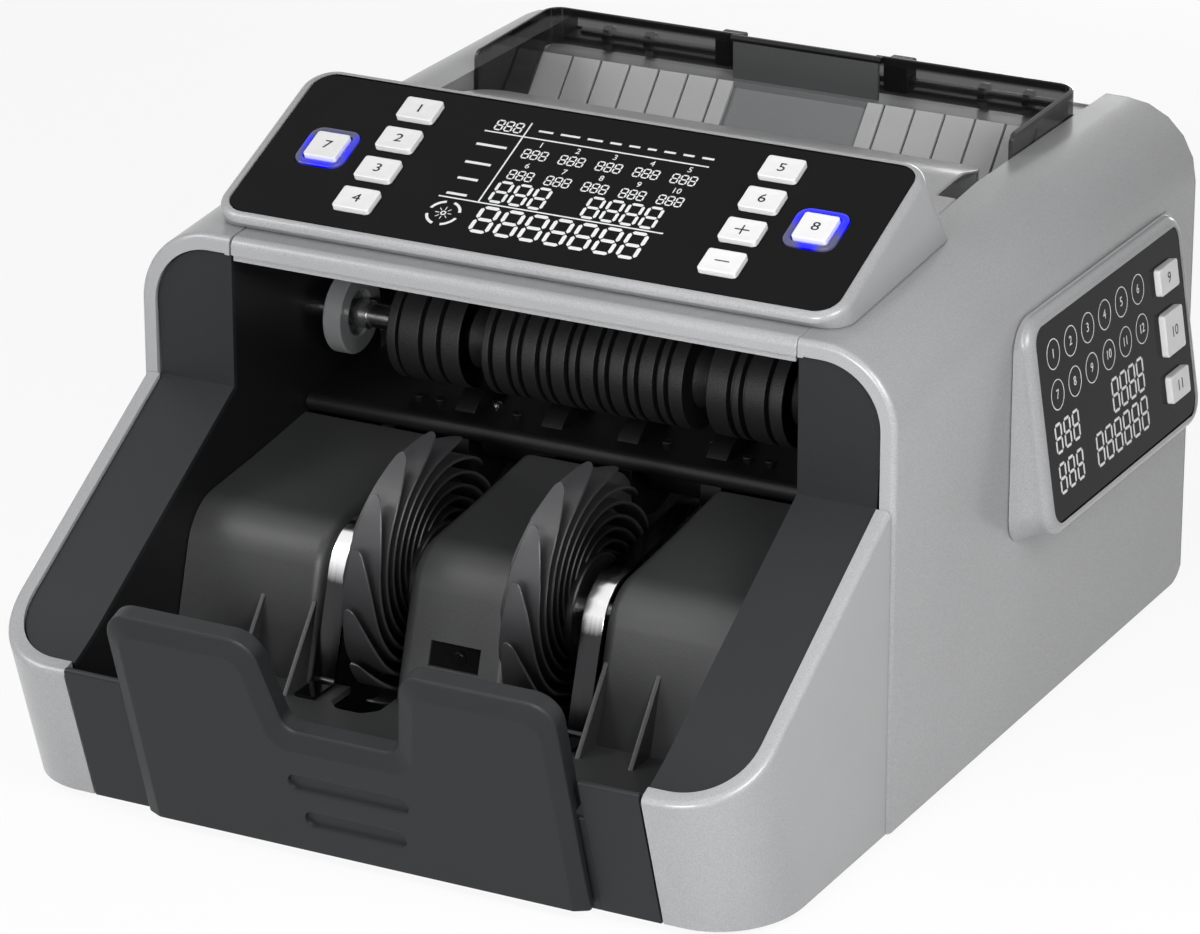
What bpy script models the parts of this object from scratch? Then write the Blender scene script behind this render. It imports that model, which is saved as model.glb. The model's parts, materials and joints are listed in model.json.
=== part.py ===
"""A desktop banknote counter: silver and dark housings round a rear hopper, a roller bay, two bladed
stacker wheels and an open front pocket, with a sloping key panel and a side display pod.

Every piece is drawn in one working frame: x runs across from the middle, y runs to the rear from the
front arch, and z runs up from the underside. The empty named counter moves all of it, so that the
origin lies under the middle of the finished object, on the surface that it stands on.
"""

import math

import bmesh
import bpy
import numpy as np
from mathutils import Matrix, Vector

# Housing
CHANNEL_WIDTH = 0.210
SIDE_WIDTH = 0.035
BODY_DEPTH = 0.250
ARCH_RISE = 0.0523
ROOF_RISE = 0.0117
ROOF_CREST = 0.137
COVER_RADIUS = 0.027
COVER_WALL = 0.0025
COVER_FLANGE = 0.0060
HOPPER_FLANGE = 0.045
FILLET_SHARE = 0.3
ROUND_SHARES = (0.0, 0.3, 1.0)
RIM_WIDTH = 0.0055
RIM_DEPTH = 0.004
EDGE_ROUND = 0.002
SEAM = 0.0003
SKIN = 0.0018
PANEL_SINK = 0.0012
FRONT_STEP_IN = 0.0011

# Front slope
KNEE_HEIGHT = 0.113
SLOPE_ANGLE = math.radians(31.4)
STRAIGHT_SLOPE = 0.085
NOSE_CURL_RADIUS = 0.098
FRONT_FOOT = 0.0924
FRONT_LEAN = math.radians(18.2)
LIP_FACE_HEIGHT = 0.049
LIP_HEIGHT = 0.0514
LIP_WIDTH = 0.003

# Pocket tray
TRAY_WALL = 0.0024
FLOOR_HEIGHT = 0.031
FLOOR_REAR = -0.038
HUMP_FOOT = 0.0422
HUMP_CORNER = (-0.0273, 0.0798)
HUMP_CREST = (0.011, 0.0835)
HUMP_END = (0.0470, 0.0880)
HUMP_RADIUS = 0.019
HUMP_EDGE = 0.005
HUMP_DEPTH = 0.012
CENTRE_HUMP_WIDTH = 0.042
WHEEL_SLOT_WIDTH = 0.0305
FLOOR_SLOT_START = 0.0206
FLOOR_SLOT_WIDTH = 0.0182
SLOT_FRONT = 0.0554
SLOT_CHAMFER = 0.0045
RIB_WIDTH = 0.0018
RIB_PLACES = (0.0545, 0.0738)
RIB_TOP = (-0.0346, 0.0565)
RIB_TOE = 0.0555
TRAY_SIDE_HALF = 0.0835
TRAY_CENTRE_HEIGHT = 0.037
WINDOW_DEPTH = 0.0012
WINDOW_WIDTH = 0.0186
WINDOW_LOW = 0.0445
WINDOW_HIGH = 0.0528

# Stacker wheels
WHEEL_Y = -0.0074
WHEEL_Z = 0.0621
WHEEL_OFFSET = 0.0293
WHEEL_RADIUS = 0.0477
WHEEL_HUB_RADIUS = 0.0125
WHEEL_HUB_WIDTH = 0.0165
BLADES = 15
BLADE_SWEEP = math.radians(104.0)
BLADE_THICKNESS = 0.0011
BLADE_TIP_WIDTH = 0.0042
BLADE_ROOT_WIDTH = 0.0160
BLADE_TIP_SHIFT = 0.0020
BLADE_PHASE = math.radians(5.3)
BLADE_STEPS = 5
BLADE_TAPER_SHARE = 0.35
STACKER_SHAFT_RADIUS = 0.004

# Guide strips beside the wheels
STRIP_WIDTH = 0.0078
STRIP_TOE = 0.0535
STRIP_REAR = 0.040
STRIP_RISE_SHARE = 0.11
STRIP_THICKNESS = 0.0010
STRIP_SINK = 0.0010

# Rollers
ROLLER_Y = 0.067
UPPER_ROLLER_LIFT = 0.0065
LOWER_ROLLER_Y = 0.071
LOWER_ROLLER_Z = 0.083
UPPER_ROLLER_RADIUS = 0.0185
ROLLER_GROOVE = 0.0032
ROLLER_CONE_ROOT = 0.0110
ROLLER_CONE_TIP = 0.0056
ROLLER_CONE_LENGTH = 0.0081
ROLLER_SHAFT_RADIUS = 0.0042
CENTRE_GROUP_START = -0.0364
CENTRE_GROUP_END = 0.0395
GROUP_WALL_GAP = 0.0318
SIDE_GROUP_GAP = 0.0088
CENTRE_PAIRS = 7
CENTRE_LAST_GAP = 0.0016
WHOLE_SHARES = ((0.0, 1.0),)
CENTRE_BAND_SHARES = ((0.0, 0.23), (0.38, 0.85))
LEFT_BAND_SHARES = ((0.0, 0.12), (0.16, 0.44), (0.50, 0.69), (0.75, 1.0))
RIGHT_BAND_SHARES = ((0.0, 0.27), (0.34, 0.43), (0.50, 0.77), (0.83, 1.0))
LOWER_WHEEL_RADIUS = 0.0179
LOWER_WHEEL_WIDTH = 0.008
LOWER_WHEEL_PLACES = (0.0145, 0.0480)
LOWER_CORE_RADIUS = 0.0090
LOWER_CORE_WALL_GAP = 0.027
END_DISC_RADIUS = 0.0145
END_DISC_WIDTH = 0.0069
END_DISC_RECESS_RADIUS = 0.0078
END_DISC_RECESS = 0.0030
END_DISC_WALL_GAP = 0.0042
COLLAR_RADIUS = 0.0050
COLLAR_WIDTH = 0.0045
SHAFT_END = 0.0015
PICKUP_SETBACK = 0.0252
PICKUP_DROP = 0.0467
PICKUP_RADIUS = 0.015
PICKUP_TYRE_WIDTH = 0.010
PICKUP_TYRE_OFFSET = 0.0125

# Frames, drive and base
FRAME_WALL = 0.002
FRAME_FRONT = -0.078
FRAME_REAR_GAP = 0.018
FRAME_OVER_ROLLER = 0.0305
FRAME_OVER_PICKUP = 0.0264
FRAME_SETBACK = 0.007
FRAME_DROP = 0.012
FRAME_WINDOWS = ((-0.046, 0.028), (0.115, 0.112))
REAR_WINDOW_GAP = 0.027
REAR_WINDOW_Z = 0.060
FRAME_WINDOW_HALF = (0.017, 0.013)
FRAME_WINDOW_RADIUS = 0.004
PAN_RIM = 0.008
REAR_CURL = 0.011
REAR_SEAT = 0.0003
BASE_WALL = 0.0025
RUN_CLEARANCE = 0.0003
OPEN_CLEARANCE = 0.0012
MOTOR_PULLEY_RADIUS = 0.008
MOTOR_RATIO = 3
FEED_RATIO = 2
PULLEY_FLANGE = 0.0018
FLANGE_WIDTH = 0.0008
BELT_WIDTH = 0.0050
BELT_THICKNESS = 0.0014
BELT_SIDE_GAP = 0.0004
PULLEY_STANDOFF = 0.0022
MOTOR_REAR_GAP = 0.100
MOTOR_Z = 0.038
MOTOR_RADIUS = 0.020
MOTOR_LENGTH = 0.062
MOTOR_NOSE_RADIUS = 0.009
MOTOR_SHAFT_RADIUS = 0.003
GEAR_TEETH = 24
GEAR_WIDTH = 0.006
GEAR_ADDENDUM = 0.0012
GEAR_DEDENDUM = 0.0017
GEAR_BACKLASH = 0.0005
TOOTH_ROOT_SHARE = 1.4
TOOTH_TIP_SHARE = 0.6
FOOT_RADIUS = 0.008
FOOT_HEIGHT = 0.003
FOOT_TAPER = 0.001
FRONT_FOOT_INSET = 0.040
FRONT_FOOT_Y = -0.074
REAR_FOOT_INSET = 0.028
REAR_FOOT_GAP = 0.028
BASE_CORNER = 0.030
BASE_REAR_CORNER = 0.003

# Sensor guide under the rollers
GUIDE_TOP = 0.0945
GUIDE_WALL = 0.0022
GUIDE_BAR_RADIUS = 0.0033
GUIDE_FRONT = 0.0472
GUIDE_BEND = 0.124
GUIDE_RAMP_GAP = 0.0033
GUIDE_CLIMB = 0.0085
POST_PLACES = (0.0286, 0.0588, 0.0670)
POST_Y = 0.0598
POST_FOOT_RADIUS = 0.0014
POST_TOP_RADIUS = 0.0021
POST_HEIGHT = 0.0022

# Hood over the roller bay
HOOD_LIP = 0.0058
HOOD_ROUND = 0.0035
HOOD_WALL = 0.0025
HOOD_REAR = 0.100
LIP_BAR_DEPTH = 0.0022
LIP_BAR_DROP = 0.0030
BAR_INSET = 0.008
BAR_OVERHANG = 0.0042
BAR_DROP = 0.0045
BAR_RADIUS = 0.009
BAR_START = 0.122
BAR_SLOPE = 0.020
FEED_WALL_LOW = 0.128

# Key panel
PANEL_OVERLAP = 0.0114
GLASS_MARGIN = 0.0038
GLASS_FOOT = (0.0088, 0.1723)
GLASS_LENGTH = 0.0729
GLASS_SLOPE = math.radians(23.4)
GLASS_RADIUS = 0.008
GLASS_THICKNESS = 0.002
PANEL_BORDER = 0.0034
PANEL_BACK_BORDER = 0.0024
PANEL_PROUD = 0.0004
PANEL_FRONT_FOOT = 0.0098
PANEL_EDGE = 0.0018
PANEL_WALL = 0.0024
PANEL_LEDGE = 0.0020
PANEL_LEDGE_WIDTH = 0.0026
PANEL_BACK_FOOT = 0.0959
PANEL_ROUND = 0.0028
KEY_WIDTH = 0.0138
KEY_DEPTH = 0.0104
KEY_RADIUS = 0.0015
KEY_PROUD = 0.0026
KEY_BEVEL = 0.0004
KEY_FLANGE = 0.0011
KEY_FLANGE_HEIGHT = 0.0009
KEY_CLEARANCE = 0.00035
KEY_COLUMN_INSET = 0.0448
KEY_FIRST_ROW = 0.0136
KEY_LAST_GAP = 0.01205
KEY_ROWS = 4
RING_COLUMN_INSET = 0.0216
RING_KEY_ROW = 0.0363
RING_KEY_SIZE = 0.0124
RING_WIDTH = 0.0030
RING_HEIGHT = 0.0016

# Side pod
POD_LENGTH = 0.1237
POD_REAR_GAP = 0.0285
POD_HEIGHT = 0.0695
POD_ROOF_GAP = 0.033
POD_TOP_REACH = 0.0040
POD_TILT = math.radians(8.5)
POD_PROUD = 0.0005
POD_RIM_UP = 0.0030
POD_BORDER = 0.0044
POD_FLARE = 0.0030
POD_BOTTOM_FLARE = 0.0070
POD_RADIUS = 0.010
POD_GLASS_RADIUS = 0.007
POD_GLASS_THICKNESS = 0.0015
POD_LEDGE_WIDTH = 0.0018
POD_ROUND = 0.0016
POD_KEY_WIDTH = 0.0200
POD_KEY_HEIGHTS = (0.0096, 0.0150, 0.0098)
POD_KEY_PLACES = (0.0545, 0.0352, 0.0157)
POD_KEY_INSET = 0.0135
POD_KEY_PROUD = 0.0026

# Front stop plate
STOP_FOOT = 0.098
STOP_LEAN = math.radians(17.5)
STOP_HALF = 0.076
STOP_TOP = 0.0765
STOP_NOTCH_HALF = 0.0262
STOP_SHOULDER_HALF = 0.0325
STOP_NOTCH = 0.0425
STOP_TOP_RADIUS = 0.0065
STOP_NOTCH_RADIUS = 0.0085
STOP_CHAMFER = 0.0055
STOP_CHAMFER_DEPTH = 0.0021
STOP_THICKNESS = 0.0044
STOP_CREST_THICKNESS = 0.0084
STOP_CREST_FOOT = 0.0400
STOP_CREST_WALL = 0.0030
STOP_RISE_SHARE = 1.3
STOP_BOTTOM = 0.0004
GRIP_HEIGHTS = (0.0295, 0.0146)
GRIP_HALF_LENGTHS = (0.0220, 0.0185)
GRIP_WIDTH = 0.0066
GRIP_DEPTH = 0.0014

# Hopper
RAMP_SETBACK = 0.0312
RAMP_DROP = 0.0067
RAMP_ANGLE = math.radians(47.5)
RAMP_RUN = 0.058
RAMP_WALL = 0.0032
SHELF_GAP = 0.0140
RECESS_HALF = 0.0265
RECESS_DEPTH = 0.0016
RECESS_REACH = 0.034
GROOVE_FIRST = 0.033
GROOVE_PITCH = 0.0117
GROOVES = 6
GROOVE_WIDTH = 0.0009
GROOVE_DEPTH = 0.0007
BACK_PLATE_RISE = 0.0144
BACK_PLATE_STEP = 0.0034
BACK_PLATE_WALL = 0.0016

# Note guides and their rail
GUIDE_SIDE_GAP = 0.0006
GUIDE_SHEET = 0.0016
GUIDE_REACH = 0.0505
GUIDE_RISE = 0.0144
GUIDE_DROP = 0.0203
GUIDE_BACK_STEP = 0.0070
GUIDE_BACK_RISE = 0.0159
GUIDE_INNER = 0.0268
GUIDE_CORNER = 0.007
GUIDE_CREST_ROUND = 0.003
GUIDE_LIFT = 0.0022
BLOCK_WIDTH = 0.0090
BLOCK_INSET = 0.0020
BLOCK_LIFT = 0.0023
BLOCK_HEIGHT = 0.0114
BLOCK_REAR_GAP = 0.0008
RAIL_STEP = 0.0120
RAIL_RISE = 0.0059
RAIL_RADIUS = 0.0016
RAIL_WALL_GAP = 0.011
RAIL_BOSS_RADIUS = 0.0036
RAIL_BOSS_WIDTH = 0.0030
RAIL_BOSS_INSETS = (0.0280, 0.0110)
RAIL_POST_WIDTH = 0.0036

# Rear face
KNOB_RADIUS = 0.010
KNOB_GRIP = 0.0006
KNOB_LENGTH = 0.012
KNOB_PROUD = 0.003
KNOB_DROP = 0.032
KNOB_STEM_RADIUS = 0.003
EAR_WALL = 0.003
EAR_REACH = 0.006
DECK_DROP = 0.005
KNOB_RIDGES = 12
INLET_PLACE = (-0.075, 0.034)
INLET_WIDTH = 0.0280
INLET_HEIGHT = 0.0200
INLET_DEPTH = 0.016
INLET_WALL = 0.0022
INLET_RADIUS = 0.003
INLET_FLANGE = 0.0020
INLET_FLANGE_HEIGHT = 0.0012
PIN_PITCH = 0.007
PIN_DROP = 0.002
PIN_THICKNESS = 0.002
PIN_HEIGHT = 0.005
SWITCH_PLACE = (-0.042, 0.034)
SWITCH_WIDTH = 0.0120
SWITCH_HEIGHT = 0.0200
SWITCH_DEPTH = 0.0070
SWITCH_DISH = 0.0006
SWITCH_ROCK = math.radians(4)
SWITCH_CLEARANCE = 0.0006
VENTS = 7
VENT_PITCH = 0.009
VENT_WIDTH = 0.0032
VENT_HEIGHT = 0.026
VENT_PLACE = (0.045, 0.050)

# Working values that follow from the sizes above
CUT_OVERRUN = 0.010
ARC_STEPS = 3
CORNER_STEPS = 5
HOLE_STEPS = 8
FOOT_STEPS = 12
POST_STEPS = 6
ROLLER_STEPS = 14
SHAFT_STEPS = 12
HUB_STEPS = 15
RAIL_STEPS = 8
BELT_STEPS = 6
KEY_STEPS = 1
CHANNEL = CHANNEL_WIDTH / 2
HALF = CHANNEL + SIDE_WIDTH
NOSE_HALF = HALF - FRONT_STEP_IN
SKIN_OUT = CHANNEL + SKIN
FRAME_IN = SKIN_OUT + SEAM + RUN_CLEARANCE
FRAME_OUT = FRAME_IN + FRAME_WALL
DRIVE_IN = FRAME_OUT + PULLEY_STANDOFF
DRIVE_OUT = DRIVE_IN + BELT_WIDTH + 2 * (FLANGE_WIDTH + BELT_SIDE_GAP)
SECOND_OUT = DRIVE_OUT + BELT_WIDTH + 2 * BELT_SIDE_GAP + FLANGE_WIDTH
CENTRE_SLOT_EDGE = CENTRE_HUMP_WIDTH / 2
OUTER_SLOT_EDGE = CENTRE_SLOT_EDGE + WHEEL_SLOT_WIDTH
REAR_INSIDE = BODY_DEPTH - COVER_WALL
ARCH_HEIGHT = KNEE_HEIGHT + ARCH_RISE
ROOF_HEIGHT = ARCH_HEIGHT + ROOF_RISE
UPPER_ROLLER_Z = GUIDE_TOP + UPPER_ROLLER_LIFT + UPPER_ROLLER_RADIUS
RAMP_TOP = (BODY_DEPTH - RAMP_SETBACK, ROOF_HEIGHT - RAMP_DROP)
RAMP_LOW = RAMP_TOP[0] - RAMP_RUN
SHELF_REAR = BODY_DEPTH - SHELF_GAP
BACK_PLATE_FRONT = RAMP_TOP[0] + BACK_PLATE_STEP
BACK_PLATE_TOP = RAMP_TOP[1] + BACK_PLATE_RISE
BAR_REAR = RAMP_LOW + BAR_OVERHANG
BAR_TOP = ROOF_HEIGHT - BAR_DROP
BAR_HALF = CHANNEL - BAR_INSET
GUIDE_REAR = (RAMP_LOW - GUIDE_RAMP_GAP, GUIDE_TOP + GUIDE_CLIMB)
SIDE_GROUP_LENGTH = CHANNEL - GROUP_WALL_GAP + CENTRE_GROUP_START - SIDE_GROUP_GAP
LOWER_CORE_HALF = CHANNEL - LOWER_CORE_WALL_GAP
PICKUP_Y = RAMP_TOP[0] - PICKUP_SETBACK
PICKUP_Z = RAMP_TOP[1] - PICKUP_DROP
FRAME_REAR = BODY_DEPTH - FRAME_REAR_GAP
REAR_WINDOW = (FRAME_REAR - REAR_WINDOW_GAP, REAR_WINDOW_Z)
MOTOR_Y = BODY_DEPTH - MOTOR_REAR_GAP
PANEL_HALF = CHANNEL + PANEL_OVERLAP
GLASS_HALF = PANEL_HALF - GLASS_MARGIN
KEY_COLUMN = GLASS_HALF - KEY_COLUMN_INSET
RING_KEY_COLUMN = GLASS_HALF - RING_COLUMN_INSET
KEY_PITCH = (GLASS_LENGTH - KEY_FIRST_ROW - KEY_LAST_GAP) / (KEY_ROWS - 1)
POD_GLASS_REAR = BODY_DEPTH - POD_REAR_GAP
POD_GLASS_FRONT = POD_GLASS_REAR - POD_LENGTH
POD_GLASS_HIGH = ROOF_HEIGHT - POD_ROOF_GAP
POD_GLASS_LOW = POD_GLASS_HIGH - POD_HEIGHT
GUIDE_OUTER = CHANNEL - GUIDE_SIDE_GAP
GUIDE_WING_FRONT = RAMP_TOP[0] - GUIDE_REACH
GUIDE_WING_TOP = RAMP_TOP[1] + GUIDE_RISE
GUIDE_WING_LOW = RAMP_TOP[1] - GUIDE_DROP
GUIDE_BACK_Y = RAMP_TOP[0] + GUIDE_BACK_STEP
GUIDE_BACK_TOP = RAMP_TOP[1] + GUIDE_BACK_RISE
BLOCK_LOW = RAMP_TOP[1] + BLOCK_LIFT
BLOCK_HIGH = BLOCK_LOW + BLOCK_HEIGHT
BLOCK_REAR = SHELF_REAR - BLOCK_REAR_GAP
RAIL_Y = RAMP_TOP[0] + RAIL_STEP
RAIL_Z = RAMP_TOP[1] + RAIL_RISE
RAIL_HALF = CHANNEL - RAIL_WALL_GAP
DECK_TOP = ROOF_HEIGHT - DECK_DROP
KNOB_HEIGHT = DECK_TOP - KNOB_DROP
POD_GLASS_UP = (POD_GLASS_HIGH - POD_GLASS_LOW) / math.cos(POD_TILT)
POD_CENTRE = (
    HALF + POD_TOP_REACH + POD_GLASS_UP / 2 * math.sin(POD_TILT),
    (POD_GLASS_FRONT + POD_GLASS_REAR) / 2,
    (POD_GLASS_LOW + POD_GLASS_HIGH) / 2,
)
STACKER_PULLEY = MOTOR_PULLEY_RADIUS * MOTOR_RATIO
FEED_PULLEY = STACKER_PULLEY / FEED_RATIO
KNOB_Y = BODY_DEPTH + KNOB_PROUD - KNOB_RADIUS


def roof_height(y):
    """Height of the roof line, which climbs from the arch to the crest and then runs level."""
    return ARCH_HEIGHT + (ROOF_HEIGHT - ARCH_HEIGHT) * min(max(y, 0) / ROOF_CREST, 1)


def slope_height(y):
    """Height of the front slope: straight below the knee, then flattening towards the nose."""
    beyond = max(-y - STRAIGHT_SLOPE, 0)
    return KNEE_HEIGHT + y * math.tan(SLOPE_ANGLE) + beyond**2 / (2 * NOSE_CURL_RADIUS)


def front_face(z):
    """Where the leaning front face stands at this height."""
    return -FRONT_FOOT - z * math.tan(FRONT_LEAN)


def ramp_height(y):
    """Height of the hopper's ramp."""
    return RAMP_TOP[1] - (RAMP_TOP[0] - y) * math.tan(RAMP_ANGLE)


def finish(name, colour, roughness, metallic=0.0, alpha=1.0):
    """A Principled material for one kind of surface."""
    made = bpy.data.materials.get(name)
    if made:
        return made
    made = bpy.data.materials.new(name)
    made.use_nodes = True
    shader = made.node_tree.nodes["Principled BSDF"]
    shader.inputs["Base Color"].default_value = (*colour, 1.0)
    shader.inputs["Roughness"].default_value = roughness
    shader.inputs["Metallic"].default_value = metallic
    shader.inputs["Alpha"].default_value = alpha
    return made


def silver_paint():
    return finish("silver_paint", (0.56, 0.57, 0.58), 0.38, 0.55)


def dark_plastic():
    return finish("dark_plastic", (0.055, 0.056, 0.06), 0.55)


def black_plastic():
    return finish("black_plastic", (0.012, 0.012, 0.013), 0.45)


def black_glass():
    return finish("black_glass", (0.01, 0.01, 0.011), 0.12)


def white_key():
    return finish("white_key", (0.86, 0.86, 0.86), 0.42)


def blue_ring():
    return finish("blue_ring", (0.03, 0.05, 0.75), 0.15, 0.0, 0.6)


def smoked_plastic():
    return finish("smoked_plastic", (0.03, 0.03, 0.035), 0.08, 0.0, 0.55)


def bright_steel():
    return finish("bright_steel", (0.75, 0.75, 0.76), 0.15, 1.0)


def sheet_steel():
    return finish("sheet_steel", (0.45, 0.46, 0.47), 0.4, 0.9)


def rubber():
    return finish("rubber", (0.02, 0.02, 0.021), 0.7)


def grey_plastic():
    return finish("grey_plastic", (0.3, 0.3, 0.31), 0.5)


def add_solid(name, points, faces, surface, parent=None):
    """One closed mesh object, with its faces turned outwards and its round parts shaded smooth."""
    mesh = bpy.data.meshes.new(name)
    mesh.from_pydata([tuple(map(float, point)) for point in points], [], faces)
    form = bmesh.new()
    form.from_mesh(mesh)
    bmesh.ops.recalc_face_normals(form, faces=form.faces)
    form.to_mesh(mesh)
    form.free()
    mesh.shade_smooth()
    mesh.set_sharp_from_angle(angle=math.radians(35))
    mesh.materials.append(surface)
    piece = bpy.data.objects.new(name, mesh)
    bpy.context.scene.collection.objects.link(piece)
    piece.parent = parent or counter
    return piece


def loft_faces(rings, points_in_ring, start, closed):
    """Quads between neighbouring rings, with a face over each open end."""
    faces = []
    for ring in range(rings if closed else rings - 1):
        here = start + ring * points_in_ring
        there = start + (ring + 1) % rings * points_in_ring
        for k in range(points_in_ring):
            after = (k + 1) % points_in_ring
            faces.append((here + k, here + after, there + after, there + k))
    if not closed:
        faces.append(tuple(range(start, start + points_in_ring)))
        last = start + (rings - 1) * points_in_ring
        faces.append(tuple(range(last, last + points_in_ring)))
    return faces


def loft(name, rings, surface, closed=False, parent=None):
    """A solid skinned over rings of equally many points."""
    return lofts(name, [rings], surface, closed, parent)


def lofts(name, bundles, surface, closed=False, parent=None):
    """Several lofted solids, which stand clear of each other, as one object."""
    points = []
    faces = []
    for rings in bundles:
        faces += loft_faces(len(rings), len(rings[0]), len(points), closed)
        for ring in rings:
            points += [tuple(point) for point in ring]
    return add_solid(name, points, faces, surface, parent)


def across(axis, outline, place):
    """The outline laid in the plane square to the axis, at this place along it."""
    if axis == "X":
        return [(place, a, b) for a, b in outline]
    if axis == "Y":
        return [(a, place, b) for a, b in outline]
    return [(a, b, place) for a, b in outline]


def bar_rings(axis, outline, low, high):
    return [across(axis, outline, low), across(axis, outline, high)]


def prism(name, axis, outline, low, high, surface, parent=None):
    """The outline carried straight along the axis."""
    return loft(name, bar_rings(axis, outline, low, high), surface, parent=parent)


def box_rings(x_span, y_span, z_span):
    outline = [(x_span[0], y_span[0]), (x_span[1], y_span[0]), (x_span[1], y_span[1]), (x_span[0], y_span[1])]
    return bar_rings("Z", outline, *z_span)


def rounded(corners, radii, steps=ARC_STEPS):
    """The outline with an arc in place of each corner that has a radius."""
    outline = []
    for i, radius in enumerate(radii):
        here = np.array(corners[i], float)
        if radius <= 0:
            outline.append(tuple(here))
            continue
        back = np.array(corners[i - 1], float) - here
        ahead = np.array(corners[(i + 1) % len(corners)], float) - here
        back /= np.linalg.norm(back)
        ahead /= np.linalg.norm(ahead)
        half = math.acos(np.clip(back @ ahead, -1, 1)) / 2
        middle = (back + ahead) / np.linalg.norm(back + ahead)
        centre = here + middle * radius / math.sin(half)
        first = here + back * radius / math.tan(half) - centre
        last = here + ahead * radius / math.tan(half) - centre
        begin = math.atan2(first[1], first[0])
        sweep = math.atan2(last[1], last[0]) - begin
        sweep = (sweep + math.pi) % (2 * math.pi) - math.pi
        for k in range(steps + 1):
            angle = begin + sweep * k / steps
            outline.append((centre[0] + radius * math.cos(angle), centre[1] + radius * math.sin(angle)))
    return outline


def rounded_box(half_a, half_b, radius, steps=ARC_STEPS, centre=(0, 0)):
    """A rectangle with round corners, given by its half sizes."""
    a, b = centre
    corners = [(a - half_a, b - half_b), (a + half_a, b - half_b), (a + half_a, b + half_b), (a - half_a, b + half_b)]
    return rounded(corners, [radius] * 4, steps)


def circle(centre, radius, steps, phase=0.0):
    """Points round a circle in the plane of two coordinates."""
    turns = [phase + 2 * math.pi * k / steps for k in range(steps)]
    return [(centre[0] + radius * math.cos(turn), centre[1] + radius * math.sin(turn)) for turn in turns]


def turned_rings(profile, centre, steps, axis="X", phase=0.0):
    """Circles of a solid turned about a line along the axis: profile lists (place, radius)."""
    return [across(axis, circle(centre, radius, steps, phase), place) for place, radius in profile]


def sleeve_rings(profile, centre, steps):
    """Sections of a ring turned about a line along X: profile is a closed loop of (x, radius)."""
    rings = []
    for k in range(steps):
        turn = 2 * math.pi * k / steps
        spoke = (math.cos(turn), math.sin(turn))
        rings.append([(x, centre[0] + radius * spoke[0], centre[1] + radius * spoke[1]) for x, radius in profile])
    return rings


def combine(piece, helper, operation):
    """Cuts the helper from the piece or joins it on, and leaves the helper out of the model."""
    helper.hide_render = True
    helper.display_type = "WIRE"
    step = piece.modifiers.new(helper.name, "BOOLEAN")
    step.operation = operation
    step.solver = "EXACT"
    step.object = helper
    return piece


def cut(piece, helper):
    return combine(piece, helper, "DIFFERENCE")


def join(piece, helper):
    return combine(piece, helper, "UNION")


def seat(name, place, turn=(0, 0, 0)):
    """An empty that carries pieces drawn in their own frame."""
    empty = bpy.data.objects.new(name, None)
    empty.location = place
    empty.rotation_euler = turn
    empty.parent = counter
    bpy.context.scene.collection.objects.link(empty)
    return empty


def pivot(piece, place):
    """Moves the object's origin to the place on its joint's axis, with the mesh left where it is."""
    piece.data.transform(Matrix.Translation(-Vector(place)))
    piece.location = place
    return piece


def side_name(side, rest):
    return ("right_" if side > 0 else "left_") + rest


def flipped(rings, side):
    """The rings, mirrored to the left side of the machine where the side is -1."""
    return [[(side * x, y, z) for x, y, z in ring] for ring in rings]


def path_normals(path):
    """Mitred normals on the left of an open path, one for each point."""
    runs = np.diff(np.array(path, float), axis=0)
    runs /= np.linalg.norm(runs, axis=1)[:, None]
    normals = []
    for i in range(len(path)):
        before = runs[max(i - 1, 0)]
        after = runs[min(i, len(runs) - 1)]
        middle = (before + after) / np.linalg.norm(before + after)
        normals.append(np.array([-middle[1], middle[0]]) / (middle @ after))
    return normals


def below(path, distance):
    """The path moved to its right-hand side by the distance."""
    return [tuple(np.array(point) - normal * distance) for point, normal in zip(path, path_normals(path))]


def sheet_outline(path, wall):
    """Outline of a sheet with this wall on the right-hand side of an open path."""
    return list(path) + below(path, wall)[::-1]


def inset(corners, gaps):
    """A counter-clockwise outline with each edge moved inwards by its own gap."""
    count = len(corners)
    lines = []
    for i in range(count):
        start = np.array(corners[i], float)
        run = np.array(corners[(i + 1) % count], float) - start
        run /= np.linalg.norm(run)
        lines.append((start + np.array([-run[1], run[0]]) * gaps[i], run))
    moved = []
    for i in range(count):
        (a, u), (b, v) = lines[i - 1], lines[i]
        share = np.linalg.solve(np.column_stack([u, -v]), b - a)[0]
        moved.append(tuple(a + u * share))
    return moved


def axle_holes(name, places, low, high):
    """Round cutters along X, given as (centre, radius), between two places across."""
    bundles = []
    for centre, radius in places:
        corner = radius / math.cos(math.pi / HOLE_STEPS)
        bundles.append(turned_rings([(low, corner), (high, corner)], centre, HOLE_STEPS))
    return lofts(name, bundles, black_plastic())


# Base, feet and side frames


def make_base_pan():
    half = HALF - RIM_WIDTH - SEAM
    front = -FRONT_FOOT + COVER_WALL + 2 * SEAM
    rear = BODY_DEPTH - REAR_CURL
    plan = [(-half, front), (half, front), (half, rear), (-half, rear)]
    outer = rounded(plan, [BASE_CORNER, BASE_CORNER, BASE_REAR_CORNER, BASE_REAR_CORNER])
    corners = [BASE_CORNER - BASE_WALL, BASE_CORNER - BASE_WALL, BASE_REAR_CORNER, BASE_REAR_CORNER]
    inner = rounded(inset(plan, [BASE_WALL] * len(plan)), corners)
    levels = ((outer, 0), (outer, PAN_RIM), (inner, PAN_RIM), (inner, BASE_WALL))
    loft("base_pan", [across("Z", outline, z) for outline, z in levels], sheet_steel())


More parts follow.
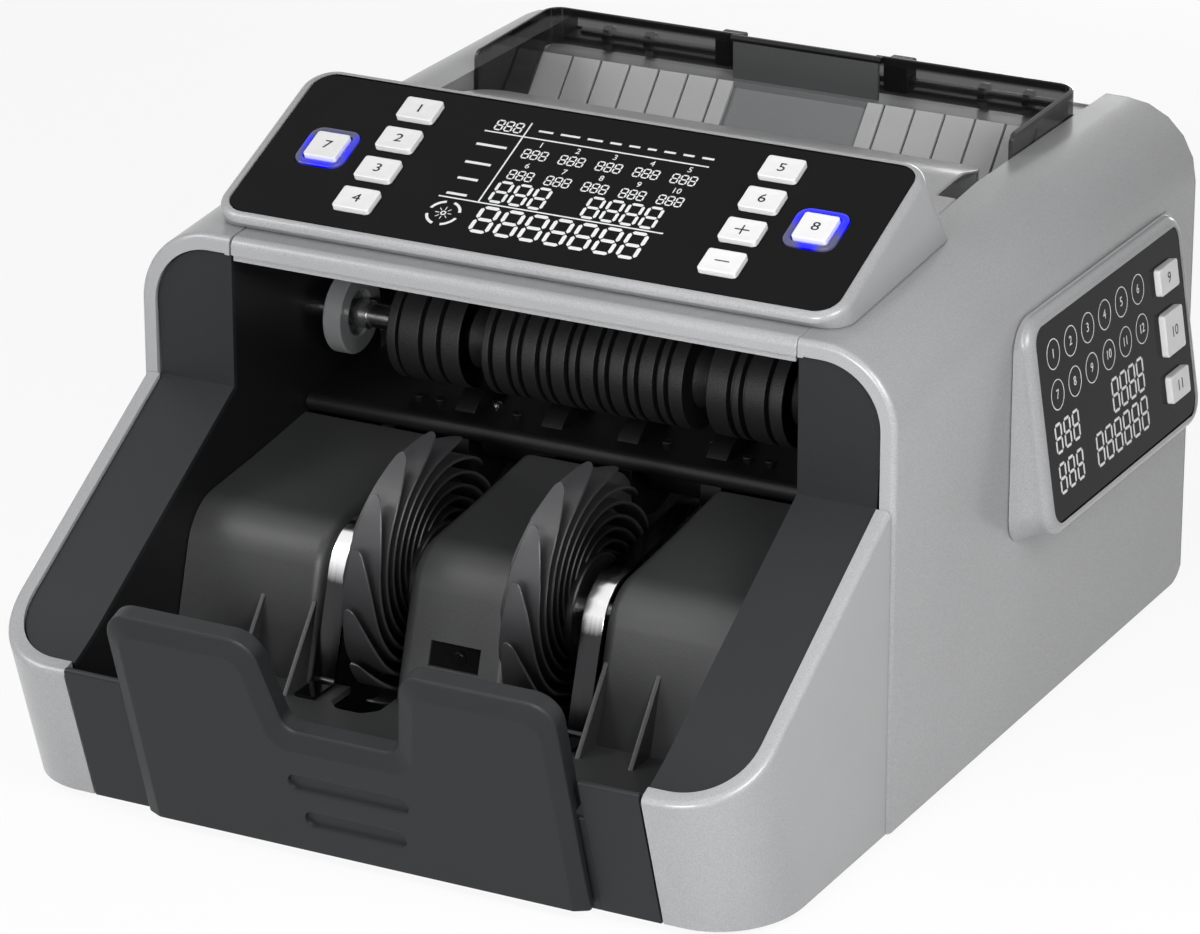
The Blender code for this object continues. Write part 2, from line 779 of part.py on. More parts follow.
def make_feet():
    front = (HALF - FRONT_FOOT_INSET, FRONT_FOOT_Y)
    rear = (HALF - REAR_FOOT_INSET, BODY_DEPTH - REAR_FOOT_GAP)
    for end, (x, y) in (("front", front), ("rear", rear)):
        for side in (-1, 1):
            profile = [(-FOOT_HEIGHT, FOOT_RADIUS - FOOT_TAPER), (-SEAM, FOOT_RADIUS)]
            rings = turned_rings(profile, (side * x, y), FOOT_STEPS, "Z")
            loft(f"{end}_{side_name(side, 'foot')}", rings, rubber())


def make_side_frame(side):
    floor = BASE_WALL + SEAM
    outline = [
        (FRAME_FRONT, floor),
        (FRAME_REAR, floor),
        (FRAME_REAR, PICKUP_Z + FRAME_OVER_PICKUP),
        (FRAME_SETBACK, UPPER_ROLLER_Z + FRAME_OVER_ROLLER),
        (FRAME_SETBACK, KNEE_HEIGHT - FRAME_DROP),
        (FRAME_FRONT, slope_height(FRAME_FRONT) - FRAME_DROP),
    ]
    rings = flipped(bar_rings("X", outline, FRAME_IN, FRAME_OUT), side)
    piece = loft(side_name(side, "side_frame"), rings, sheet_steel())
    low, high = sorted((side * (FRAME_IN - CUT_OVERRUN), side * (FRAME_OUT + CUT_OVERRUN)))
    places = [
        ((WHEEL_Y, WHEEL_Z), STACKER_SHAFT_RADIUS + RUN_CLEARANCE),
        ((LOWER_ROLLER_Y, LOWER_ROLLER_Z), ROLLER_SHAFT_RADIUS + RUN_CLEARANCE),
        ((ROLLER_Y, UPPER_ROLLER_Z), ROLLER_SHAFT_RADIUS + RUN_CLEARANCE),
        ((PICKUP_Y, PICKUP_Z), ROLLER_SHAFT_RADIUS + RUN_CLEARANCE),
    ]
    if side > 0:
        places.append(((MOTOR_Y, MOTOR_Z), MOTOR_NOSE_RADIUS + RUN_CLEARANCE))
    cut(piece, axle_holes(side_name(side, "frame_bores"), places, low, high))
    windows = []
    for place in FRAME_WINDOWS + (REAR_WINDOW,):
        windows.append(bar_rings("X", rounded_box(*FRAME_WINDOW_HALF, FRAME_WINDOW_RADIUS, 2, place), low, high))
    cut(piece, lofts(side_name(side, "frame_windows"), windows, black_plastic()))


# Pocket tray with its humps and ribs


def hump_front(z):
    """Where the steep front of the humps stands at this height."""
    run = (HUMP_CORNER[0] + HUMP_FOOT) / (HUMP_CORNER[1] - FLOOR_HEIGHT)
    return -HUMP_FOOT + (z - FLOOR_HEIGHT) * run


def hump_line():
    """Line along the top of the humps, from inside the floor to the rear end."""
    root = FLOOR_HEIGHT - TRAY_WALL / 2
    corners = [(hump_front(root), root), HUMP_CORNER, HUMP_CREST, HUMP_END]
    return rounded(corners, [0, HUMP_RADIUS, 0, 0], CORNER_STEPS)


def hump_edge(x, inward):
    """One round edge of a hump as (x, depth), outside and inside, from the lower end of its side wall up."""
    middle = x + inward * HUMP_EDGE
    outside = [(x, HUMP_DEPTH)]
    inside = [(x + inward * TRAY_WALL, HUMP_DEPTH)]
    for k in range(ARC_STEPS + 1):
        turn = math.pi / 2 * k / ARC_STEPS
        for line, radius in ((outside, HUMP_EDGE), (inside, HUMP_EDGE - TRAY_WALL)):
            line.append((middle - inward * radius * math.cos(turn), HUMP_EDGE - radius * math.sin(turn)))
    return outside, inside


def make_hump(name, first, last):
    """A shell along the hump line: first and last are its edges as lists outside and inside."""
    section = first[0] + last[0][::-1] + last[1] + first[1][::-1]
    line = hump_line()
    rings = []
    for (y, z), normal in zip(line, path_normals(line)):
        rings.append([(x, y - normal[0] * depth, z - normal[1] * depth) for x, depth in section])
    return loft(name, rings, dark_plastic())


def tray_outline():
    """Side outline of the tray's front skirt, lip, inner wall and floor."""
    wall = TRAY_WALL / math.cos(FRONT_LEAN)
    under = FLOOR_HEIGHT - TRAY_WALL
    return [
        (front_face(0), 0),
        (front_face(0) + wall, 0),
        (front_face(under) + wall, under),
        (FLOOR_REAR, under),
        (FLOOR_REAR, FLOOR_HEIGHT),
        (front_face(FLOOR_HEIGHT) + LIP_WIDTH, FLOOR_HEIGHT),
        (front_face(LIP_HEIGHT) + LIP_WIDTH, LIP_HEIGHT),
        (front_face(LIP_FACE_HEIGHT) + LIP_WIDTH / 3, LIP_HEIGHT),
        (front_face(LIP_FACE_HEIGHT), LIP_FACE_HEIGHT),
    ]


def wheel_slots():
    """Cutters for the two wheel slots in the floor, with chamfered front corners."""
    bundles = []
    for side in (-1, 1):
        near = FLOOR_SLOT_START
        far = FLOOR_SLOT_START + FLOOR_SLOT_WIDTH
        outline = [
            (near, FLOOR_REAR + CUT_OVERRUN),
            (near, SLOT_CHAMFER - SLOT_FRONT),
            (near + SLOT_CHAMFER, -SLOT_FRONT),
            (far - SLOT_CHAMFER, -SLOT_FRONT),
            (far, SLOT_CHAMFER - SLOT_FRONT),
            (far, FLOOR_REAR + CUT_OVERRUN),
        ]
        span = (FLOOR_HEIGHT - CUT_OVERRUN, FLOOR_HEIGHT + CUT_OVERRUN)
        bundles.append(flipped(bar_rings("Z", outline, *span), side))
    return lofts("wheel_slots", bundles, black_plastic())


def make_ribs():
    """Thin triangular fins from the floor up to the slope of the outer humps."""
    root = FLOOR_HEIGHT - TRAY_WALL / 2
    sink = TRAY_WALL / 2
    outline = [(-RIB_TOE, root), (hump_front(root) + sink, root), (RIB_TOP[0] + sink, RIB_TOP[1]), RIB_TOP]
    bundles = []
    for side in (-1, 1):
        for place in RIB_PLACES:
            x = side * place
            bundles.append(bar_rings("X", outline, x - RIB_WIDTH / 2, x + RIB_WIDTH / 2))
    return lofts("ribs", bundles, dark_plastic())


def make_pocket_tray():
    half = CHANNEL - SEAM
    tray = prism("pocket_tray", "X", tray_outline(), -half, half, dark_plastic())
    span = (front_face(LIP_HEIGHT) - CUT_OVERRUN, front_face(0))
    notch = box_rings((-TRAY_SIDE_HALF, TRAY_SIDE_HALF), span, (TRAY_CENTRE_HEIGHT, LIP_HEIGHT + CUT_OVERRUN))
    cut(tray, loft("tray_notch", notch, black_plastic()))
    cut(tray, wheel_slots())
    join(tray, make_hump("centre_hump", hump_edge(-CENTRE_SLOT_EDGE, 1), hump_edge(CENTRE_SLOT_EDGE, -1)))
    square = [(half, 0)], [(half, TRAY_WALL)]
    join(tray, make_hump("right_hump", hump_edge(OUTER_SLOT_EDGE, 1), square))
    square = [(-half, 0)], [(-half, TRAY_WALL)]
    join(tray, make_hump("left_hump", square, hump_edge(-OUTER_SLOT_EDGE, -1)))
    join(tray, make_ribs())
    ahead = -HUMP_FOOT - CUT_OVERRUN
    window = [(ahead, WINDOW_LOW), (hump_front(WINDOW_LOW) + WINDOW_DEPTH, WINDOW_LOW)]
    window += [(hump_front(WINDOW_HIGH) + WINDOW_DEPTH, WINDOW_HIGH), (ahead, WINDOW_HIGH)]
    cut(tray, prism("sensor_window", "X", window, -WINDOW_WIDTH / 2, WINDOW_WIDTH / 2, black_plastic()))


def make_guide_strip(side):
    """Bent steel strip beside a wheel, from a toe on the floor up over the hump."""
    top = FLOOR_HEIGHT + SEAM + STRIP_THICKNESS
    over = [point for point in below(hump_line(), STRIP_SINK) if point[1] > top and point[0] < STRIP_REAR]
    foot = (hump_front(top) + STRIP_SINK, top)
    end = (STRIP_REAR, over[-1][1] + (STRIP_REAR - over[-1][0]) * STRIP_RISE_SHARE)
    outline = sheet_outline([(-STRIP_TOE, top), foot] + over + [end], STRIP_THICKNESS)
    outer = OUTER_SLOT_EDGE - SEAM
    rings = flipped(bar_rings("X", outline, outer - STRIP_WIDTH, outer), side)
    loft(side_name(side, "guide_strip"), rings, bright_steel())


def make_stop_plate():
    """Leaning front plate with a raised edge, a notch for the fingers and two grip slots."""
    stand = seat("stop_plate_seat", (0, -STOP_FOOT, 0), (math.pi / 2 + STOP_LEAN, 0, 0))
    rings = [across("Z", stop_outline(0), 0), across("Z", stop_outline(STOP_CHAMFER), -STOP_CHAMFER_DEPTH)]
    rings.append(across("Z", stop_outline(STOP_CHAMFER), -STOP_CREST_THICKNESS))
    plate = loft("front_stop_plate", rings, dark_plastic(), parent=stand)
    back = (-STOP_CREST_THICKNESS - CUT_OVERRUN, -STOP_THICKNESS)
    wide = STOP_HALF + STOP_CHAMFER + CUT_OVERRUN
    lower = box_rings((-wide, wide), (-CUT_OVERRUN, STOP_CREST_FOOT), back)
    cut(plate, loft("stop_back", lower, black_plastic(), parent=stand))
    hollow = bar_rings("Z", stop_outline(STOP_CHAMFER - STOP_CREST_WALL), *back)
    cut(plate, loft("stop_hollow", hollow, black_plastic(), parent=stand))
    slots = []
    for height, half in zip(GRIP_HEIGHTS, GRIP_HALF_LENGTHS):
        outline = rounded_box(half, GRIP_WIDTH / 2, GRIP_WIDTH / 2 - SEAM, ARC_STEPS, (0, height))
        slots.append(bar_rings("Z", outline, -GRIP_DEPTH, CUT_OVERRUN))
    cut(plate, lofts("grip_slots", slots, black_plastic(), parent=stand))


def stop_outline(grow):
    """Outline of the stop plate's front face, grown outwards and into its notch."""
    rise = grow * STOP_RISE_SHARE
    right = [
        (STOP_HALF + grow, STOP_BOTTOM),
        (STOP_HALF + grow, STOP_TOP + rise),
        (STOP_SHOULDER_HALF - grow, STOP_TOP + rise),
        (STOP_NOTCH_HALF - grow, STOP_NOTCH + rise),
    ]
    left = [(-x, height) for x, height in right[::-1]]
    outer = STOP_TOP_RADIUS + grow / 2
    notch = STOP_NOTCH_RADIUS - grow / 2
    return rounded(left + right, [notch, outer, outer, 0, 0, outer, outer, notch])[::-1]


# Cheeks and covers


def corner_turns():
    return [math.pi / 2 * k / CORNER_STEPS for k in range(CORNER_STEPS + 1)]


def cheek_line():
    """Outer edge of the cheek panel as (x, y, z), from the nose up the slope and up the arch."""
    reach = COVER_RADIUS - RIM_WIDTH - SEAM
    centre = front_face(LIP_FACE_HEIGHT) + COVER_RADIUS
    line = []
    for turn in corner_turns()[::-1]:
        y = centre - reach * math.sin(turn)
        line.append((NOSE_HALF - COVER_RADIUS + reach * math.cos(turn), y, slope_height(y)))
    line.append((NOSE_HALF - RIM_WIDTH - SEAM, 0, KNEE_HEIGHT))
    for turn in corner_turns():
        z = ARCH_HEIGHT - COVER_RADIUS + reach * math.sin(turn)
        z = min(z, ARCH_HEIGHT - HOOD_LIP - SEAM)
        line.append((HALF - COVER_RADIUS + reach * math.cos(turn), 0, z))
    return line


def make_cheek_panel(side):
    """Dark panel inside the silver rim: slope, upright front and the wall towards the pocket."""
    line = cheek_line()
    surface = below([(y, z) for x, y, z in line], PANEL_SINK)
    under = below(surface, SKIN)
    rings = []
    for (x, *_), (y, z), (v, w) in zip(line, surface, under):
        rings.append([(CHANNEL, y, z), (x, y, z), (x, v, w), (CHANNEL, v, w)])
    panel = loft(side_name(side, "cheek_panel"), flipped(rings, side), dark_plastic())
    low = FLOOR_HEIGHT - 2 * TRAY_WALL
    shade = roof_height(0) - COVER_FLANGE - SEAM
    knee = [point for point in surface if point[1] < shade]
    rear_top = roof_height(HOOD_REAR) - COVER_FLANGE - SEAM
    outline = [(front_face(low) + COVER_WALL + 2 * SEAM, low), (HOOD_REAR, low), (HOOD_REAR, rear_top)]
    outline += [(knee[-1][0], shade)] + knee[::-1]
    inner = flipped(bar_rings("X", outline, CHANNEL, SKIN_OUT), side)
    join(panel, loft(side_name(side, "cheek_wall"), inner, dark_plastic()))
    low, high = sorted((side * (CHANNEL - CUT_OVERRUN), side * (SKIN_OUT + CUT_OVERRUN)))
    places = [((WHEEL_Y, WHEEL_Z), STACKER_SHAFT_RADIUS + OPEN_CLEARANCE)]
    for centre in ((LOWER_ROLLER_Y, LOWER_ROLLER_Z), (ROLLER_Y, UPPER_ROLLER_Z)):
        places.append((centre, ROLLER_SHAFT_RADIUS + OPEN_CLEARANCE))
    cut(panel, axle_holes(side_name(side, "cheek_bores"), places, low, high))


def rear_curl(y):
    """Height of the housing's lower edge, which curls up towards the rear."""
    beyond = max(y - BODY_DEPTH + REAR_CURL, 0)
    return REAR_CURL - math.sqrt(REAR_CURL**2 - beyond**2)


def side_cover_ring(y, shrink, wall, flange):
    """Section of a side cover: outside, round shoulder, roof, inner flange, and back inside."""
    centre = (HALF - COVER_RADIUS, roof_height(y) - COVER_RADIUS)
    low = rear_curl(y)
    ring = [(HALF - shrink, low)]
    for turn in corner_turns():
        radius = COVER_RADIUS - shrink
        ring.append((centre[0] + radius * math.cos(turn), centre[1] + radius * math.sin(turn)))
    ring += [(CHANNEL, roof_height(y) - shrink), (CHANNEL, flange)]
    ring += [(SKIN_OUT, flange), (SKIN_OUT, roof_height(y) - wall)]
    for turn in corner_turns()[::-1]:
        radius = COVER_RADIUS - wall
        ring.append((centre[0] + radius * math.cos(turn), centre[1] + radius * math.sin(turn)))
    ring.append((HALF - wall, low))
    return across("Y", ring, y)


def hopper_flange(y):
    """Lower edge of the cover's wall beside the hopper, just under the edge of the ramp."""
    deep = roof_height(y) - HOPPER_FLANGE
    if y < RAMP_LOW - SEAM:
        return deep
    return ramp_height(min(max(y, RAMP_LOW), RAMP_TOP[0])) - 2 * RAMP_WALL


def make_side_cover(side):
    rings = []
    for share in ROUND_SHARES:
        y = EDGE_ROUND * share
        shrink = EDGE_ROUND - math.sqrt(EDGE_ROUND**2 - (EDGE_ROUND - y) ** 2)
        rings.append(side_cover_ring(y, shrink, RIM_WIDTH, roof_height(y) - COVER_FLANGE))
    rings.append(side_cover_ring(RIM_DEPTH, 0, RIM_WIDTH, roof_height(RIM_DEPTH) - COVER_FLANGE))
    for y in (RIM_DEPTH + SEAM, HOOD_REAR + SEAM):
        rings.append(side_cover_ring(y, 0, COVER_WALL, roof_height(y) - COVER_FLANGE))
    start = BODY_DEPTH - REAR_CURL
    stations = [HOOD_REAR + 2 * SEAM, ROOF_CREST, RAMP_LOW - 2 * SEAM, RAMP_LOW]
    stations += [RAMP_TOP[0], start, start + REAR_CURL / 2, REAR_INSIDE - REAR_SEAT]
    for y in stations:
        rings.append(side_cover_ring(y, 0, COVER_WALL, hopper_flange(y)))
    loft(side_name(side, "side_cover"), flipped(rings, side), silver_paint())


def front_cover_stations():
    """Places on the upper edge of a front cover, with the inward direction and the share of lean."""
    centre = (NOSE_HALF - COVER_RADIUS, front_face(LIP_FACE_HEIGHT) + COVER_RADIUS)
    stations = [((NOSE_HALF, -SEAM), (-1, 0), 0), ((NOSE_HALF, centre[1] / 2), (-1, 0), 0)]
    for turn in corner_turns():
        out = (math.cos(turn), -math.sin(turn))
        place = (centre[0] + COVER_RADIUS * out[0], centre[1] + COVER_RADIUS * out[1])
        stations.append((place, (-out[0], -out[1]), 1))
    stations.append(((CHANNEL + SEAM, centre[1] - COVER_RADIUS), (0, 1), 1))
    return stations


def make_front_cover(side):
    """Silver side of the nose: an outer wall, a rounded upper edge and a rim round the cheek panel."""
    rings = []
    for (x, y), (u, v), lean in front_cover_stations():
        top = slope_height(y)
        slant = lean * math.tan(FRONT_LEAN)

        def at(inward, z):
            return (x + u * inward, y + v * inward + max(top - z, 0) * slant, z)

        upper = slope_height(y + v * EDGE_ROUND)
        rim = slope_height(y + v * RIM_WIDTH)
        ring = [at(0, 0), at(0, top - EDGE_ROUND)]
        ring.append(at(EDGE_ROUND * FILLET_SHARE, top - EDGE_ROUND * FILLET_SHARE))
        ring.append((x + u * EDGE_ROUND, y + v * EDGE_ROUND, upper))
        ring.append((x + u * RIM_WIDTH, y + v * RIM_WIDTH, rim))
        ring.append((x + u * RIM_WIDTH, y + v * RIM_WIDTH, rim - RIM_DEPTH))
        ring.append(at(COVER_WALL, top - RIM_DEPTH))
        ring.append(at(COVER_WALL, 0))
        rings.append(ring)
    loft(side_name(side, "front_cover"), flipped(rings, side), silver_paint())


def make_bridge_hood():
    """Silver bridge over the roller bay and the bar behind the key panel, trimmed to its plan."""
    half = CHANNEL - SEAM
    back = BAR_REAR + CUT_OVERRUN
    top = [(0, ARCH_HEIGHT), (ROOF_CREST, ROOF_HEIGHT), (BAR_REAR - BAR_SLOPE, ROOF_HEIGHT), (back, BAR_TOP)]
    wall = HOOD_WALL
    lip = ARCH_HEIGHT - HOOD_LIP
    outline = [(0, lip), (LIP_BAR_DEPTH, lip), (LIP_BAR_DEPTH, lip + LIP_BAR_DROP)]
    outline += [(2 * LIP_BAR_DEPTH, lip + LIP_BAR_DROP), (ROOF_CREST, ROOF_HEIGHT - wall)]
    outline += [(BAR_REAR - wall, ROOF_HEIGHT - 2 * wall), (BAR_REAR - wall, FEED_WALL_LOW), (back, FEED_WALL_LOW)]
    outline += rounded(top[::-1] + [(0, lip)], [0, 0, 0, HOOD_ROUND, 0])[:-1]
    hood = prism("bridge_hood", "X", outline, -half - CUT_OVERRUN, half + CUT_OVERRUN, silver_paint())
    plan = [(-half, -CUT_OVERRUN), (half, -CUT_OVERRUN), (half, BAR_START), (BAR_HALF, BAR_START)]
    plan += [(BAR_HALF, BAR_REAR), (-BAR_HALF, BAR_REAR), (-BAR_HALF, BAR_START), (-half, BAR_START)]
    trimmed = rounded(plan, [0, 0, 0, 0, BAR_RADIUS, BAR_RADIUS, 0, 0])
    span = (FEED_WALL_LOW - CUT_OVERRUN, ROOF_HEIGHT + CUT_OVERRUN)
    combine(hood, prism("hood_plan", "Z", trimmed, *span, silver_paint()), "INTERSECT")


# Key panel


def panel_corners():
    """Side outline of the panel housing: front foot, rear foot, rear edge and front edge of its top."""
    run = (math.cos(GLASS_SLOPE), math.sin(GLASS_SLOPE))

    def on_top(along):
        y = GLASS_FOOT[0] + along * run[0] - PANEL_PROUD * run[1]
        return (y, GLASS_FOOT[1] + along * run[1] + PANEL_PROUD * run[0])

    front = (PANEL_FRONT_FOOT, roof_height(PANEL_FRONT_FOOT) + SEAM)
    rear = (PANEL_BACK_FOOT, roof_height(PANEL_BACK_FOOT) + SEAM)
    return [front, rear, on_top(GLASS_LENGTH + PANEL_BACK_BORDER), on_top(-PANEL_BORDER)]


def make_panel_housing(panel):
    """Wedge-shaped shell, open below, with a ledge for the glass and an opening for the keys."""
    rings = []
    stations = []
    for share in ROUND_SHARES:
        out = 1 - share
        stations.append((PANEL_HALF - PANEL_ROUND * share, PANEL_ROUND * (1 - math.sqrt(1 - out**2))))
    for x, shrink in stations + [(-x, shrink) for x, shrink in stations[::-1]]:
        shape = inset(panel_corners(), [0, shrink, shrink, shrink])
        rings.append(across("X", rounded(shape, [0, 0, PANEL_EDGE, PANEL_EDGE], 2), x))
    housing = loft("panel_housing", rings, silver_paint())
    roof = GLASS_THICKNESS + SEAM + PANEL_LEDGE + PANEL_PROUD
    hollow = inset(panel_corners(), [-CUT_OVERRUN, PANEL_WALL, roof, PANEL_WALL])
    half = PANEL_HALF - PANEL_WALL
    cut(housing, prism("panel_hollow", "X", hollow, -half, half, black_plastic()))
    middle = (0, GLASS_LENGTH / 2)
    bed = rounded_box(GLASS_HALF + SEAM, GLASS_LENGTH / 2 + SEAM, GLASS_RADIUS + SEAM, ARC_STEPS, middle)
    rings = bar_rings("Z", bed, -GLASS_THICKNESS - SEAM, CUT_OVERRUN)
    cut(housing, loft("glass_bed", rings, black_plastic(), parent=panel))
    width = GLASS_HALF - PANEL_LEDGE_WIDTH
    depth = GLASS_LENGTH / 2 - PANEL_LEDGE_WIDTH
    opening = rounded_box(width, depth, GLASS_RADIUS - PANEL_LEDGE_WIDTH, ARC_STEPS, middle)
    rings = bar_rings("Z", opening, -CUT_OVERRUN, -GLASS_THICKNESS)
    cut(housing, loft("key_opening", rings, black_plastic(), parent=panel))


def key_places():
    """Name, place and kind of each key on the sloping panel."""
    places = []
    for side in (-1, 1):
        for row in range(KEY_ROWS):
            along = KEY_FIRST_ROW + KEY_PITCH * (KEY_ROWS - 1 - row)
            places.append((side_name(side, f"key_{row + 1}"), (side * KEY_COLUMN, along), False))
    for side in (-1, 1):
        places.append((side_name(side, "ring_key"), (side * RING_KEY_COLUMN, RING_KEY_ROW), True))
    return places


def make_panel_glass(panel):
    outline = rounded_box(GLASS_HALF, GLASS_LENGTH / 2, GLASS_RADIUS, ARC_STEPS, (0, GLASS_LENGTH / 2))
    glass = loft("panel_glass", bar_rings("Z", outline, -GLASS_THICKNESS, 0), black_glass(), parent=panel)
    holes = []
    for _, place, ringed in key_places():
        half = (KEY_WIDTH / 2, KEY_DEPTH / 2)
        spread = KEY_CLEARANCE
        if ringed:
            half = (RING_KEY_SIZE / 2, RING_KEY_SIZE / 2)
            spread = 2 * KEY_CLEARANCE + RING_WIDTH
        outline = rounded_box(half[0] + spread, half[1] + spread, KEY_RADIUS + spread, KEY_STEPS, place)
        holes.append(bar_rings("Z", outline, -CUT_OVERRUN, CUT_OVERRUN))
    cut(glass, lofts("key_holes", holes, black_plastic(), parent=panel))


def make_key(name, half, place, glass_thickness, proud, parent):
    """A key cap with a flange below the glass, which keeps it in."""
    flange = rounded_box(half[0] + KEY_FLANGE, half[1] + KEY_FLANGE, KEY_RADIUS + KEY_FLANGE, KEY_STEPS)
    cap = rounded_box(*half, KEY_RADIUS, KEY_STEPS)
    face = rounded_box(half[0] - KEY_BEVEL, half[1] - KEY_BEVEL, KEY_RADIUS - KEY_BEVEL, KEY_STEPS)
    under = -glass_thickness - SEAM
    levels = [(flange, under - KEY_FLANGE_HEIGHT), (flange, under), (cap, under)]
    levels += [(cap, proud - KEY_BEVEL), (face, proud)]
    key = loft(name, [across("Z", outline, level) for outline, level in levels], white_key(), parent=parent)
    key.location = (*place, 0)


def make_panel_keys(panel):
    for name, place, ringed in key_places():
        half = (RING_KEY_SIZE / 2, RING_KEY_SIZE / 2) if ringed else (KEY_WIDTH / 2, KEY_DEPTH / 2)
        make_key(name, half, place, GLASS_THICKNESS, KEY_PROUD, panel)


def make_key_ring(side, panel):
    """Blue light ring round a square key, let into the glass."""
    near = RING_KEY_SIZE / 2 + KEY_CLEARANCE
    far = near + RING_WIDTH
    place = (side * RING_KEY_COLUMN, RING_KEY_ROW)
    inner = rounded_box(near, near, KEY_RADIUS + KEY_CLEARANCE, KEY_STEPS, place)
    corner = KEY_RADIUS + KEY_CLEARANCE + RING_WIDTH
    outer = rounded_box(far, far, corner, KEY_STEPS, place)
    crest = rounded_box(far - KEY_BEVEL, far - KEY_BEVEL, corner - KEY_BEVEL, KEY_STEPS, place)
    rings = []
    for a, b, c in zip(outer, crest, inner):
        rings.append([(*a, -GLASS_THICKNESS), (*a, RING_HEIGHT - KEY_BEVEL), (*b, RING_HEIGHT)])
        rings[-1] += [(*c, RING_HEIGHT), (*c, -GLASS_THICKNESS)]
    loft(side_name(side, "key_ring"), rings, blue_ring(), closed=True, parent=panel)


# Side display pod


def pod_local(x, y, z):
    """A working-frame point in the pod's own frame: along the machine, up the glass and outwards."""
    a = x - POD_CENTRE[0]
    b = z - POD_CENTRE[2]
    up = b * math.cos(POD_TILT) - a * math.sin(POD_TILT)
    return (y - POD_CENTRE[1], up, a * math.cos(POD_TILT) + b * math.sin(POD_TILT))


def make_pod_bezel(pod):
    """Flared housing on the right side, with a rounded rim round the tilted glass."""
    low = POD_GLASS_LOW - POD_BOTTOM_FLARE
    high = POD_GLASS_HIGH + POD_FLARE
    front = POD_GLASS_FRONT - POD_BORDER - POD_FLARE
    rear = POD_GLASS_REAR + POD_BORDER + POD_FLARE
    centre = ((front + rear) / 2, (low + high) / 2)
    base = rounded_box((rear - front) / 2, (high - low) / 2, POD_RADIUS, ARC_STEPS, centre)
    half = ((POD_GLASS_REAR - POD_GLASS_FRONT) / 2, POD_GLASS_UP / 2)
    rim = rounded_box(half[0] + POD_BORDER, half[1] + POD_RIM_UP, POD_RADIUS, ARC_STEPS)
    crest = rounded_box(half[0] + POD_BORDER - POD_ROUND, half[1] + POD_RIM_UP - POD_ROUND, POD_RADIUS - POD_ROUND)
    rings = [[pod_local(HALF + SEAM, y, z) for y, z in base]]
    rings += [across("Z", rim, -POD_ROUND), across("Z", crest, POD_PROUD)]
    bezel = loft("side_pod_bezel", rings, silver_paint(), parent=pod)
    spread = half[0] + SEAM, half[1] + SEAM, POD_GLASS_RADIUS + SEAM
    bed = bar_rings("Z", rounded_box(*spread), -POD_GLASS_THICKNESS - SEAM, CUT_OVERRUN)
    cut(bezel, loft("pod_glass_bed", bed, black_plastic(), parent=pod))
    narrow = half[0] - POD_LEDGE_WIDTH, half[1] - POD_LEDGE_WIDTH, POD_GLASS_RADIUS - POD_LEDGE_WIDTH
    well = bar_rings("Z", rounded_box(*narrow), -2 * CUT_OVERRUN, -POD_GLASS_THICKNESS)
    cut(bezel, loft("pod_well", well, black_plastic(), parent=pod))


def pod_key_places():
    """Name, place on the glass and half size of each key on the side pod."""
    x = (POD_GLASS_REAR - POD_GLASS_FRONT) / 2 - POD_KEY_INSET
    places = []
    for k, (up, height) in enumerate(zip(POD_KEY_PLACES, POD_KEY_HEIGHTS)):
        places.append((f"side_key_{k + 1}", (x, up - POD_GLASS_UP / 2), (POD_KEY_WIDTH / 2, height / 2)))
    return places


def make_pod_glass(pod):
    half = ((POD_GLASS_REAR - POD_GLASS_FRONT) / 2, POD_GLASS_UP / 2)
    outline = rounded_box(*half, POD_GLASS_RADIUS)
    glass = loft("side_pod_glass", bar_rings("Z", outline, -POD_GLASS_THICKNESS, 0), black_glass(), parent=pod)
    holes = []
    for _, place, (a, b) in pod_key_places():
        spread = KEY_CLEARANCE
        outline = rounded_box(a + spread, b + spread, KEY_RADIUS + spread, KEY_STEPS, place)
        holes.append(bar_rings("Z", outline, -CUT_OVERRUN, CUT_OVERRUN))
    cut(glass, lofts("pod_key_holes", holes, black_plastic(), parent=pod))


def make_pod_keys(pod):
    for name, place, half in pod_key_places():
        make_key(name, half, place, POD_GLASS_THICKNESS, POD_KEY_PROUD, pod)


# Outlet guide and rollers


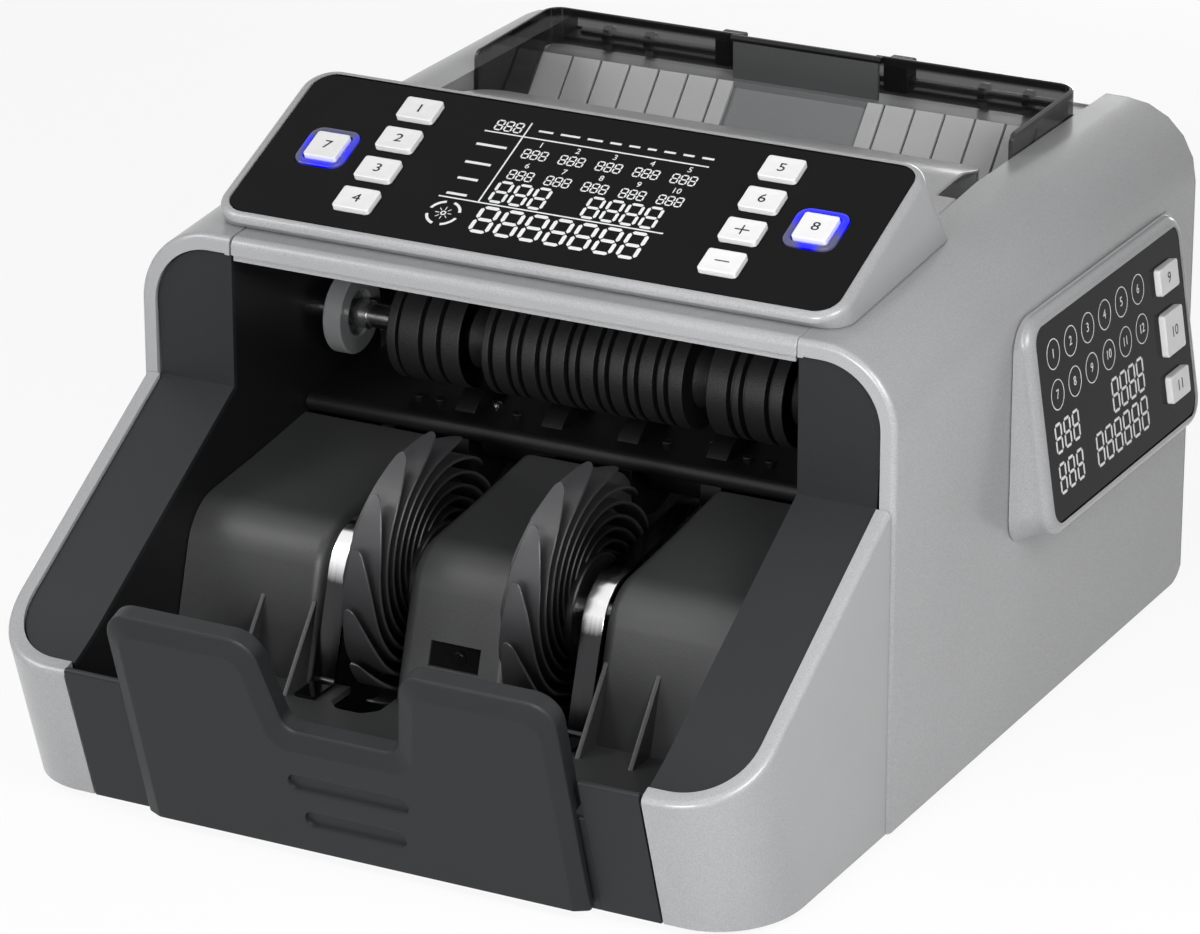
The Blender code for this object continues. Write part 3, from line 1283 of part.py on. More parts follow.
def make_outlet_guide():
    """Sheet under the rollers with a round front bar, windows for the feed wheels and small posts."""
    bar = (GUIDE_FRONT + GUIDE_BAR_RADIUS, GUIDE_TOP - GUIDE_BAR_RADIUS)
    nose = []
    for k in range(2 * ARC_STEPS + 1):
        turn = math.pi / 2 + math.pi * k / (2 * ARC_STEPS)
        nose.append((bar[0] + GUIDE_BAR_RADIUS * math.cos(turn), bar[1] + GUIDE_BAR_RADIUS * math.sin(turn)))
    top = [GUIDE_REAR, (GUIDE_BEND, GUIDE_TOP)]
    bottom = [(bar[0] + GUIDE_BAR_RADIUS, GUIDE_TOP - GUIDE_WALL), (GUIDE_BEND, GUIDE_TOP - GUIDE_WALL)]
    bottom.append((GUIDE_REAR[0], GUIDE_REAR[1] - GUIDE_WALL))
    half = CHANNEL - SEAM
    guide = prism("outlet_guide", "X", top + nose + bottom, -half, half, black_plastic())
    windows = []
    width = LOWER_WHEEL_WIDTH / 2 + OPEN_CLEARANCE
    sink = LOWER_ROLLER_Z + LOWER_WHEEL_RADIUS - GUIDE_TOP + GUIDE_WALL
    chord = math.sqrt(sink * (2 * LOWER_WHEEL_RADIUS - sink)) + OPEN_CLEARANCE
    for side in (-1, 1):
        for place in LOWER_WHEEL_PLACES:
            span = (side * place - width, side * place + width)
            height = (GUIDE_TOP - CUT_OVERRUN, GUIDE_TOP + CUT_OVERRUN)
            windows.append(box_rings(span, (LOWER_ROLLER_Y - chord, LOWER_ROLLER_Y + chord), height))
    cut(guide, lofts("feed_windows", windows, black_plastic()))
    posts = []
    for side in (-1, 1):
        for place in POST_PLACES:
            profile = [(GUIDE_TOP - GUIDE_WALL / 2, POST_FOOT_RADIUS), (GUIDE_TOP + POST_HEIGHT, POST_TOP_RADIUS)]
            posts.append(turned_rings(profile, (side * place, POST_Y), POST_STEPS, "Z"))
    join(guide, lofts("posts", posts, black_plastic()))


def bands(start, length, shares, radius, groove):
    """Profile of raised bands between grooves, as (place, radius)."""
    profile = []
    for first, last in shares:
        a = start + length * first
        b = start + length * last
        profile += [(a, groove), (a, radius), (b, radius), (b, groove)]
    return profile


def cone(start):
    """Profile of the tapered end of a roller group."""
    return [(start, ROLLER_CONE_ROOT), (start + ROLLER_CONE_LENGTH, ROLLER_CONE_TIP)]


def make_upper_sleeves():
    """Ribbed rubber rollers: two short groups beside a long one, each ending in a cone."""
    groove = UPPER_ROLLER_RADIUS - ROLLER_GROOVE
    left = CENTRE_GROUP_START - SIDE_GROUP_GAP - SIDE_GROUP_LENGTH
    right = CENTRE_GROUP_END + SIDE_GROUP_GAP
    pitch = (CENTRE_GROUP_END - CENTRE_GROUP_START + CENTRE_LAST_GAP) / CENTRE_PAIRS
    profile = bands(left, SIDE_GROUP_LENGTH, LEFT_BAND_SHARES, UPPER_ROLLER_RADIUS, groove)
    profile += cone(left + SIDE_GROUP_LENGTH)
    profile.append((CENTRE_GROUP_START, ROLLER_CONE_TIP))
    for k in range(CENTRE_PAIRS):
        start = CENTRE_GROUP_START + pitch * k
        profile += bands(start, pitch, CENTRE_BAND_SHARES, UPPER_ROLLER_RADIUS, groove)
    profile += cone(CENTRE_GROUP_END)
    profile.append((right, ROLLER_CONE_TIP))
    profile += bands(right, SIDE_GROUP_LENGTH, RIGHT_BAND_SHARES, UPPER_ROLLER_RADIUS, groove)
    profile += cone(right + SIDE_GROUP_LENGTH)
    bore = ROLLER_SHAFT_RADIUS + SEAM
    profile += [(right + SIDE_GROUP_LENGTH + ROLLER_CONE_LENGTH, bore), (left, bore)]
    centre = (ROLLER_Y, UPPER_ROLLER_Z)
    sleeves = loft("upper_roller_sleeves", sleeve_rings(profile, centre, ROLLER_STEPS), rubber(), closed=True)
    pivot(sleeves, (0, *centre))


def gear_rings(centre, mate, tooth, low, high):
    """A spur gear along X between two places, with a tooth or a gap facing its mate."""
    facing = math.atan2(mate[1] - centre[1], mate[0] - centre[0])
    pitch_radius = math.dist(centre, mate) / 2
    pitch = 2 * math.pi / GEAR_TEETH
    half = (pitch - GEAR_BACKLASH / pitch_radius) / 4
    outline = []
    for k in range(GEAR_TEETH):
        middle = facing + pitch * (k if tooth else k + 1 / 2)
        for radius, turn in (
            (pitch_radius - GEAR_DEDENDUM, -half * TOOTH_ROOT_SHARE),
            (pitch_radius + GEAR_ADDENDUM, -half * TOOTH_TIP_SHARE),
            (pitch_radius + GEAR_ADDENDUM, half * TOOTH_TIP_SHARE),
            (pitch_radius - GEAR_DEDENDUM, half * TOOTH_ROOT_SHARE),
        ):
            outline.append((centre[0] + radius * math.cos(middle + turn), centre[1] + radius * math.sin(middle + turn)))
    return bar_rings("X", outline, low, high)


def pulley(start, radius):
    """Profile of a belt pulley with a flange on both sides, as (place, radius)."""
    end = start + BELT_WIDTH + 2 * (FLANGE_WIDTH + BELT_SIDE_GAP)
    rim = radius + PULLEY_FLANGE
    profile = [(start, rim), (start + FLANGE_WIDTH, rim), (start + FLANGE_WIDTH, radius)]
    return profile + [(end - FLANGE_WIDTH, radius), (end - FLANGE_WIDTH, rim), (end, rim)]


def make_upper_shaft():
    """Steel shaft of the upper rollers, with its collar and the gear at its left end."""
    centre = (ROLLER_Y, UPPER_ROLLER_Z)
    left = -DRIVE_IN - GEAR_WIDTH
    disc = END_DISC_WALL_GAP - CHANNEL + END_DISC_WIDTH
    profile = [(left - SHAFT_END, ROLLER_SHAFT_RADIUS), (disc, ROLLER_SHAFT_RADIUS), (disc, COLLAR_RADIUS)]
    profile += [(disc + COLLAR_WIDTH, COLLAR_RADIUS), (disc + COLLAR_WIDTH, ROLLER_SHAFT_RADIUS)]
    profile.append((FRAME_OUT + SHAFT_END, ROLLER_SHAFT_RADIUS))
    shaft = loft("upper_roller_shaft", turned_rings(profile, centre, SHAFT_STEPS), bright_steel())
    rings = gear_rings(centre, (LOWER_ROLLER_Y, LOWER_ROLLER_Z), False, left, -DRIVE_IN)
    gear = loft("upper_gear", rings, grey_plastic())
    gear.parent = shaft
    gear.matrix_parent_inverse = Matrix.Translation(-Vector((0, *centre)))
    join(shaft, gear)
    pivot(shaft, (0, *centre))


def make_end_disc():
    """Pale hub with a recess in its face, on the left end of the upper shaft."""
    centre = (ROLLER_Y, UPPER_ROLLER_Z)
    left = END_DISC_WALL_GAP - CHANNEL
    right = left + END_DISC_WIDTH
    bore = ROLLER_SHAFT_RADIUS + SEAM
    profile = [(left, bore), (left, END_DISC_RADIUS), (right, END_DISC_RADIUS), (right, END_DISC_RECESS_RADIUS)]
    profile += [(right - END_DISC_RECESS, END_DISC_RECESS_RADIUS), (right - END_DISC_RECESS, bore)]
    disc = loft("upper_end_disc", sleeve_rings(profile, centre, ROLLER_STEPS), grey_plastic(), closed=True)
    pivot(disc, (0, *centre))


def make_lower_roller():
    """Driven roller: grooved core, four feed wheels, gear on the left and two pulleys on the right."""
    centre = (LOWER_ROLLER_Y, LOWER_ROLLER_Z)
    left = -DRIVE_IN - GEAR_WIDTH
    profile = [(left - SHAFT_END, ROLLER_SHAFT_RADIUS), (-LOWER_CORE_HALF, ROLLER_SHAFT_RADIUS)]
    profile.append((-LOWER_CORE_HALF, LOWER_CORE_RADIUS))
    for place in sorted(side * place for side in (-1, 1) for place in LOWER_WHEEL_PLACES):
        start = place - LOWER_WHEEL_WIDTH / 2
        profile += bands(start, LOWER_WHEEL_WIDTH, WHOLE_SHARES, LOWER_WHEEL_RADIUS, LOWER_CORE_RADIUS)
    profile.append((LOWER_CORE_HALF, LOWER_CORE_RADIUS))
    profile += [(LOWER_CORE_HALF, ROLLER_SHAFT_RADIUS), (DRIVE_IN, ROLLER_SHAFT_RADIUS)]
    profile += pulley(DRIVE_IN, FEED_PULLEY)
    second = DRIVE_OUT + BELT_WIDTH + 2 * BELT_SIDE_GAP
    rim = FEED_PULLEY + PULLEY_FLANGE
    profile += [(DRIVE_OUT, FEED_PULLEY), (second, FEED_PULLEY), (second, rim), (SECOND_OUT, rim)]
    roller = loft("lower_roller", turned_rings(profile, centre, ROLLER_STEPS), rubber())
    rings = gear_rings(centre, (ROLLER_Y, UPPER_ROLLER_Z), True, left, -DRIVE_IN)
    gear = loft("lower_gear", rings, grey_plastic())
    gear.parent = roller
    gear.matrix_parent_inverse = Matrix.Translation(-Vector((0, *centre)))
    join(roller, gear)
    pivot(roller, (0, *centre))


def make_pickup_roller():
    """Roller below the hopper: two tyres that reach through the ramp, and a pulley on the right."""
    profile = [(-FRAME_OUT - SHAFT_END, ROLLER_SHAFT_RADIUS)]
    for side in (-1, 1):
        start = side * PICKUP_TYRE_OFFSET - PICKUP_TYRE_WIDTH / 2
        profile += [(start, ROLLER_SHAFT_RADIUS), (start, PICKUP_RADIUS), (start + PICKUP_TYRE_WIDTH, PICKUP_RADIUS)]
        profile.append((start + PICKUP_TYRE_WIDTH, ROLLER_SHAFT_RADIUS))
    start = DRIVE_OUT - FLANGE_WIDTH
    profile += [(start, ROLLER_SHAFT_RADIUS)] + pulley(start, FEED_PULLEY)
    centre = (PICKUP_Y, PICKUP_Z)
    pivot(loft("pickup_roller", turned_rings(profile, centre, ROLLER_STEPS), rubber()), (0, *centre))


# Stacker


def blade_ring(centre_x, lead, share):
    """Section of a blade at this share of its length: a thin strip across the wheel."""
    root = WHEEL_HUB_RADIUS - BLADE_THICKNESS
    reach = root + (WHEEL_RADIUS - root) * share
    turn = lead + BLADE_SWEEP * (1 - share)
    taper = min(max((share - BLADE_TAPER_SHARE) / (1 - BLADE_TAPER_SHARE), 0), 1)
    near = -BLADE_ROOT_WIDTH / 2 * (1 - taper) + (BLADE_TIP_SHIFT - BLADE_TIP_WIDTH / 2) * taper
    far = BLADE_ROOT_WIDTH / 2 * (1 - taper) + (BLADE_TIP_SHIFT + BLADE_TIP_WIDTH / 2) * taper
    place = (WHEEL_Y - reach * math.cos(turn), WHEEL_Z + reach * math.sin(turn))
    return centre_x + near, centre_x + far, np.array(place)


def blade_rings(centre_x, lead):
    """One curved blade, which trails from the hub and narrows towards its tip."""
    shares = [k / BLADE_STEPS for k in range(BLADE_STEPS + 1)]
    sections = [blade_ring(centre_x, lead, share) for share in shares]
    line = [tuple(section[2]) for section in sections]
    inner = below(line, BLADE_THICKNESS)
    rings = []
    for (near, far, _), (y, z), (v, w) in zip(sections, line, inner):
        rings.append([(near, y, z), (far, y, z), (far, v, w), (near, v, w)])
    return rings


def make_stacker_wheel(side):
    """Hub with curved blades, bored for the shaft."""
    centre = (WHEEL_Y, WHEEL_Z)
    middle = side * WHEEL_OFFSET
    low = middle - WHEEL_HUB_WIDTH / 2
    high = middle + WHEEL_HUB_WIDTH / 2
    bore = STACKER_SHAFT_RADIUS + SEAM
    profile = [(low, bore), (low, WHEEL_HUB_RADIUS), (high, WHEEL_HUB_RADIUS), (high, bore)]
    wheel = loft(side_name(side, "stacker_wheel"), sleeve_rings(profile, centre, HUB_STEPS), dark_plastic(), closed=True)
    pitch = 2 * math.pi / BLADES
    blades = [blade_rings(middle, BLADE_PHASE + pitch * k) for k in range(BLADES)]
    helper = lofts(side_name(side, "blades"), blades, dark_plastic())
    join(wheel, helper)
    helper.parent = wheel
    helper.matrix_parent_inverse = Matrix.Translation(-Vector((middle, *centre)))
    pivot(wheel, (middle, *centre))


def make_stacker_shaft():
    centre = (WHEEL_Y, WHEEL_Z)
    profile = [(-FRAME_OUT - SHAFT_END, STACKER_SHAFT_RADIUS), (DRIVE_IN, STACKER_SHAFT_RADIUS)]
    profile += pulley(DRIVE_IN, STACKER_PULLEY)
    pivot(loft("stacker_shaft", turned_rings(profile, centre, SHAFT_STEPS), bright_steel()), (0, *centre))


# Motor and belts


def make_motor():
    """Round motor on the right side frame, its nose bored for the pulley's spindle."""
    face = FRAME_IN - SEAM
    back = face - MOTOR_LENGTH
    nose = FRAME_OUT + FRAME_WALL / 2
    bore = MOTOR_SHAFT_RADIUS + RUN_CLEARANCE
    edge = MOTOR_RADIUS - FRAME_WALL
    profile = [(back, edge), (back + FRAME_WALL, MOTOR_RADIUS), (face - FRAME_WALL, MOTOR_RADIUS), (face, edge)]
    profile += [(face, MOTOR_NOSE_RADIUS), (nose, MOTOR_NOSE_RADIUS), (nose, bore), (face, bore)]
    loft("drive_motor", turned_rings(profile, (MOTOR_Y, MOTOR_Z), SHAFT_STEPS), sheet_steel())


def make_motor_pulley():
    centre = (MOTOR_Y, MOTOR_Z)
    profile = [(FRAME_IN, MOTOR_SHAFT_RADIUS), (DRIVE_IN, MOTOR_SHAFT_RADIUS)] + pulley(DRIVE_IN, MOTOR_PULLEY_RADIUS)
    pivot(loft("motor_pulley", turned_rings(profile, centre, SHAFT_STEPS), grey_plastic()), (0, *centre))


def belt_rings(pulleys, start):
    """A belt round pulleys given counter-clockwise as (centre, radius), seen from the right."""
    low = start + FLANGE_WIDTH + BELT_SIDE_GAP
    high = low + BELT_WIDTH
    leaving = []
    for i, (centre, radius) in enumerate(pulleys):
        ahead, other = pulleys[(i + 1) % len(pulleys)]
        run = np.array(ahead) - np.array(centre)
        heading = math.atan2(run[1], run[0]) - math.pi / 2
        leaving.append(heading + math.asin((radius - other) / np.linalg.norm(run)))
    rings = []
    for i, (centre, radius) in enumerate(pulleys):
        begin = leaving[i - 1]
        sweep = (leaving[i] - begin) % (2 * math.pi)
        for k in range(BELT_STEPS + 1):
            turn = begin + sweep * k / BELT_STEPS
            near = (radius + SEAM) / math.cos(sweep / BELT_STEPS / 2)
            far = near + BELT_THICKNESS
            spoke = (math.cos(turn), math.sin(turn))
            inner = (centre[0] + near * spoke[0], centre[1] + near * spoke[1])
            outer = (centre[0] + far * spoke[0], centre[1] + far * spoke[1])
            rings.append([(low, *inner), (high, *inner), (high, *outer), (low, *outer)])
    return rings


def make_belts():
    main = [((WHEEL_Y, WHEEL_Z), STACKER_PULLEY), ((MOTOR_Y, MOTOR_Z), MOTOR_PULLEY_RADIUS)]
    main.append(((LOWER_ROLLER_Y, LOWER_ROLLER_Z), FEED_PULLEY))
    loft("drive_belt", belt_rings(main, DRIVE_IN), rubber(), closed=True)
    feed = [((LOWER_ROLLER_Y, LOWER_ROLLER_Z), FEED_PULLEY), ((PICKUP_Y, PICKUP_Z), FEED_PULLEY)]
    loft("pickup_belt", belt_rings(feed, DRIVE_OUT - FLANGE_WIDTH), rubber(), closed=True)


# Hopper, note guides and rear face


def ramp_slab(x_span, middle, half, above, under):
    """A slab along the ramp about a point at this depth into the machine, between two depths."""
    along = np.array((math.cos(RAMP_ANGLE), math.sin(RAMP_ANGLE)))
    up = np.array((-along[1], along[0]))
    point = np.array((middle, ramp_height(middle)))
    outline = [point + along * a + up * b for a, b in ((-half, -under), (half, -under), (half, above), (-half, above))]
    return bar_rings("X", [tuple(corner) for corner in outline], *x_span)


def make_hopper_ramp():
    """Ramp with grooves, a sunk middle with two windows, a shelf and the middle back plate."""
    half = CHANNEL - SEAM
    path = [(RAMP_LOW, ramp_height(RAMP_LOW)), RAMP_TOP, (SHELF_REAR, RAMP_TOP[1])]
    ramp = prism("hopper_ramp", "X", sheet_outline(path, RAMP_WALL), -half, half, grey_plastic())
    middle = RAMP_TOP[0] - RAMP_RUN / 2
    reach = RAMP_RUN
    cuts = [ramp_slab((-RECESS_HALF, RECESS_HALF), middle - RECESS_DEPTH, RECESS_REACH, CUT_OVERRUN, RECESS_DEPTH)]
    for side in (-1, 1):
        for k in range(GROOVES):
            x = side * (GROOVE_FIRST + GROOVE_PITCH * k)
            span = (x - GROOVE_WIDTH / 2, x + GROOVE_WIDTH / 2)
            cuts.append(ramp_slab(span, middle, reach, CUT_OVERRUN, GROOVE_DEPTH))
    cut(ramp, lofts("ramp_grooves", cuts, black_plastic()))
    windows = []
    nearest = PICKUP_Y - (ramp_height(PICKUP_Y) - PICKUP_Z) * math.cos(RAMP_ANGLE) * math.sin(RAMP_ANGLE)
    for side in (-1, 1):
        x = side * PICKUP_TYRE_OFFSET
        width = PICKUP_TYRE_WIDTH / 2 + OPEN_CLEARANCE
        windows.append(ramp_slab((x - width, x + width), nearest, PICKUP_RADIUS, CUT_OVERRUN, CUT_OVERRUN))
    cut(ramp, lofts("tyre_windows", windows, black_plastic()))
    span = (BACK_PLATE_FRONT, BACK_PLATE_FRONT + BACK_PLATE_WALL)
    plate = box_rings((-RECESS_HALF, RECESS_HALF), span, (RAMP_TOP[1] - RAMP_WALL / 2, BACK_PLATE_TOP))
    join(ramp, loft("back_plate", plate, grey_plastic()))


def guide_profile():
    """Side outline of a note guide: upper edge, rear edge, and a lower edge that follows the ramp."""
    lift = GUIDE_LIFT
    rear = GUIDE_BACK_Y + CUT_OVERRUN
    foot = RAMP_TOP[0] - (RAMP_TOP[1] + lift - GUIDE_WING_LOW) / math.tan(RAMP_ANGLE)
    corners = [(GUIDE_WING_FRONT, GUIDE_WING_LOW), (foot, GUIDE_WING_LOW), (RAMP_TOP[0], RAMP_TOP[1] + lift)]
    corners += [(rear, RAMP_TOP[1] + lift), (rear, GUIDE_BACK_TOP), (GUIDE_BACK_Y, GUIDE_BACK_TOP)]
    corners.append((GUIDE_WING_FRONT, GUIDE_WING_TOP))
    return rounded(corners, [0, 0, 0, 0, 0, 0, GUIDE_CREST_ROUND])


def make_guide_wing(side):
    """Smoked side and rear wall of a note guide, bent round the hopper's corner."""
    corners = [(GUIDE_OUTER, GUIDE_WING_FRONT), (GUIDE_OUTER, GUIDE_BACK_Y), (GUIDE_INNER, GUIDE_BACK_Y)]
    path = rounded(corners, [0, GUIDE_CORNER, 0])
    outline = sheet_outline(path[::-1], GUIDE_SHEET)
    span = (GUIDE_WING_LOW - CUT_OVERRUN, GUIDE_BACK_TOP + CUT_OVERRUN)
    rings = flipped(bar_rings("Z", outline, *span), side)
    wing = loft(side_name(side, "guide_wing"), rings, smoked_plastic())
    across_span = (GUIDE_INNER - CUT_OVERRUN, GUIDE_OUTER + CUT_OVERRUN)
    profile = flipped(bar_rings("X", guide_profile(), *across_span), side)
    combine(wing, loft(side_name(side, "wing_profile"), profile, smoked_plastic()), "INTERSECT")


def make_guide_block(side):
    """Opaque block that carries the guide on the rail."""
    near = GUIDE_INNER + BLOCK_INSET
    rings = box_rings((near, near + BLOCK_WIDTH), (GUIDE_BACK_Y + SEAM, BLOCK_REAR), (BLOCK_LOW, BLOCK_HIGH))
    block = loft(side_name(side, "guide_block"), flipped(rings, side), black_plastic())
    places = [((RAIL_Y, RAIL_Z), RAIL_RADIUS + RUN_CLEARANCE)]
    low, high = sorted((side * (near - CUT_OVERRUN), side * (near + BLOCK_WIDTH + CUT_OVERRUN)))
    cut(block, axle_holes(side_name(side, "block_bore"), places, low, high))


def make_guide_rail():
    """Steel rod with paired bosses, each on a post that stands on the hopper's shelf."""
    profile = [(-RAIL_HALF, RAIL_RADIUS)]
    places = sorted(side * (RAIL_HALF - inset) for side in (-1, 1) for inset in RAIL_BOSS_INSETS)
    for place in places:
        for edge, radius in ((-1, RAIL_RADIUS), (-1, RAIL_BOSS_RADIUS), (1, RAIL_BOSS_RADIUS), (1, RAIL_RADIUS)):
            profile.append((place + edge * RAIL_BOSS_WIDTH / 2, radius))
    profile.append((RAIL_HALF, RAIL_RADIUS))
    rail = loft("guide_rail", turned_rings(profile, (RAIL_Y, RAIL_Z), RAIL_STEPS), bright_steel())
    posts = []
    for place in places:
        span = (place - RAIL_POST_WIDTH / 2, place + RAIL_POST_WIDTH / 2)
        depth = (RAIL_Y - RAIL_POST_WIDTH / 2, RAIL_Y + RAIL_POST_WIDTH / 2)
        posts.append(box_rings(span, depth, (RAMP_TOP[1] + SEAM, RAIL_Z)))
    join(rail, lofts("rail_posts", posts, bright_steel()))


def rear_outline(shrink):
    """Outline of the rear cover, with its top stepped down between the shoulders."""
    outline = []
    centre = (HALF - COVER_RADIUS, ROOF_HEIGHT - COVER_RADIUS)
    radius = COVER_RADIUS - shrink
    outline.append((HALF - shrink, REAR_CURL))
    for turn in corner_turns():
        outline.append((centre[0] + radius * math.cos(turn), centre[1] + radius * math.sin(turn)))
    outline.append((CHANNEL + shrink, ROOF_HEIGHT - shrink))
    outline.append((CHANNEL + shrink, DECK_TOP - shrink))
    return outline + [(-x, z) for x, z in outline[::-1]]


def make_rear_cover():
    """Rear wall with a deck behind the hopper, vents and openings for inlet, switch and thumb wheel."""
    rings = []
    low = {0: rear_curl(REAR_INSIDE), 1: rear_curl(BODY_DEPTH - EDGE_ROUND), 2: REAR_CURL}
    for k, (y, shrink) in enumerate(((REAR_INSIDE, 0), (BODY_DEPTH - EDGE_ROUND, 0), (BODY_DEPTH, EDGE_ROUND))):
        outline = rear_outline(shrink)
        outline[0] = (outline[0][0], low[k])
        outline[-1] = (outline[-1][0], low[k])
        rings.append(across("Y", outline, y))
    cover = loft("rear_cover", rings, silver_paint())
    half = CHANNEL - SEAM
    depth = (SHELF_REAR + 2 * SEAM, REAR_INSIDE + SEAM)
    deck = box_rings((-half, half), depth, (DECK_TOP - COVER_WALL, DECK_TOP - EDGE_ROUND / 3))
    join(cover, loft("rear_deck", deck, silver_paint()))
    ears = []
    for side in (-1, 1):
        near = KNOB_LENGTH / 2 + OPEN_CLEARANCE
        span = sorted((side * near, side * (near + EAR_WALL)))
        depth = (KNOB_Y - EAR_REACH, REAR_INSIDE + SEAM)
        ears.append(box_rings(span, depth, (KNOB_HEIGHT - EAR_REACH, KNOB_HEIGHT + EAR_REACH)))
    join(cover, lofts("knob_ears", ears, silver_paint()))
    deep = (REAR_INSIDE - CUT_OVERRUN, BODY_DEPTH + CUT_OVERRUN)
    cuts = []
    for k in range(VENTS):
        x = VENT_PLACE[0] + VENT_PITCH * (k - (VENTS - 1) / 2)
        shape = rounded_box(VENT_WIDTH / 2, VENT_HEIGHT / 2, VENT_WIDTH / 2 - SEAM, 2, (x, VENT_PLACE[1]))
        cuts.append(bar_rings("Y", shape, *deep))
    inlet = rounded_box(INLET_WIDTH / 2 + SEAM, INLET_HEIGHT / 2 + SEAM, INLET_RADIUS, 2, INLET_PLACE)
    cuts.append(bar_rings("Y", inlet, *deep))
    gap = SWITCH_CLEARANCE
    hole = rounded_box(SWITCH_WIDTH / 2 + SEAM, SWITCH_HEIGHT / 2 + gap, gap, 1, SWITCH_PLACE)
    cuts.append(bar_rings("Y", hole, *deep))
    cut(cover, lofts("rear_openings", cuts, black_plastic()))
    rise = math.sqrt(KNOB_RADIUS**2 - (REAR_INSIDE - KNOB_Y) ** 2) + OPEN_CLEARANCE
    width = KNOB_LENGTH / 2 + SWITCH_CLEARANCE
    slot = bar_rings("Y", rounded_box(width, rise, gap, 1, (0, KNOB_HEIGHT)), REAR_INSIDE - SEAM, deep[1])
    cut(cover, loft("knob_slot", slot, black_plastic()))
    wide = KNOB_LENGTH / 2 + OPEN_CLEARANCE + EAR_WALL + CUT_OVERRUN
    places = [((KNOB_Y, KNOB_HEIGHT), KNOB_STEM_RADIUS + RUN_CLEARANCE)]
    cut(cover, axle_holes("knob_bore", places, -wide, wide))


def make_knob():
    """Ridged thumb wheel that sets the feed gap, on two stems."""
    outline = []
    for k in range(KNOB_RIDGES * 2):
        turn = math.pi * k / KNOB_RIDGES
        radius = KNOB_RADIUS - (KNOB_GRIP if k % 2 else 0)
        outline.append((KNOB_Y + radius * math.cos(turn), KNOB_HEIGHT + radius * math.sin(turn)))
    half = KNOB_LENGTH / 2
    knob = prism("gap_knob", "X", outline, -half, half, grey_plastic())
    reach = half + OPEN_CLEARANCE + EAR_WALL + SHAFT_END
    stems = turned_rings([(-reach, KNOB_STEM_RADIUS), (reach, KNOB_STEM_RADIUS)], (KNOB_Y, KNOB_HEIGHT), HOLE_STEPS)
    helper = loft("knob_stems", stems, grey_plastic())
    helper.parent = knob
    helper.matrix_parent_inverse = Matrix.Translation(-Vector((0, KNOB_Y, KNOB_HEIGHT)))
    join(knob, helper)
    pivot(knob, (0, KNOB_Y, KNOB_HEIGHT))


def make_inlet():
    """Mains inlet: a flange on the rear face, a deep socket and its three pins."""
    x, z = INLET_PLACE
    front = BODY_DEPTH + SEAM
    flange = rounded_box(INLET_WIDTH / 2 + INLET_FLANGE, INLET_HEIGHT / 2 + INLET_FLANGE, INLET_RADIUS, 2, INLET_PLACE)
    body = rounded_box(INLET_WIDTH / 2, INLET_HEIGHT / 2, INLET_RADIUS, 2, INLET_PLACE)
    hollow = (INLET_WIDTH / 2 - INLET_WALL, INLET_HEIGHT / 2 - INLET_WALL)
    well = rounded_box(*hollow, INLET_RADIUS - INLET_WALL / 2, 2, INLET_PLACE)
    deep = front - INLET_DEPTH
    levels = [(body, deep), (body, front), (flange, front), (flange, front + INLET_FLANGE_HEIGHT)]
    levels += [(well, front + INLET_FLANGE_HEIGHT), (well, deep + INLET_WALL)]
    inlet = loft("power_inlet", [across("Y", outline, y) for outline, y in levels], black_plastic())
    pins = []
    for column, drop in ((-1, -PIN_DROP), (0, PIN_DROP), (1, -PIN_DROP)):
        shape = rounded_box(PIN_THICKNESS / 2, PIN_HEIGHT / 2, PIN_THICKNESS / 3, 1, (x + column * PIN_PITCH, z + drop))
        pins.append(bar_rings("Y", shape, deep + INLET_WALL / 2, front - INLET_WALL))
    join(inlet, lofts("inlet_pins", pins, bright_steel()))


def make_switch():
    """Rocker with two sloping faces, which turns about its middle."""
    x, z = SWITCH_PLACE
    y = BODY_DEPTH - COVER_WALL / 2
    half = SWITCH_HEIGHT / 2
    face = COVER_WALL / 2 + SWITCH_DISH
    outline = [(y - SWITCH_DEPTH, z - half / 2), (y - SWITCH_DEPTH, z + half / 2), (y - COVER_WALL, z + half)]
    outline += [(y + face + SWITCH_DISH, z + half), (y + face, z), (y + face + SWITCH_DISH, z - half)]
    outline.append((y - COVER_WALL, z - half))
    rocker = prism("power_switch", "X", outline, x - SWITCH_WIDTH / 2, x + SWITCH_WIDTH / 2, black_plastic())
    pivot(rocker, (x, y, z)).rotation_euler.x = -SWITCH_ROCK


def make_body():
    make_base_pan()
    make_feet()
    make_pocket_tray()
    make_stop_plate()
    for side in (-1, 1):
        make_side_frame(side)
        make_guide_strip(side)
        make_cheek_panel(side)
        make_side_cover(side)
        make_front_cover(side)
    make_bridge_hood()
    make_outlet_guide()
    make_rear_cover()
    make_inlet()
    make_switch()
    make_knob()


def make_controls():
    panel = seat("panel_seat", (0, *GLASS_FOOT), (GLASS_SLOPE, 0, 0))
    make_panel_housing(panel)
    make_panel_glass(panel)
    make_panel_keys(panel)
    for side in (-1, 1):
        make_key_ring(side, panel)
    pod = seat("pod_seat", POD_CENTRE, (math.pi / 2 - POD_TILT, 0, math.pi / 2))
    make_pod_bezel(pod)
    make_pod_glass(pod)
    make_pod_keys(pod)


def make_mechanism():
    make_stacker_shaft()
    make_upper_shaft()
    make_upper_sleeves()
    make_end_disc()
    make_lower_roller()
    make_pickup_roller()
    make_motor()
    make_motor_pulley()
    make_belts()
    for side in (-1, 1):
        make_stacker_wheel(side)


def make_hopper():
    make_hopper_ramp()
    make_guide_rail()
    for side in (-1, 1):
        make_guide_wing(side)
        make_guide_block(side)


def ground_middle():
    """Middle of the finished object across and along, in the working frame."""
    bpy.context.view_layer.update()
    shown = [piece for piece in bpy.data.objects if piece.type == "MESH" and not piece.hide_render]
    points = np.array([piece.matrix_world @ vertex.co for piece in shown for vertex in piece.data.vertices])
    return (points.min(axis=0) + points.max(axis=0)) / 2


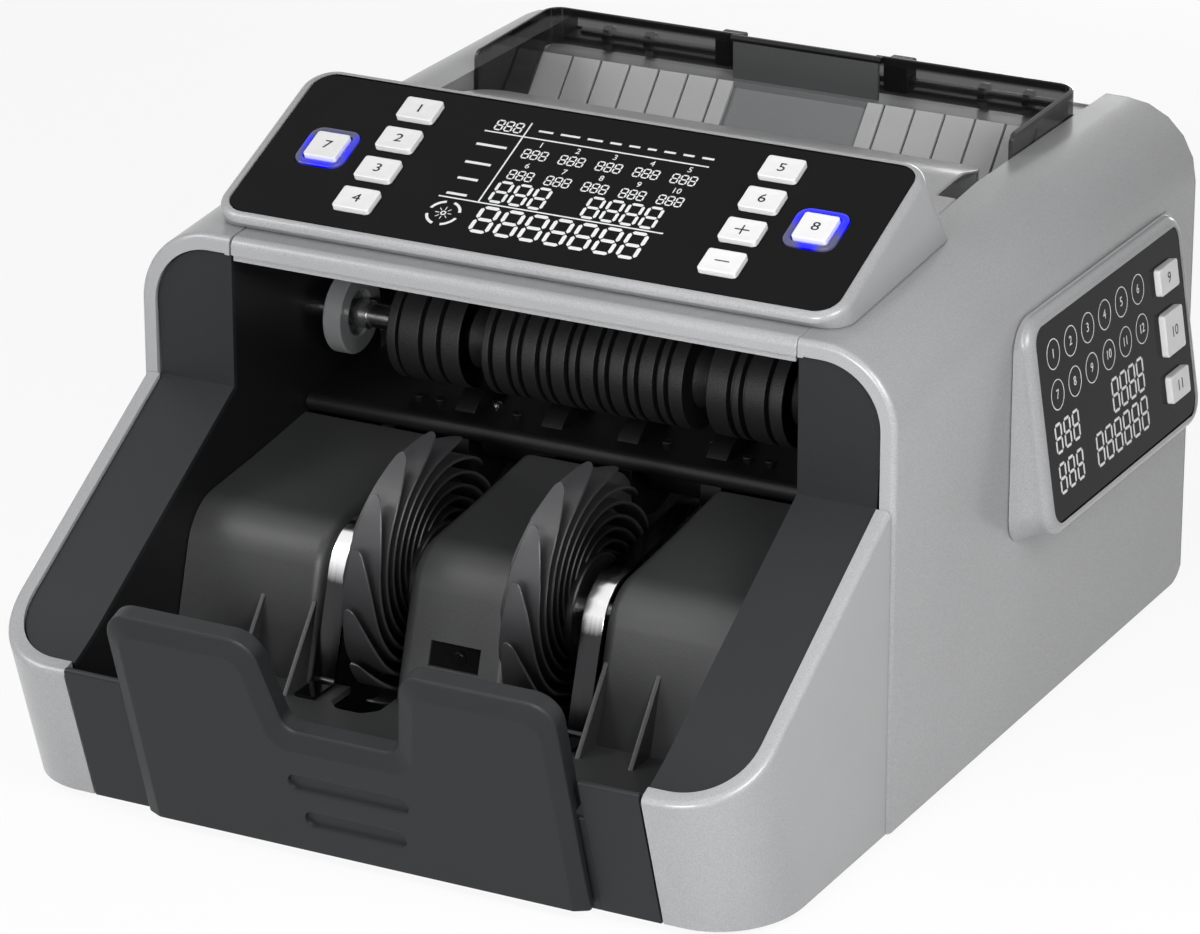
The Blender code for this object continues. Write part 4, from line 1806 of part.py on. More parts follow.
for old in list(bpy.data.objects):
    bpy.data.objects.remove(old)
counter = bpy.data.objects.new("counter", None)
bpy.context.scene.collection.objects.link(counter)
make_body()
make_controls()
make_mechanism()
make_hopper()
middle = ground_middle()
counter.location = (-middle[0], -middle[1], FOOT_HEIGHT)
bpy.context.view_layer.update()
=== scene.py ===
# %% [markdown]
# # A desktop banknote counter
#
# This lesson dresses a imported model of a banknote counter: silver housings, a dark pocket with two bladed
# stacker wheels, ribbed rubber rollers, a sloping key panel and a side display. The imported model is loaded
# first and stays where it is. Every finished surface is built over it, in the same metres and axes.

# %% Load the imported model
import json
import math

import bmesh
import bpy
import numpy as np
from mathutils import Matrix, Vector
from mathutils.geometry import tessellate_polygon

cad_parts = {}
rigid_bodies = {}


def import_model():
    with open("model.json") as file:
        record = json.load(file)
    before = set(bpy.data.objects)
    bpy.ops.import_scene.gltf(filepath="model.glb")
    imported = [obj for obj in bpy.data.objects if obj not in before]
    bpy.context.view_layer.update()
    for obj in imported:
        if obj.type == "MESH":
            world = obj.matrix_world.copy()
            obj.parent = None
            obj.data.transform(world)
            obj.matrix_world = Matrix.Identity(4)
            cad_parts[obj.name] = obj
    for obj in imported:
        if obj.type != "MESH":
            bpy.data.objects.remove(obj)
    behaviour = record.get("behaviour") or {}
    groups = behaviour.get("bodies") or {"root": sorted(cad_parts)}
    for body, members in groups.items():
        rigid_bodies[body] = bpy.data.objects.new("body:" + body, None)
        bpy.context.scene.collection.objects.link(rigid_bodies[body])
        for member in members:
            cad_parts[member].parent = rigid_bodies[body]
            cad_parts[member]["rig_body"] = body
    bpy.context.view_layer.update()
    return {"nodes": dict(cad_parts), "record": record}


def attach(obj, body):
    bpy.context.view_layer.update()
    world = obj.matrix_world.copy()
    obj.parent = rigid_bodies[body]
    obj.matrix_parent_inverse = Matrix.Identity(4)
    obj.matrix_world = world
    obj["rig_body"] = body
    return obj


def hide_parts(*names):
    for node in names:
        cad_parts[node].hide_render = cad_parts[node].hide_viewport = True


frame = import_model()
nodes = frame["nodes"]

# %% [markdown]
# ## The camera
#
# The picture was taken with a long lens from the front left of the pocket, a little above the machine. The
# camera could be placed by eye, but a long lens shows small errors, so its place, angle and focal length were
# worked out from the machine's straight edges. The focal length is in millimetres for a 36 mm wide sensor.

# %% Place the camera
AZIMUTH = math.radians(27.69)
ELEVATION = math.radians(21.38)
camera_data = bpy.data.cameras.new("studio_camera")
camera_data.lens = 172.3
camera_data.sensor_width = 36.0
camera_data.clip_end = 20.0
camera = bpy.data.objects.new("studio_camera", camera_data)
bpy.context.scene.collection.objects.link(camera)
camera.location = (0.8354, -1.6069, 0.7934)
camera.rotation_euler = (math.pi / 2 - ELEVATION, 0.0, AZIMUTH)
bpy.context.scene.camera = camera
print("distance to the middle of the machine, m:", round(camera.location.length, 3))

# %% [markdown]
# ## Shader arithmetic
#
# A procedural finish is a small sum: a base value plus some noise times a weight. Placing Math nodes one by
# one hides that sum. A thin wrapper round a socket lets it be written as ordinary Python, and each operator
# adds the node that does the same. One more helper adds any other node by its type, its settings and sockets.

# %% A socket that understands arithmetic
class Flow:
    """A shader socket on which +, - and * add Math nodes."""

    def __init__(self, tree, socket):
        self.tree, self.socket = tree, socket

    def maths(self, operation, first, second):
        node = self.tree.nodes.new("ShaderNodeMath")
        node.operation = operation
        feed(self.tree, node.inputs[0], first)
        feed(self.tree, node.inputs[1], second)
        return Flow(self.tree, node.outputs[0])

    def __add__(self, other):
        return self.maths("ADD", self, other)

    def __sub__(self, other):
        return self.maths("SUBTRACT", self, other)

    def __rsub__(self, other):
        return self.maths("SUBTRACT", other, self)

    def __mul__(self, other):
        return self.maths("MULTIPLY", self, other)

    __radd__ = __add__
    __rmul__ = __mul__


def feed(tree, socket, value):
    """Links a Flow to the socket, or sets a plain value on it."""
    if isinstance(value, Flow):
        tree.links.new(value.socket, socket)
    else:
        socket.default_value = value


class Finish:
    """A material with a Principled surface: constants on its sockets, and flows where it varies."""

    def __init__(self, name, **sockets):
        self.material = bpy.data.materials.new(name)
        self.material.use_nodes = True
        self.tree = self.material.node_tree
        self.surface = self.tree.nodes["Principled BSDF"]
        self.set(**sockets)

    def set(self, **sockets):
        for name, value in sockets.items():
            if isinstance(value, tuple) and len(value) == 3 and name.endswith("Color"):
                value = (*value, 1.0)
            feed(self.tree, self.surface.inputs[name.replace("_", " ")], value)
        return self

    def node(self, kind, output, settings=(), **sockets):
        """Adds a node: its settings first, then its sockets, and returns the named output."""
        made = self.tree.nodes.new("ShaderNode" + kind)
        for name, value in dict(settings).items():
            setattr(made, name, value)
        for name, value in sockets.items():
            feed(self.tree, made.inputs[name.replace("_", " ")], value)
        return Flow(self.tree, made.outputs[output])

    def place(self, stretch=(1.0, 1.0, 1.0)):
        """Object coordinates, stretched along the three axes."""
        here = self.node("TexCoord", "Object")
        return self.node("Mapping", "Vector", Vector=here, Scale=stretch)

    def noise(self, scale, detail=2.0, stretch=(1.0, 1.0, 1.0)):
        return self.node("TexNoise", "Fac", Vector=self.place(stretch), Scale=scale, Detail=detail)

    def blend(self, share, first, second):
        """A colour that goes from the first to the second as the share goes from 0 to 1."""
        made = self.tree.nodes.new("ShaderNodeMix")
        made.data_type = "RGBA"
        feed(self.tree, made.inputs[0], share)
        for socket, colour in ((made.inputs[6], first), (made.inputs[7], second)):
            feed(self.tree, socket, (*colour, 1.0) if isinstance(colour, tuple) else colour)
        return Flow(self.tree, made.outputs[2])

    def bump(self, height, strength, distance):
        self.set(Normal=self.node("Bump", "Normal", Height=height, Strength=strength, Distance=distance))
        return self


print("socket arithmetic ready:", [name for name in dir(Flow) if name.startswith("__r")][:3])

# %% [markdown]
# ## The finishes
#
# Silver paint on a moulding is a fine metal flake under a satin coat, so it is part metal, and both its colour
# and its roughness vary from flake to flake. The dark mouldings carry a spark-eroded grain: a fine bump, and a
# roughness that changes over some millimetres where hands have polished it. The noise scales are per metre.

# %% Silver paint and moulded plastics
def silver_paint():
    finish = Finish("silver_paint", Metallic=0.08, Specular_IOR_Level=0.25, Coat_Weight=0.45, Coat_Roughness=0.16)
    flake = finish.noise(3200.0, 1.0)
    cloud = finish.noise(14.0, 3.0)
    finish.set(Base_Color=finish.blend(flake * 1.2 + cloud * 0.3 - 0.25, (0.21, 0.212, 0.217), (0.40, 0.402, 0.411)))
    finish.set(Roughness=flake * 0.10 + cloud * 0.06 + 0.30)
    return finish.bump(flake, 0.05, 0.0002).material


def grained_plastic(name, dark, pale, roughness, shine=0.3, grain=2600.0, depth=0.25, blue=1.04):
    finish = Finish(name, Specular_IOR_Level=shine)
    grit = finish.noise(grain, 2.0)
    worn = finish.noise(22.0, 3.0)
    tint = np.array((1.0, (1.0 + blue) / 2, blue))
    finish.set(Base_Color=finish.blend(grit * 0.5 + worn * 0.5, tuple(dark * tint), tuple(pale * tint)))
    finish.set(Roughness=worn * 0.12 + grit * 0.08 + (roughness - 0.1))
    return finish.bump(grit, depth, 0.0003).material


def gloss_plastic(name, colour, roughness, alpha=1.0, shine=0.12):
    finish = Finish(name, Alpha=alpha, Specular_IOR_Level=shine)
    haze = finish.noise(60.0, 3.0)
    finish.set(Base_Color=finish.blend(haze, colour, tuple(c * 1.25 + 0.002 for c in colour)))
    finish.set(Roughness=haze * 0.06 + roughness)
    return finish


def blade_plastic_painted_shade():
    """Moulded grey with painted shade: darker towards the hub, as a share of the distance from the axle."""
    finish = Finish("blade_grey_painted_shade", Specular_IOR_Level=0.45)
    centred = finish.node("Mapping", "Vector", Vector=finish.node("TexCoord", "Object"),
                          Location=(0.0, 0.073324, -0.0651), Scale=(0.0, 1.0, 1.0))
    reach = finish.node("VectorMath", "Value", (("operation", "LENGTH"),), Vector=centred)
    grit = finish.noise(2600.0)
    # painted shade: the share darkens each blade towards the hub, where the wheel lies in shadow
    share = (reach - 0.026) * 42.0 + (grit - 0.5) * 0.3
    finish.set(Base_Color=finish.blend(share, (0.004, 0.004, 0.004), (0.045, 0.045, 0.048)))
    finish.set(Roughness=grit * 0.1 + 0.30)
    return finish.bump(grit, 0.2, 0.0003).material


def smoked_sheet(name, low, high):
    """Smoked sheet that lets light through, with an upper rim that is solid black from the first height up."""
    finish = gloss_plastic(name, (0.006, 0.006, 0.006), 0.05, 1.0, 0.5)
    across = finish.node("SeparateXYZ", "Z", Vector=finish.node("TexCoord", "Object"))
    rim = (("clamp", True),)
    finish.set(Alpha=finish.node("MapRange", "Result", rim, Value=across, From_Min=low, From_Max=high, To_Min=0.66, To_Max=1.0))
    return finish.material


def lit_plastic(name, pale, deep, glow):
    """Clear plastic lit from below: deep blue where a small lamp sits under it, and pale where none does."""
    finish = Finish(name, Roughness=0.12, Specular_IOR_Level=0.5)
    lit = finish.noise(75.0, 1.0) * 7.0 - 2.9
    finish.set(Base_Color=finish.blend(lit, pale, deep))
    finish.set(Emission_Color=finish.blend(lit, (0.0, 0.0, 0.03), glow), Emission_Strength=1.0)
    return finish.material


def steel_with_painted_highlight(name, bend):
    """Dull steel with a painted highlight along its bend: bright where a share, which falls over 16 mm from that line,
    is high.
    """
    finish = Finish(name, Metallic=1.0)
    centred = finish.node("Mapping", "Vector", Vector=finish.node("TexCoord", "Object"),
                          Location=(0.0, -bend[0], -bend[1]), Scale=(0.0, 1.0, 1.0))
    away = finish.node("VectorMath", "Value", (("operation", "LENGTH"),), Vector=centred)
    lines = finish.noise(900.0, 2.0, (1.0, 0.03, 0.03))
    # painted highlight: the base colour turns from dull to bright steel close to the bend line
    finish.set(Base_Color=finish.blend(2.2 - away * 150.0 + lines * 0.3, (0.045, 0.045, 0.047), (0.88, 0.88, 0.89)))
    finish.set(Roughness=lines * 0.1 + 0.10)
    return finish.bump(lines, 0.1, 0.0001).material


def drawn_steel(name, colour, roughness, stretch, metallic=1.0):
    finish = Finish(name, Metallic=metallic)
    lines = finish.noise(900.0, 2.0, stretch)
    finish.set(Base_Color=finish.blend(lines, tuple(c * 0.78 for c in colour), colour))
    finish.set(Roughness=lines * 0.16 + roughness)
    return finish.bump(lines, 0.12, 0.0001).material


surfaces = {
    "silver_paint": silver_paint(),
    "dark_plastic": grained_plastic("dark_plastic", 0.0065, 0.0115, 0.46, 0.28, blue=1.25),
    "pocket_black": grained_plastic("pocket_black", 0.026, 0.038, 0.38, 0.4),
    "blade_grey_painted_shade": blade_plastic_painted_shade(),
    "black_plastic": grained_plastic("black_plastic", 0.003, 0.006, 0.42, 0.22),
    "grey_plastic": grained_plastic("grey_plastic", 0.15, 0.20, 0.45, 0.4),
    "hub_grey": grained_plastic("hub_grey", 0.15, 0.20, 0.45, 0.4),
    "pale_grey": grained_plastic("pale_grey", 0.42, 0.50, 0.48, blue=1.0),
    "white_key": grained_plastic("white_key", 0.73, 0.78, 0.40, 0.3, 3000.0, 0.08, 1.0),
    "rubber": grained_plastic("rubber", 0.006, 0.012, 0.50, 0.35, 1800.0, 0.4),
    "black_glass": gloss_plastic("black_glass", (0.003, 0.003, 0.003), 0.08, 1.0, 0.06).material,
    "smoked_plastic": smoked_sheet("smoked_plastic", 0.1853, 0.1868),
    "mid_grey": grained_plastic("mid_grey", 0.055, 0.075, 0.45, 0.3),
    "blue_ring": lit_plastic("blue_ring", (0.07, 0.07, 0.13), (0.0, 0.0, 0.12), (0.0, 0.0, 0.85)),
    "bright_steel": drawn_steel("bright_steel", (0.72, 0.72, 0.73), 0.12, (0.03, 1.0, 1.0)),
    "guide_steel_painted_highlight": steel_with_painted_highlight("guide_steel_painted_highlight", (-0.0915, 0.0815)),
    "sheet_steel": drawn_steel("sheet_steel", (0.45, 0.46, 0.47), 0.32, (1.0, 0.05, 1.0), 0.9),
}
print("finishes:", ", ".join(sorted(surfaces)))

# %% [markdown]
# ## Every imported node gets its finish
#
# The record names a material slot for each node, so one loop can dress all of them. Nodes that get a finer
# surface later are hidden by it then.

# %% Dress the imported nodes
slot_of = {part["node"]: part["material_slot"] for part in frame["record"]["subparts"]}
for name, node in nodes.items():
    node.data.materials.clear()
    node.data.materials.append(surfaces[slot_of[name]])
print("dressed nodes:", len(slot_of))

# %% [markdown]
# ## Shapes from formulas
#
# Every fine surface below is worked out with numpy as a grid of points: a section carried along a path, or an
# outline repeated with a shift and a height. Sizes are in millimetres in the machine's own frame: x to the
# right from the middle, y to the rear from the front arch, z up from the underside. One helper at the end
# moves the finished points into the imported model's frame, in metres, and hides the node that they stand for.

# %% Outlines, shifts and grids
SHIFT = np.array((-7.651, -65.924, 3.0))
QUARTER = math.pi / 2


def arc(centre, radius, start, end, steps=8):
    """Points on a circle: the centre plus the radius times the cosine and sine of evenly spaced angles."""
    turn = np.linspace(start, end, steps + 1)
    return np.stack([centre[0] + radius * np.cos(turn), centre[1] + radius * np.sin(turn)], axis=1)


def rounded(corners, radii, steps=8):
    """An outline whose corners are arcs: each centre is radius / sin(half the corner) along the bisector."""
    corners = np.array(corners, float)
    radii = np.broadcast_to(radii, len(corners))
    outline = []
    for here, back, ahead, radius in zip(corners, np.roll(corners, 1, 0), np.roll(corners, -1, 0), radii):
        if radius <= 0:
            outline.append(here[None])
            continue
        u, v = (back - here) / np.linalg.norm(back - here), (ahead - here) / np.linalg.norm(ahead - here)
        half = math.acos(np.clip(u @ v, -1, 1)) / 2
        centre = here + (u + v) / np.linalg.norm(u + v) * radius / math.sin(half)
        first, last = here + u * radius / math.tan(half) - centre, here + v * radius / math.tan(half) - centre
        begin = math.atan2(first[1], first[0])
        sweep = (math.atan2(last[1], last[0]) - begin + math.pi) % (2 * math.pi) - math.pi
        outline.append(arc(centre, radius, begin, begin + sweep, steps))
    return np.vstack(outline)


def box_outline(half_a, half_b, radius=0.0, centre=(0.0, 0.0), steps=6):
    """A rectangle about its centre, counter-clockwise, with round corners."""
    signs = np.array(((-1, -1), (1, -1), (1, 1), (-1, 1)))
    return rounded(signs * (half_a, half_b) + np.array(centre), radius, steps)


def mitres(line, closed=True):
    """Normals to the right of a line, longer at corners: a shift along them keeps every edge parallel."""
    ahead = np.roll(line, -1, axis=0) - line
    if not closed:
        ahead[-1] = ahead[-2]
    ahead = ahead / np.linalg.norm(ahead, axis=1, keepdims=True)
    back = np.roll(ahead, 1, axis=0)
    if not closed:
        back[0] = ahead[0]
    middle = (ahead + back) / np.linalg.norm(ahead + back, axis=1, keepdims=True)
    normal = np.stack([middle[:, 1], -middle[:, 0]], axis=1)
    return normal / np.sum(middle * ahead, axis=1, keepdims=True)


def shifted(line, distance, closed=True):
    return line + mitres(line, closed) * distance


def sheet(path, wall):
    """The closed outline of a sheet with its wall on the right of an open path."""
    return np.vstack([path, shifted(path, wall, False)[::-1]])


def pile(outline, levels):
    """Rings of one outline: for each (shift, height) the outline plus its mitre times the shift, at the height."""
    out, height = np.array(levels, float).T
    flat = outline[None] + mitres(outline)[None] * out[:, None, None]
    return np.concatenate([flat, np.broadcast_to(height[:, None, None], flat.shape[:2] + (1,))], axis=2)


def edge(radius, top, steps=4):
    """Levels of a round upper edge: a quarter circle, from a shift of 0 to -radius and up to the top."""
    turn = np.linspace(0, QUARTER, steps + 1)
    return list(zip(radius * (np.cos(turn) - 1), top + radius * (np.sin(turn) - 1)))


def skin(grid, around=False, along=False, caps=(False, False)):
    """Quads between neighbouring points of a grid of rings; around closes each ring, along joins last to first."""
    rows, columns = grid.shape[:2]
    index = np.arange(rows * columns).reshape(rows, columns)
    ends = [index[k].tolist() for k, wanted in zip((0, -1), caps) if wanted]
    index = np.vstack([index, index[:1]]) if along else index
    index = np.hstack([index, index[:, :1]]) if around else index
    quads = np.stack([index[:-1, :-1], index[:-1, 1:], index[1:, 1:], index[1:, :-1]], axis=-1)
    return grid.reshape(-1, 3), quads.reshape(-1, 4).tolist() + ends


def lid(loops, height):
    """A flat face over an outline and round the holes in it, cut into triangles."""
    points = np.vstack(loops)
    triangles = tessellate_polygon([[Vector((a, b, 0)) for a, b in loop] for loop in loops])
    return np.column_stack([points, np.full(len(points), height)]), [list(t) for t in triangles]


def plate(outline, levels, holes=(), hole_levels=()):
    """A closed plate: the outline's rings, the rings of each hole, and a lid on both sides."""
    rings = [pile(outline, levels)] + [pile(hole, hole_levels) for hole in holes]
    shells = [skin(ring, around=True) for ring in rings]
    return shells + [lid([ring[k, :, :2] for ring in rings], rings[0][k, 0, 2]) for k in (0, -1)]


def slab(outline, low, high, soft=0.3, holes=()):
    """A plate between two heights, with both edges rounded by the same small radius."""
    under = [(shift, low + high - height) for shift, height in edge(soft, high, 2)[::-1]]
    bore = [(-shift, height) for shift, height in under + edge(soft, high, 2)]
    return plate(outline, under + edge(soft, high, 2), holes, bore)


def turned(profile, centre, steps=72, closed=True):
    """A solid turned about a line along x: each (place, radius) at every angle about the centre (y, z)."""
    place, radius = np.array(profile, float).T
    turn = np.linspace(0, 2 * math.pi, steps, endpoint=False)[:, None]
    y, z = centre[0] + radius * np.cos(turn), centre[1] + radius * np.sin(turn)
    grid = np.stack([np.broadcast_to(place, y.shape), y, z], axis=2)
    return [skin(grid, around=closed, along=True)]


# %% Working planes, mirrored pieces and the finished object
AXES = {
    "X": np.array(((0.0, 1.0, 0.0), (0.0, 0.0, 1.0), (1.0, 0.0, 0.0))),
    "Y": np.array(((1.0, 0.0, 0.0), (0.0, 0.0, 1.0), (0.0, 1.0, 0.0))),
    "Z": np.eye(3),
}


def laid(shells, turn, origin=(0.0, 0.0, 0.0)):
    """Shells drawn in a plane's own x, y and height, carried to it: the sum of each coordinate times its axis."""
    rows = AXES[turn] if isinstance(turn, str) else np.array(turn, float)
    return [(points @ rows + np.array(origin), faces) for points, faces in shells]


def mirrored(shells, side):
    return [(points * (side, 1.0, 1.0), faces) for points, faces in shells]


def make(name, shells, slot=None, body=None, crease=32.0, finish=None):
    """One object from all shells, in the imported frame. A name that is a node's own stands for that node."""
    slot = slot or slot_of[name]
    counts = np.cumsum([0] + [len(points) for points, _ in shells])
    points = (np.vstack([points for points, _ in shells]) + SHIFT) * 0.001
    faces = [[i + start for i in face] for start, (_, some) in zip(counts, shells) for face in some]
    mesh = bpy.data.meshes.new("fine_" + name)
    mesh.from_pydata(points.tolist(), [], faces)
    form = bmesh.new()
    form.from_mesh(mesh)
    bmesh.ops.remove_doubles(form, verts=form.verts, dist=2e-6)
    bmesh.ops.recalc_face_normals(form, faces=form.faces)
    form.to_mesh(mesh)
    form.free()
    mesh.shade_smooth()
    mesh.set_sharp_from_angle(angle=math.radians(crease))
    mesh.materials.append(surfaces[finish or slot])
    piece = bpy.data.objects.new("fine_" + name, mesh)
    bpy.context.scene.collection.objects.link(piece)
    piece.modifiers.new("even_normals", "WEIGHTED_NORMAL").keep_sharp = True
    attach(piece, body or nodes[name]["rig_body"])
    if name in nodes:
        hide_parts(name)
    return piece


def softened(name, width=0.4, slot=None, limit=28.0):
    """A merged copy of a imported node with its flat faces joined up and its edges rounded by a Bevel."""
    mesh = nodes[name].data.copy()
    form = bmesh.new()
    form.from_mesh(mesh)
    bmesh.ops.remove_doubles(form, verts=form.verts, dist=1e-5)
    flat = math.radians(1.0)
    bmesh.ops.dissolve_limit(form, angle_limit=flat, verts=form.verts, edges=form.edges)
    form.to_mesh(mesh)
    form.free()
    mesh.shade_smooth()
    mesh.set_sharp_from_angle(angle=math.radians(limit))
    piece = bpy.data.objects.new("fine_" + name, mesh)
    bpy.context.scene.collection.objects.link(piece)
    bevel = piece.modifiers.new("soft_edges", "BEVEL")
    bevel.width, bevel.segments, bevel.limit_method = width * 0.001, 2, "ANGLE"
    bevel.angle_limit = math.radians(limit)
    bevel.use_clamp_overlap = True
    piece.modifiers.new("even_normals", "WEIGHTED_NORMAL").keep_sharp = True
    mesh.materials.clear()
    mesh.materials.append(surfaces[slot or slot_of[name]])
    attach(piece, nodes[name]["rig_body"])
    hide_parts(name)
    return piece


print("a rounded square has", len(box_outline(5.0, 5.0, 1.0)), "points")

# %% [markdown]
# ## The silver side covers
#
# Each side is one moulding that rises from the base, turns over a round shoulder and ends at the seam with the
# bridge. It could be a bevelled box, but its roof climbs towards the rear while the shoulder keeps its radius.
# So its section, a flat wall with a quarter circle, is carried from front to rear and follows the roof line.
# The front edge is rounded by shrinking the first sections along a quarter circle.

# %% Side covers
CHANNEL, HALF, DEPTH = 105.0, 140.0, 250.0
ARCH, ROOF, CREST = 165.3, 177.0, 137.1
SHOULDER, EDGE, RIM, WALL, SEAM = 27.0, 2.0, 5.5, 2.5, 0.3
SKIN_OUT = CHANNEL + 1.8
RAMP_LOW, RAMP_TOP = 160.8, np.array((218.8, 170.3))
RAMP_TAN = math.tan(math.radians(47.5))
CURL = 11.0


def roof(y):
    """Height of the roof: it climbs evenly from the arch to the crest, then runs level."""
    return ARCH + (ROOF - ARCH) * np.clip(y, 0, CREST) / CREST


def flange_foot(y):
    """Lower edge of the wall towards the bridge, and beside the hopper just under the ramp."""
    if y <= 100.3:
        return roof(y) - 6.0
    if y < RAMP_LOW - SEAM:
        return roof(y) - 45.0
    return RAMP_TOP[1] - (RAMP_TOP[0] - min(max(y, RAMP_LOW), RAMP_TOP[0])) * RAMP_TAN - 6.4


def cover_section(y, shrink, wall):
    """Outside wall, quarter-circle shoulder, roof, flange, and back along the inside at the wall's thickness."""
    top, low = roof(y), CURL - math.sqrt(CURL**2 - max(y - DEPTH + CURL, 0) ** 2)
    centre = (HALF - SHOULDER, top - SHOULDER)
    line = [[(HALF - shrink, low)], arc(centre, SHOULDER - shrink, 0, QUARTER, 20)]
    line += [[(CHANNEL, top - shrink), (CHANNEL, flange_foot(y)), (SKIN_OUT, flange_foot(y)), (SKIN_OUT, top - wall)]]
    line += [arc(centre, SHOULDER - wall, QUARTER, 0, 20), [(HALF - wall, low)]]
    line = np.vstack(line)
    return np.column_stack([line[:, 0], np.full(len(line), y), line[:, 1]])


rounding = np.linspace(0, QUARTER, 7)
stations = [(EDGE * (1 - math.cos(t)), EDGE * (1 - math.sin(t)), RIM) for t in rounding]
stations += [(y, 0, RIM) for y in (3.0, 4.0)] + [(y, 0, WALL) for y in (4.3, 20.0, 60.0, 100.3, 100.6, CREST)]
rear = np.concatenate([[160.2, RAMP_LOW, 190.0, RAMP_TOP[0], DEPTH - CURL], DEPTH - CURL + np.linspace(1.5, 8.2, 5)])
stations += [(y, 0, WALL) for y in rear]
cover = [skin(np.stack([cover_section(*station) for station in stations]), around=True, caps=(True, True))]
for side, name in ((-1, "left_side_cover"), (1, "right_side_cover")):
    make(name, mirrored(cover, side))
print("a side cover has", len(cover[0][1]), "faces over", len(stations), "sections")

# %% [markdown]
# ## The nose of each side
#
# Below the knee the silver side runs down along a straight slope that flattens out towards the front, and
# turns round the corner of the machine. Its upper edge is a bright rounded rim. The rim's little section is
# carried along that edge in plan; its height comes from the slope, and the wall leans with the front face.

# %% Front covers
KNEE, SLOPE, NOSE_RADIUS = 113.0, math.tan(math.radians(31.4)), 98.0
FOOT, LEAN, LIP_FACE = 92.4, math.tan(math.radians(18.2)), 49.0
NOSE_HALF = HALF - 1.1


def slope(y):
    """Height of the front slope: straight, less a square of the distance past y = -85."""
    return KNEE + y * SLOPE + np.maximum(-y - 85.0, 0) ** 2 / (2 * NOSE_RADIUS)


def front_face(z):
    return -FOOT - z * LEAN


NOSE = np.array((NOSE_HALF - SHOULDER, front_face(LIP_FACE) + SHOULDER))


def nose_path(steps=16):
    """The rim's path in plan, its inward directions, and how far the wall leans: from upright to the full lean."""
    turn = np.linspace(0, QUARTER, steps + 1)
    out = np.stack([np.cos(turn), -np.sin(turn)], axis=1)
    straight = np.linspace(-SEAM, NOSE[1] + 2.0, 12)
    along = np.column_stack([np.full(12, NOSE_HALF), straight])
    path = np.vstack([along, NOSE + SHOULDER * out, [(CHANNEL + SEAM, NOSE[1] - SHOULDER)]])
    inward = np.vstack([np.tile((-1.0, 0.0), (12, 1)), -out, [(0.0, 1.0)]])
    return path, inward, np.concatenate([(straight + SEAM) / NOSE[1], np.ones(steps + 2)])


def front_cover():
    path, inward, lean = nose_path()
    fillet = np.linspace(0, QUARTER, 6)
    sinks = [(EDGE * (1 - math.cos(t)), EDGE * (1 - math.sin(t))) for t in fillet]
    rows = []
    for place, towards, slant in zip(path, inward, lean):
        top = slope(place[1])

        def at(depth, drop, follow=0.0):
            height = top - drop + follow * (slope(place[1] + towards[1] * depth) - top)
            spot = place + towards * depth + np.array((0.0, max(top - height, 0.0) * LEAN * slant))
            return (*spot, height)

        ring = [(*(place + np.array((0.0, top * LEAN * slant))), 0.0)]
        ring += [at(depth, drop, depth / EDGE) for depth, drop in sinks]
        ring += [at(RIM - 0.5, 0.0, 1.0), at(RIM - 0.1, 0.1, 1.0), at(RIM, 0.5, 1.0), at(RIM, 4.0, 1.0), at(WALL, 4.0)]
        ring.append((*(place + towards * WALL + np.array((0.0, top * LEAN * slant))), 0.0))
        rows.append(ring)
    return [skin(np.array(rows), around=True, caps=(True, True))]


nose = front_cover()
for side, name in ((-1, "left_front_cover"), (1, "right_front_cover")):
    make(name, mirrored(nose, side))
print("a front cover has", len(nose[0][1]), "faces")

# %% [markdown]
# ## The dark cheeks
#
# Inside each silver rim lies a dark panel: it fills the arch beside the rollers, bends at the knee, runs down
# the slope and turns inwards as the wall of the pocket. The outer line of the panel is the rim's line moved
# inwards, so the same arcs are used again with a smaller radius, and the wall is a flat plate with bores.

# %% Cheek panels
REACH = SHOULDER - RIM - SEAM
SINK, SKIN = 1.2, 1.8
WHEEL, UPPER, LOWER = np.array((-7.4, 62.1)), np.array((67.0, 119.5)), np.array((71.0, 83.0))
BORES = ((WHEEL, 5.2), (LOWER, 5.4), (UPPER, 5.4))


def cheek_panel():
    turn = np.linspace(QUARTER, 0, 17)
    y = NOSE[1] - REACH * np.sin(turn)
    front = np.column_stack([NOSE[0] + REACH * np.cos(turn), y, slope(y)])
    down = np.linspace(NOSE[1] + 1.0, -1.0, 8)
    side = np.column_stack([np.full(8, NOSE_HALF - RIM - SEAM), down, slope(down)])
    knee = np.array(((NOSE_HALF - RIM - SEAM, 0.0, KNEE),))
    rise = turn[::-1]
    across, up = HALF - SHOULDER + REACH * np.cos(rise), ARCH - SHOULDER + (REACH - SEAM) * np.sin(rise)
    arch = np.column_stack([across, np.zeros(len(rise)), up])
    line = np.vstack([front, side, knee, arch])
    surface = shifted(line[:, 1:], SINK, False)
    under = shifted(surface, SKIN, False)
    near = np.full(len(line), CHANNEL - 0.05)
    corners = ((near, surface), (line[:, 0], surface), (line[:, 0], under), (near, under))
    ring = [np.column_stack([x, flat]) for x, flat in corners]
    return [skin(np.stack(ring, axis=1), around=True, caps=(True, True))], surface


def cheek_wall(surface):
    """The pocket's side wall: its upper edge lies just inside the panel, its lower edge under the tray."""
    low, shade = 26.2, ARCH - 6.3
    knee = shifted(surface, SKIN / 2, False)
    knee = knee[knee[:, 1] < shade]
    rear = [(100.0, low), (100.0, roof(100.0) - 6.3), (knee[-1, 0], shade)]
    outline = np.vstack([[(front_face(low) + 3.1, low)], rear, knee[::-1]])
    bores = [arc(centre, radius, 0, 2 * math.pi, 24)[:-1] for centre, radius in BORES]
    return laid(slab(outline, CHANNEL, SKIN_OUT, 0.2, bores), "X")


panel, surface = cheek_panel()
for side, word in ((-1, "left"), (1, "right")):
    make(word + "_cheek_panel", mirrored(panel, side))
    # painted shade: the pocket wall gets black plastic, darker than the cheek it continues, for the shade inside the
    # pocket
    make(word + "_pocket_wall", mirrored(cheek_wall(surface), side), "black_plastic", "housing")
print("the cheek's line has", len(surface), "points")

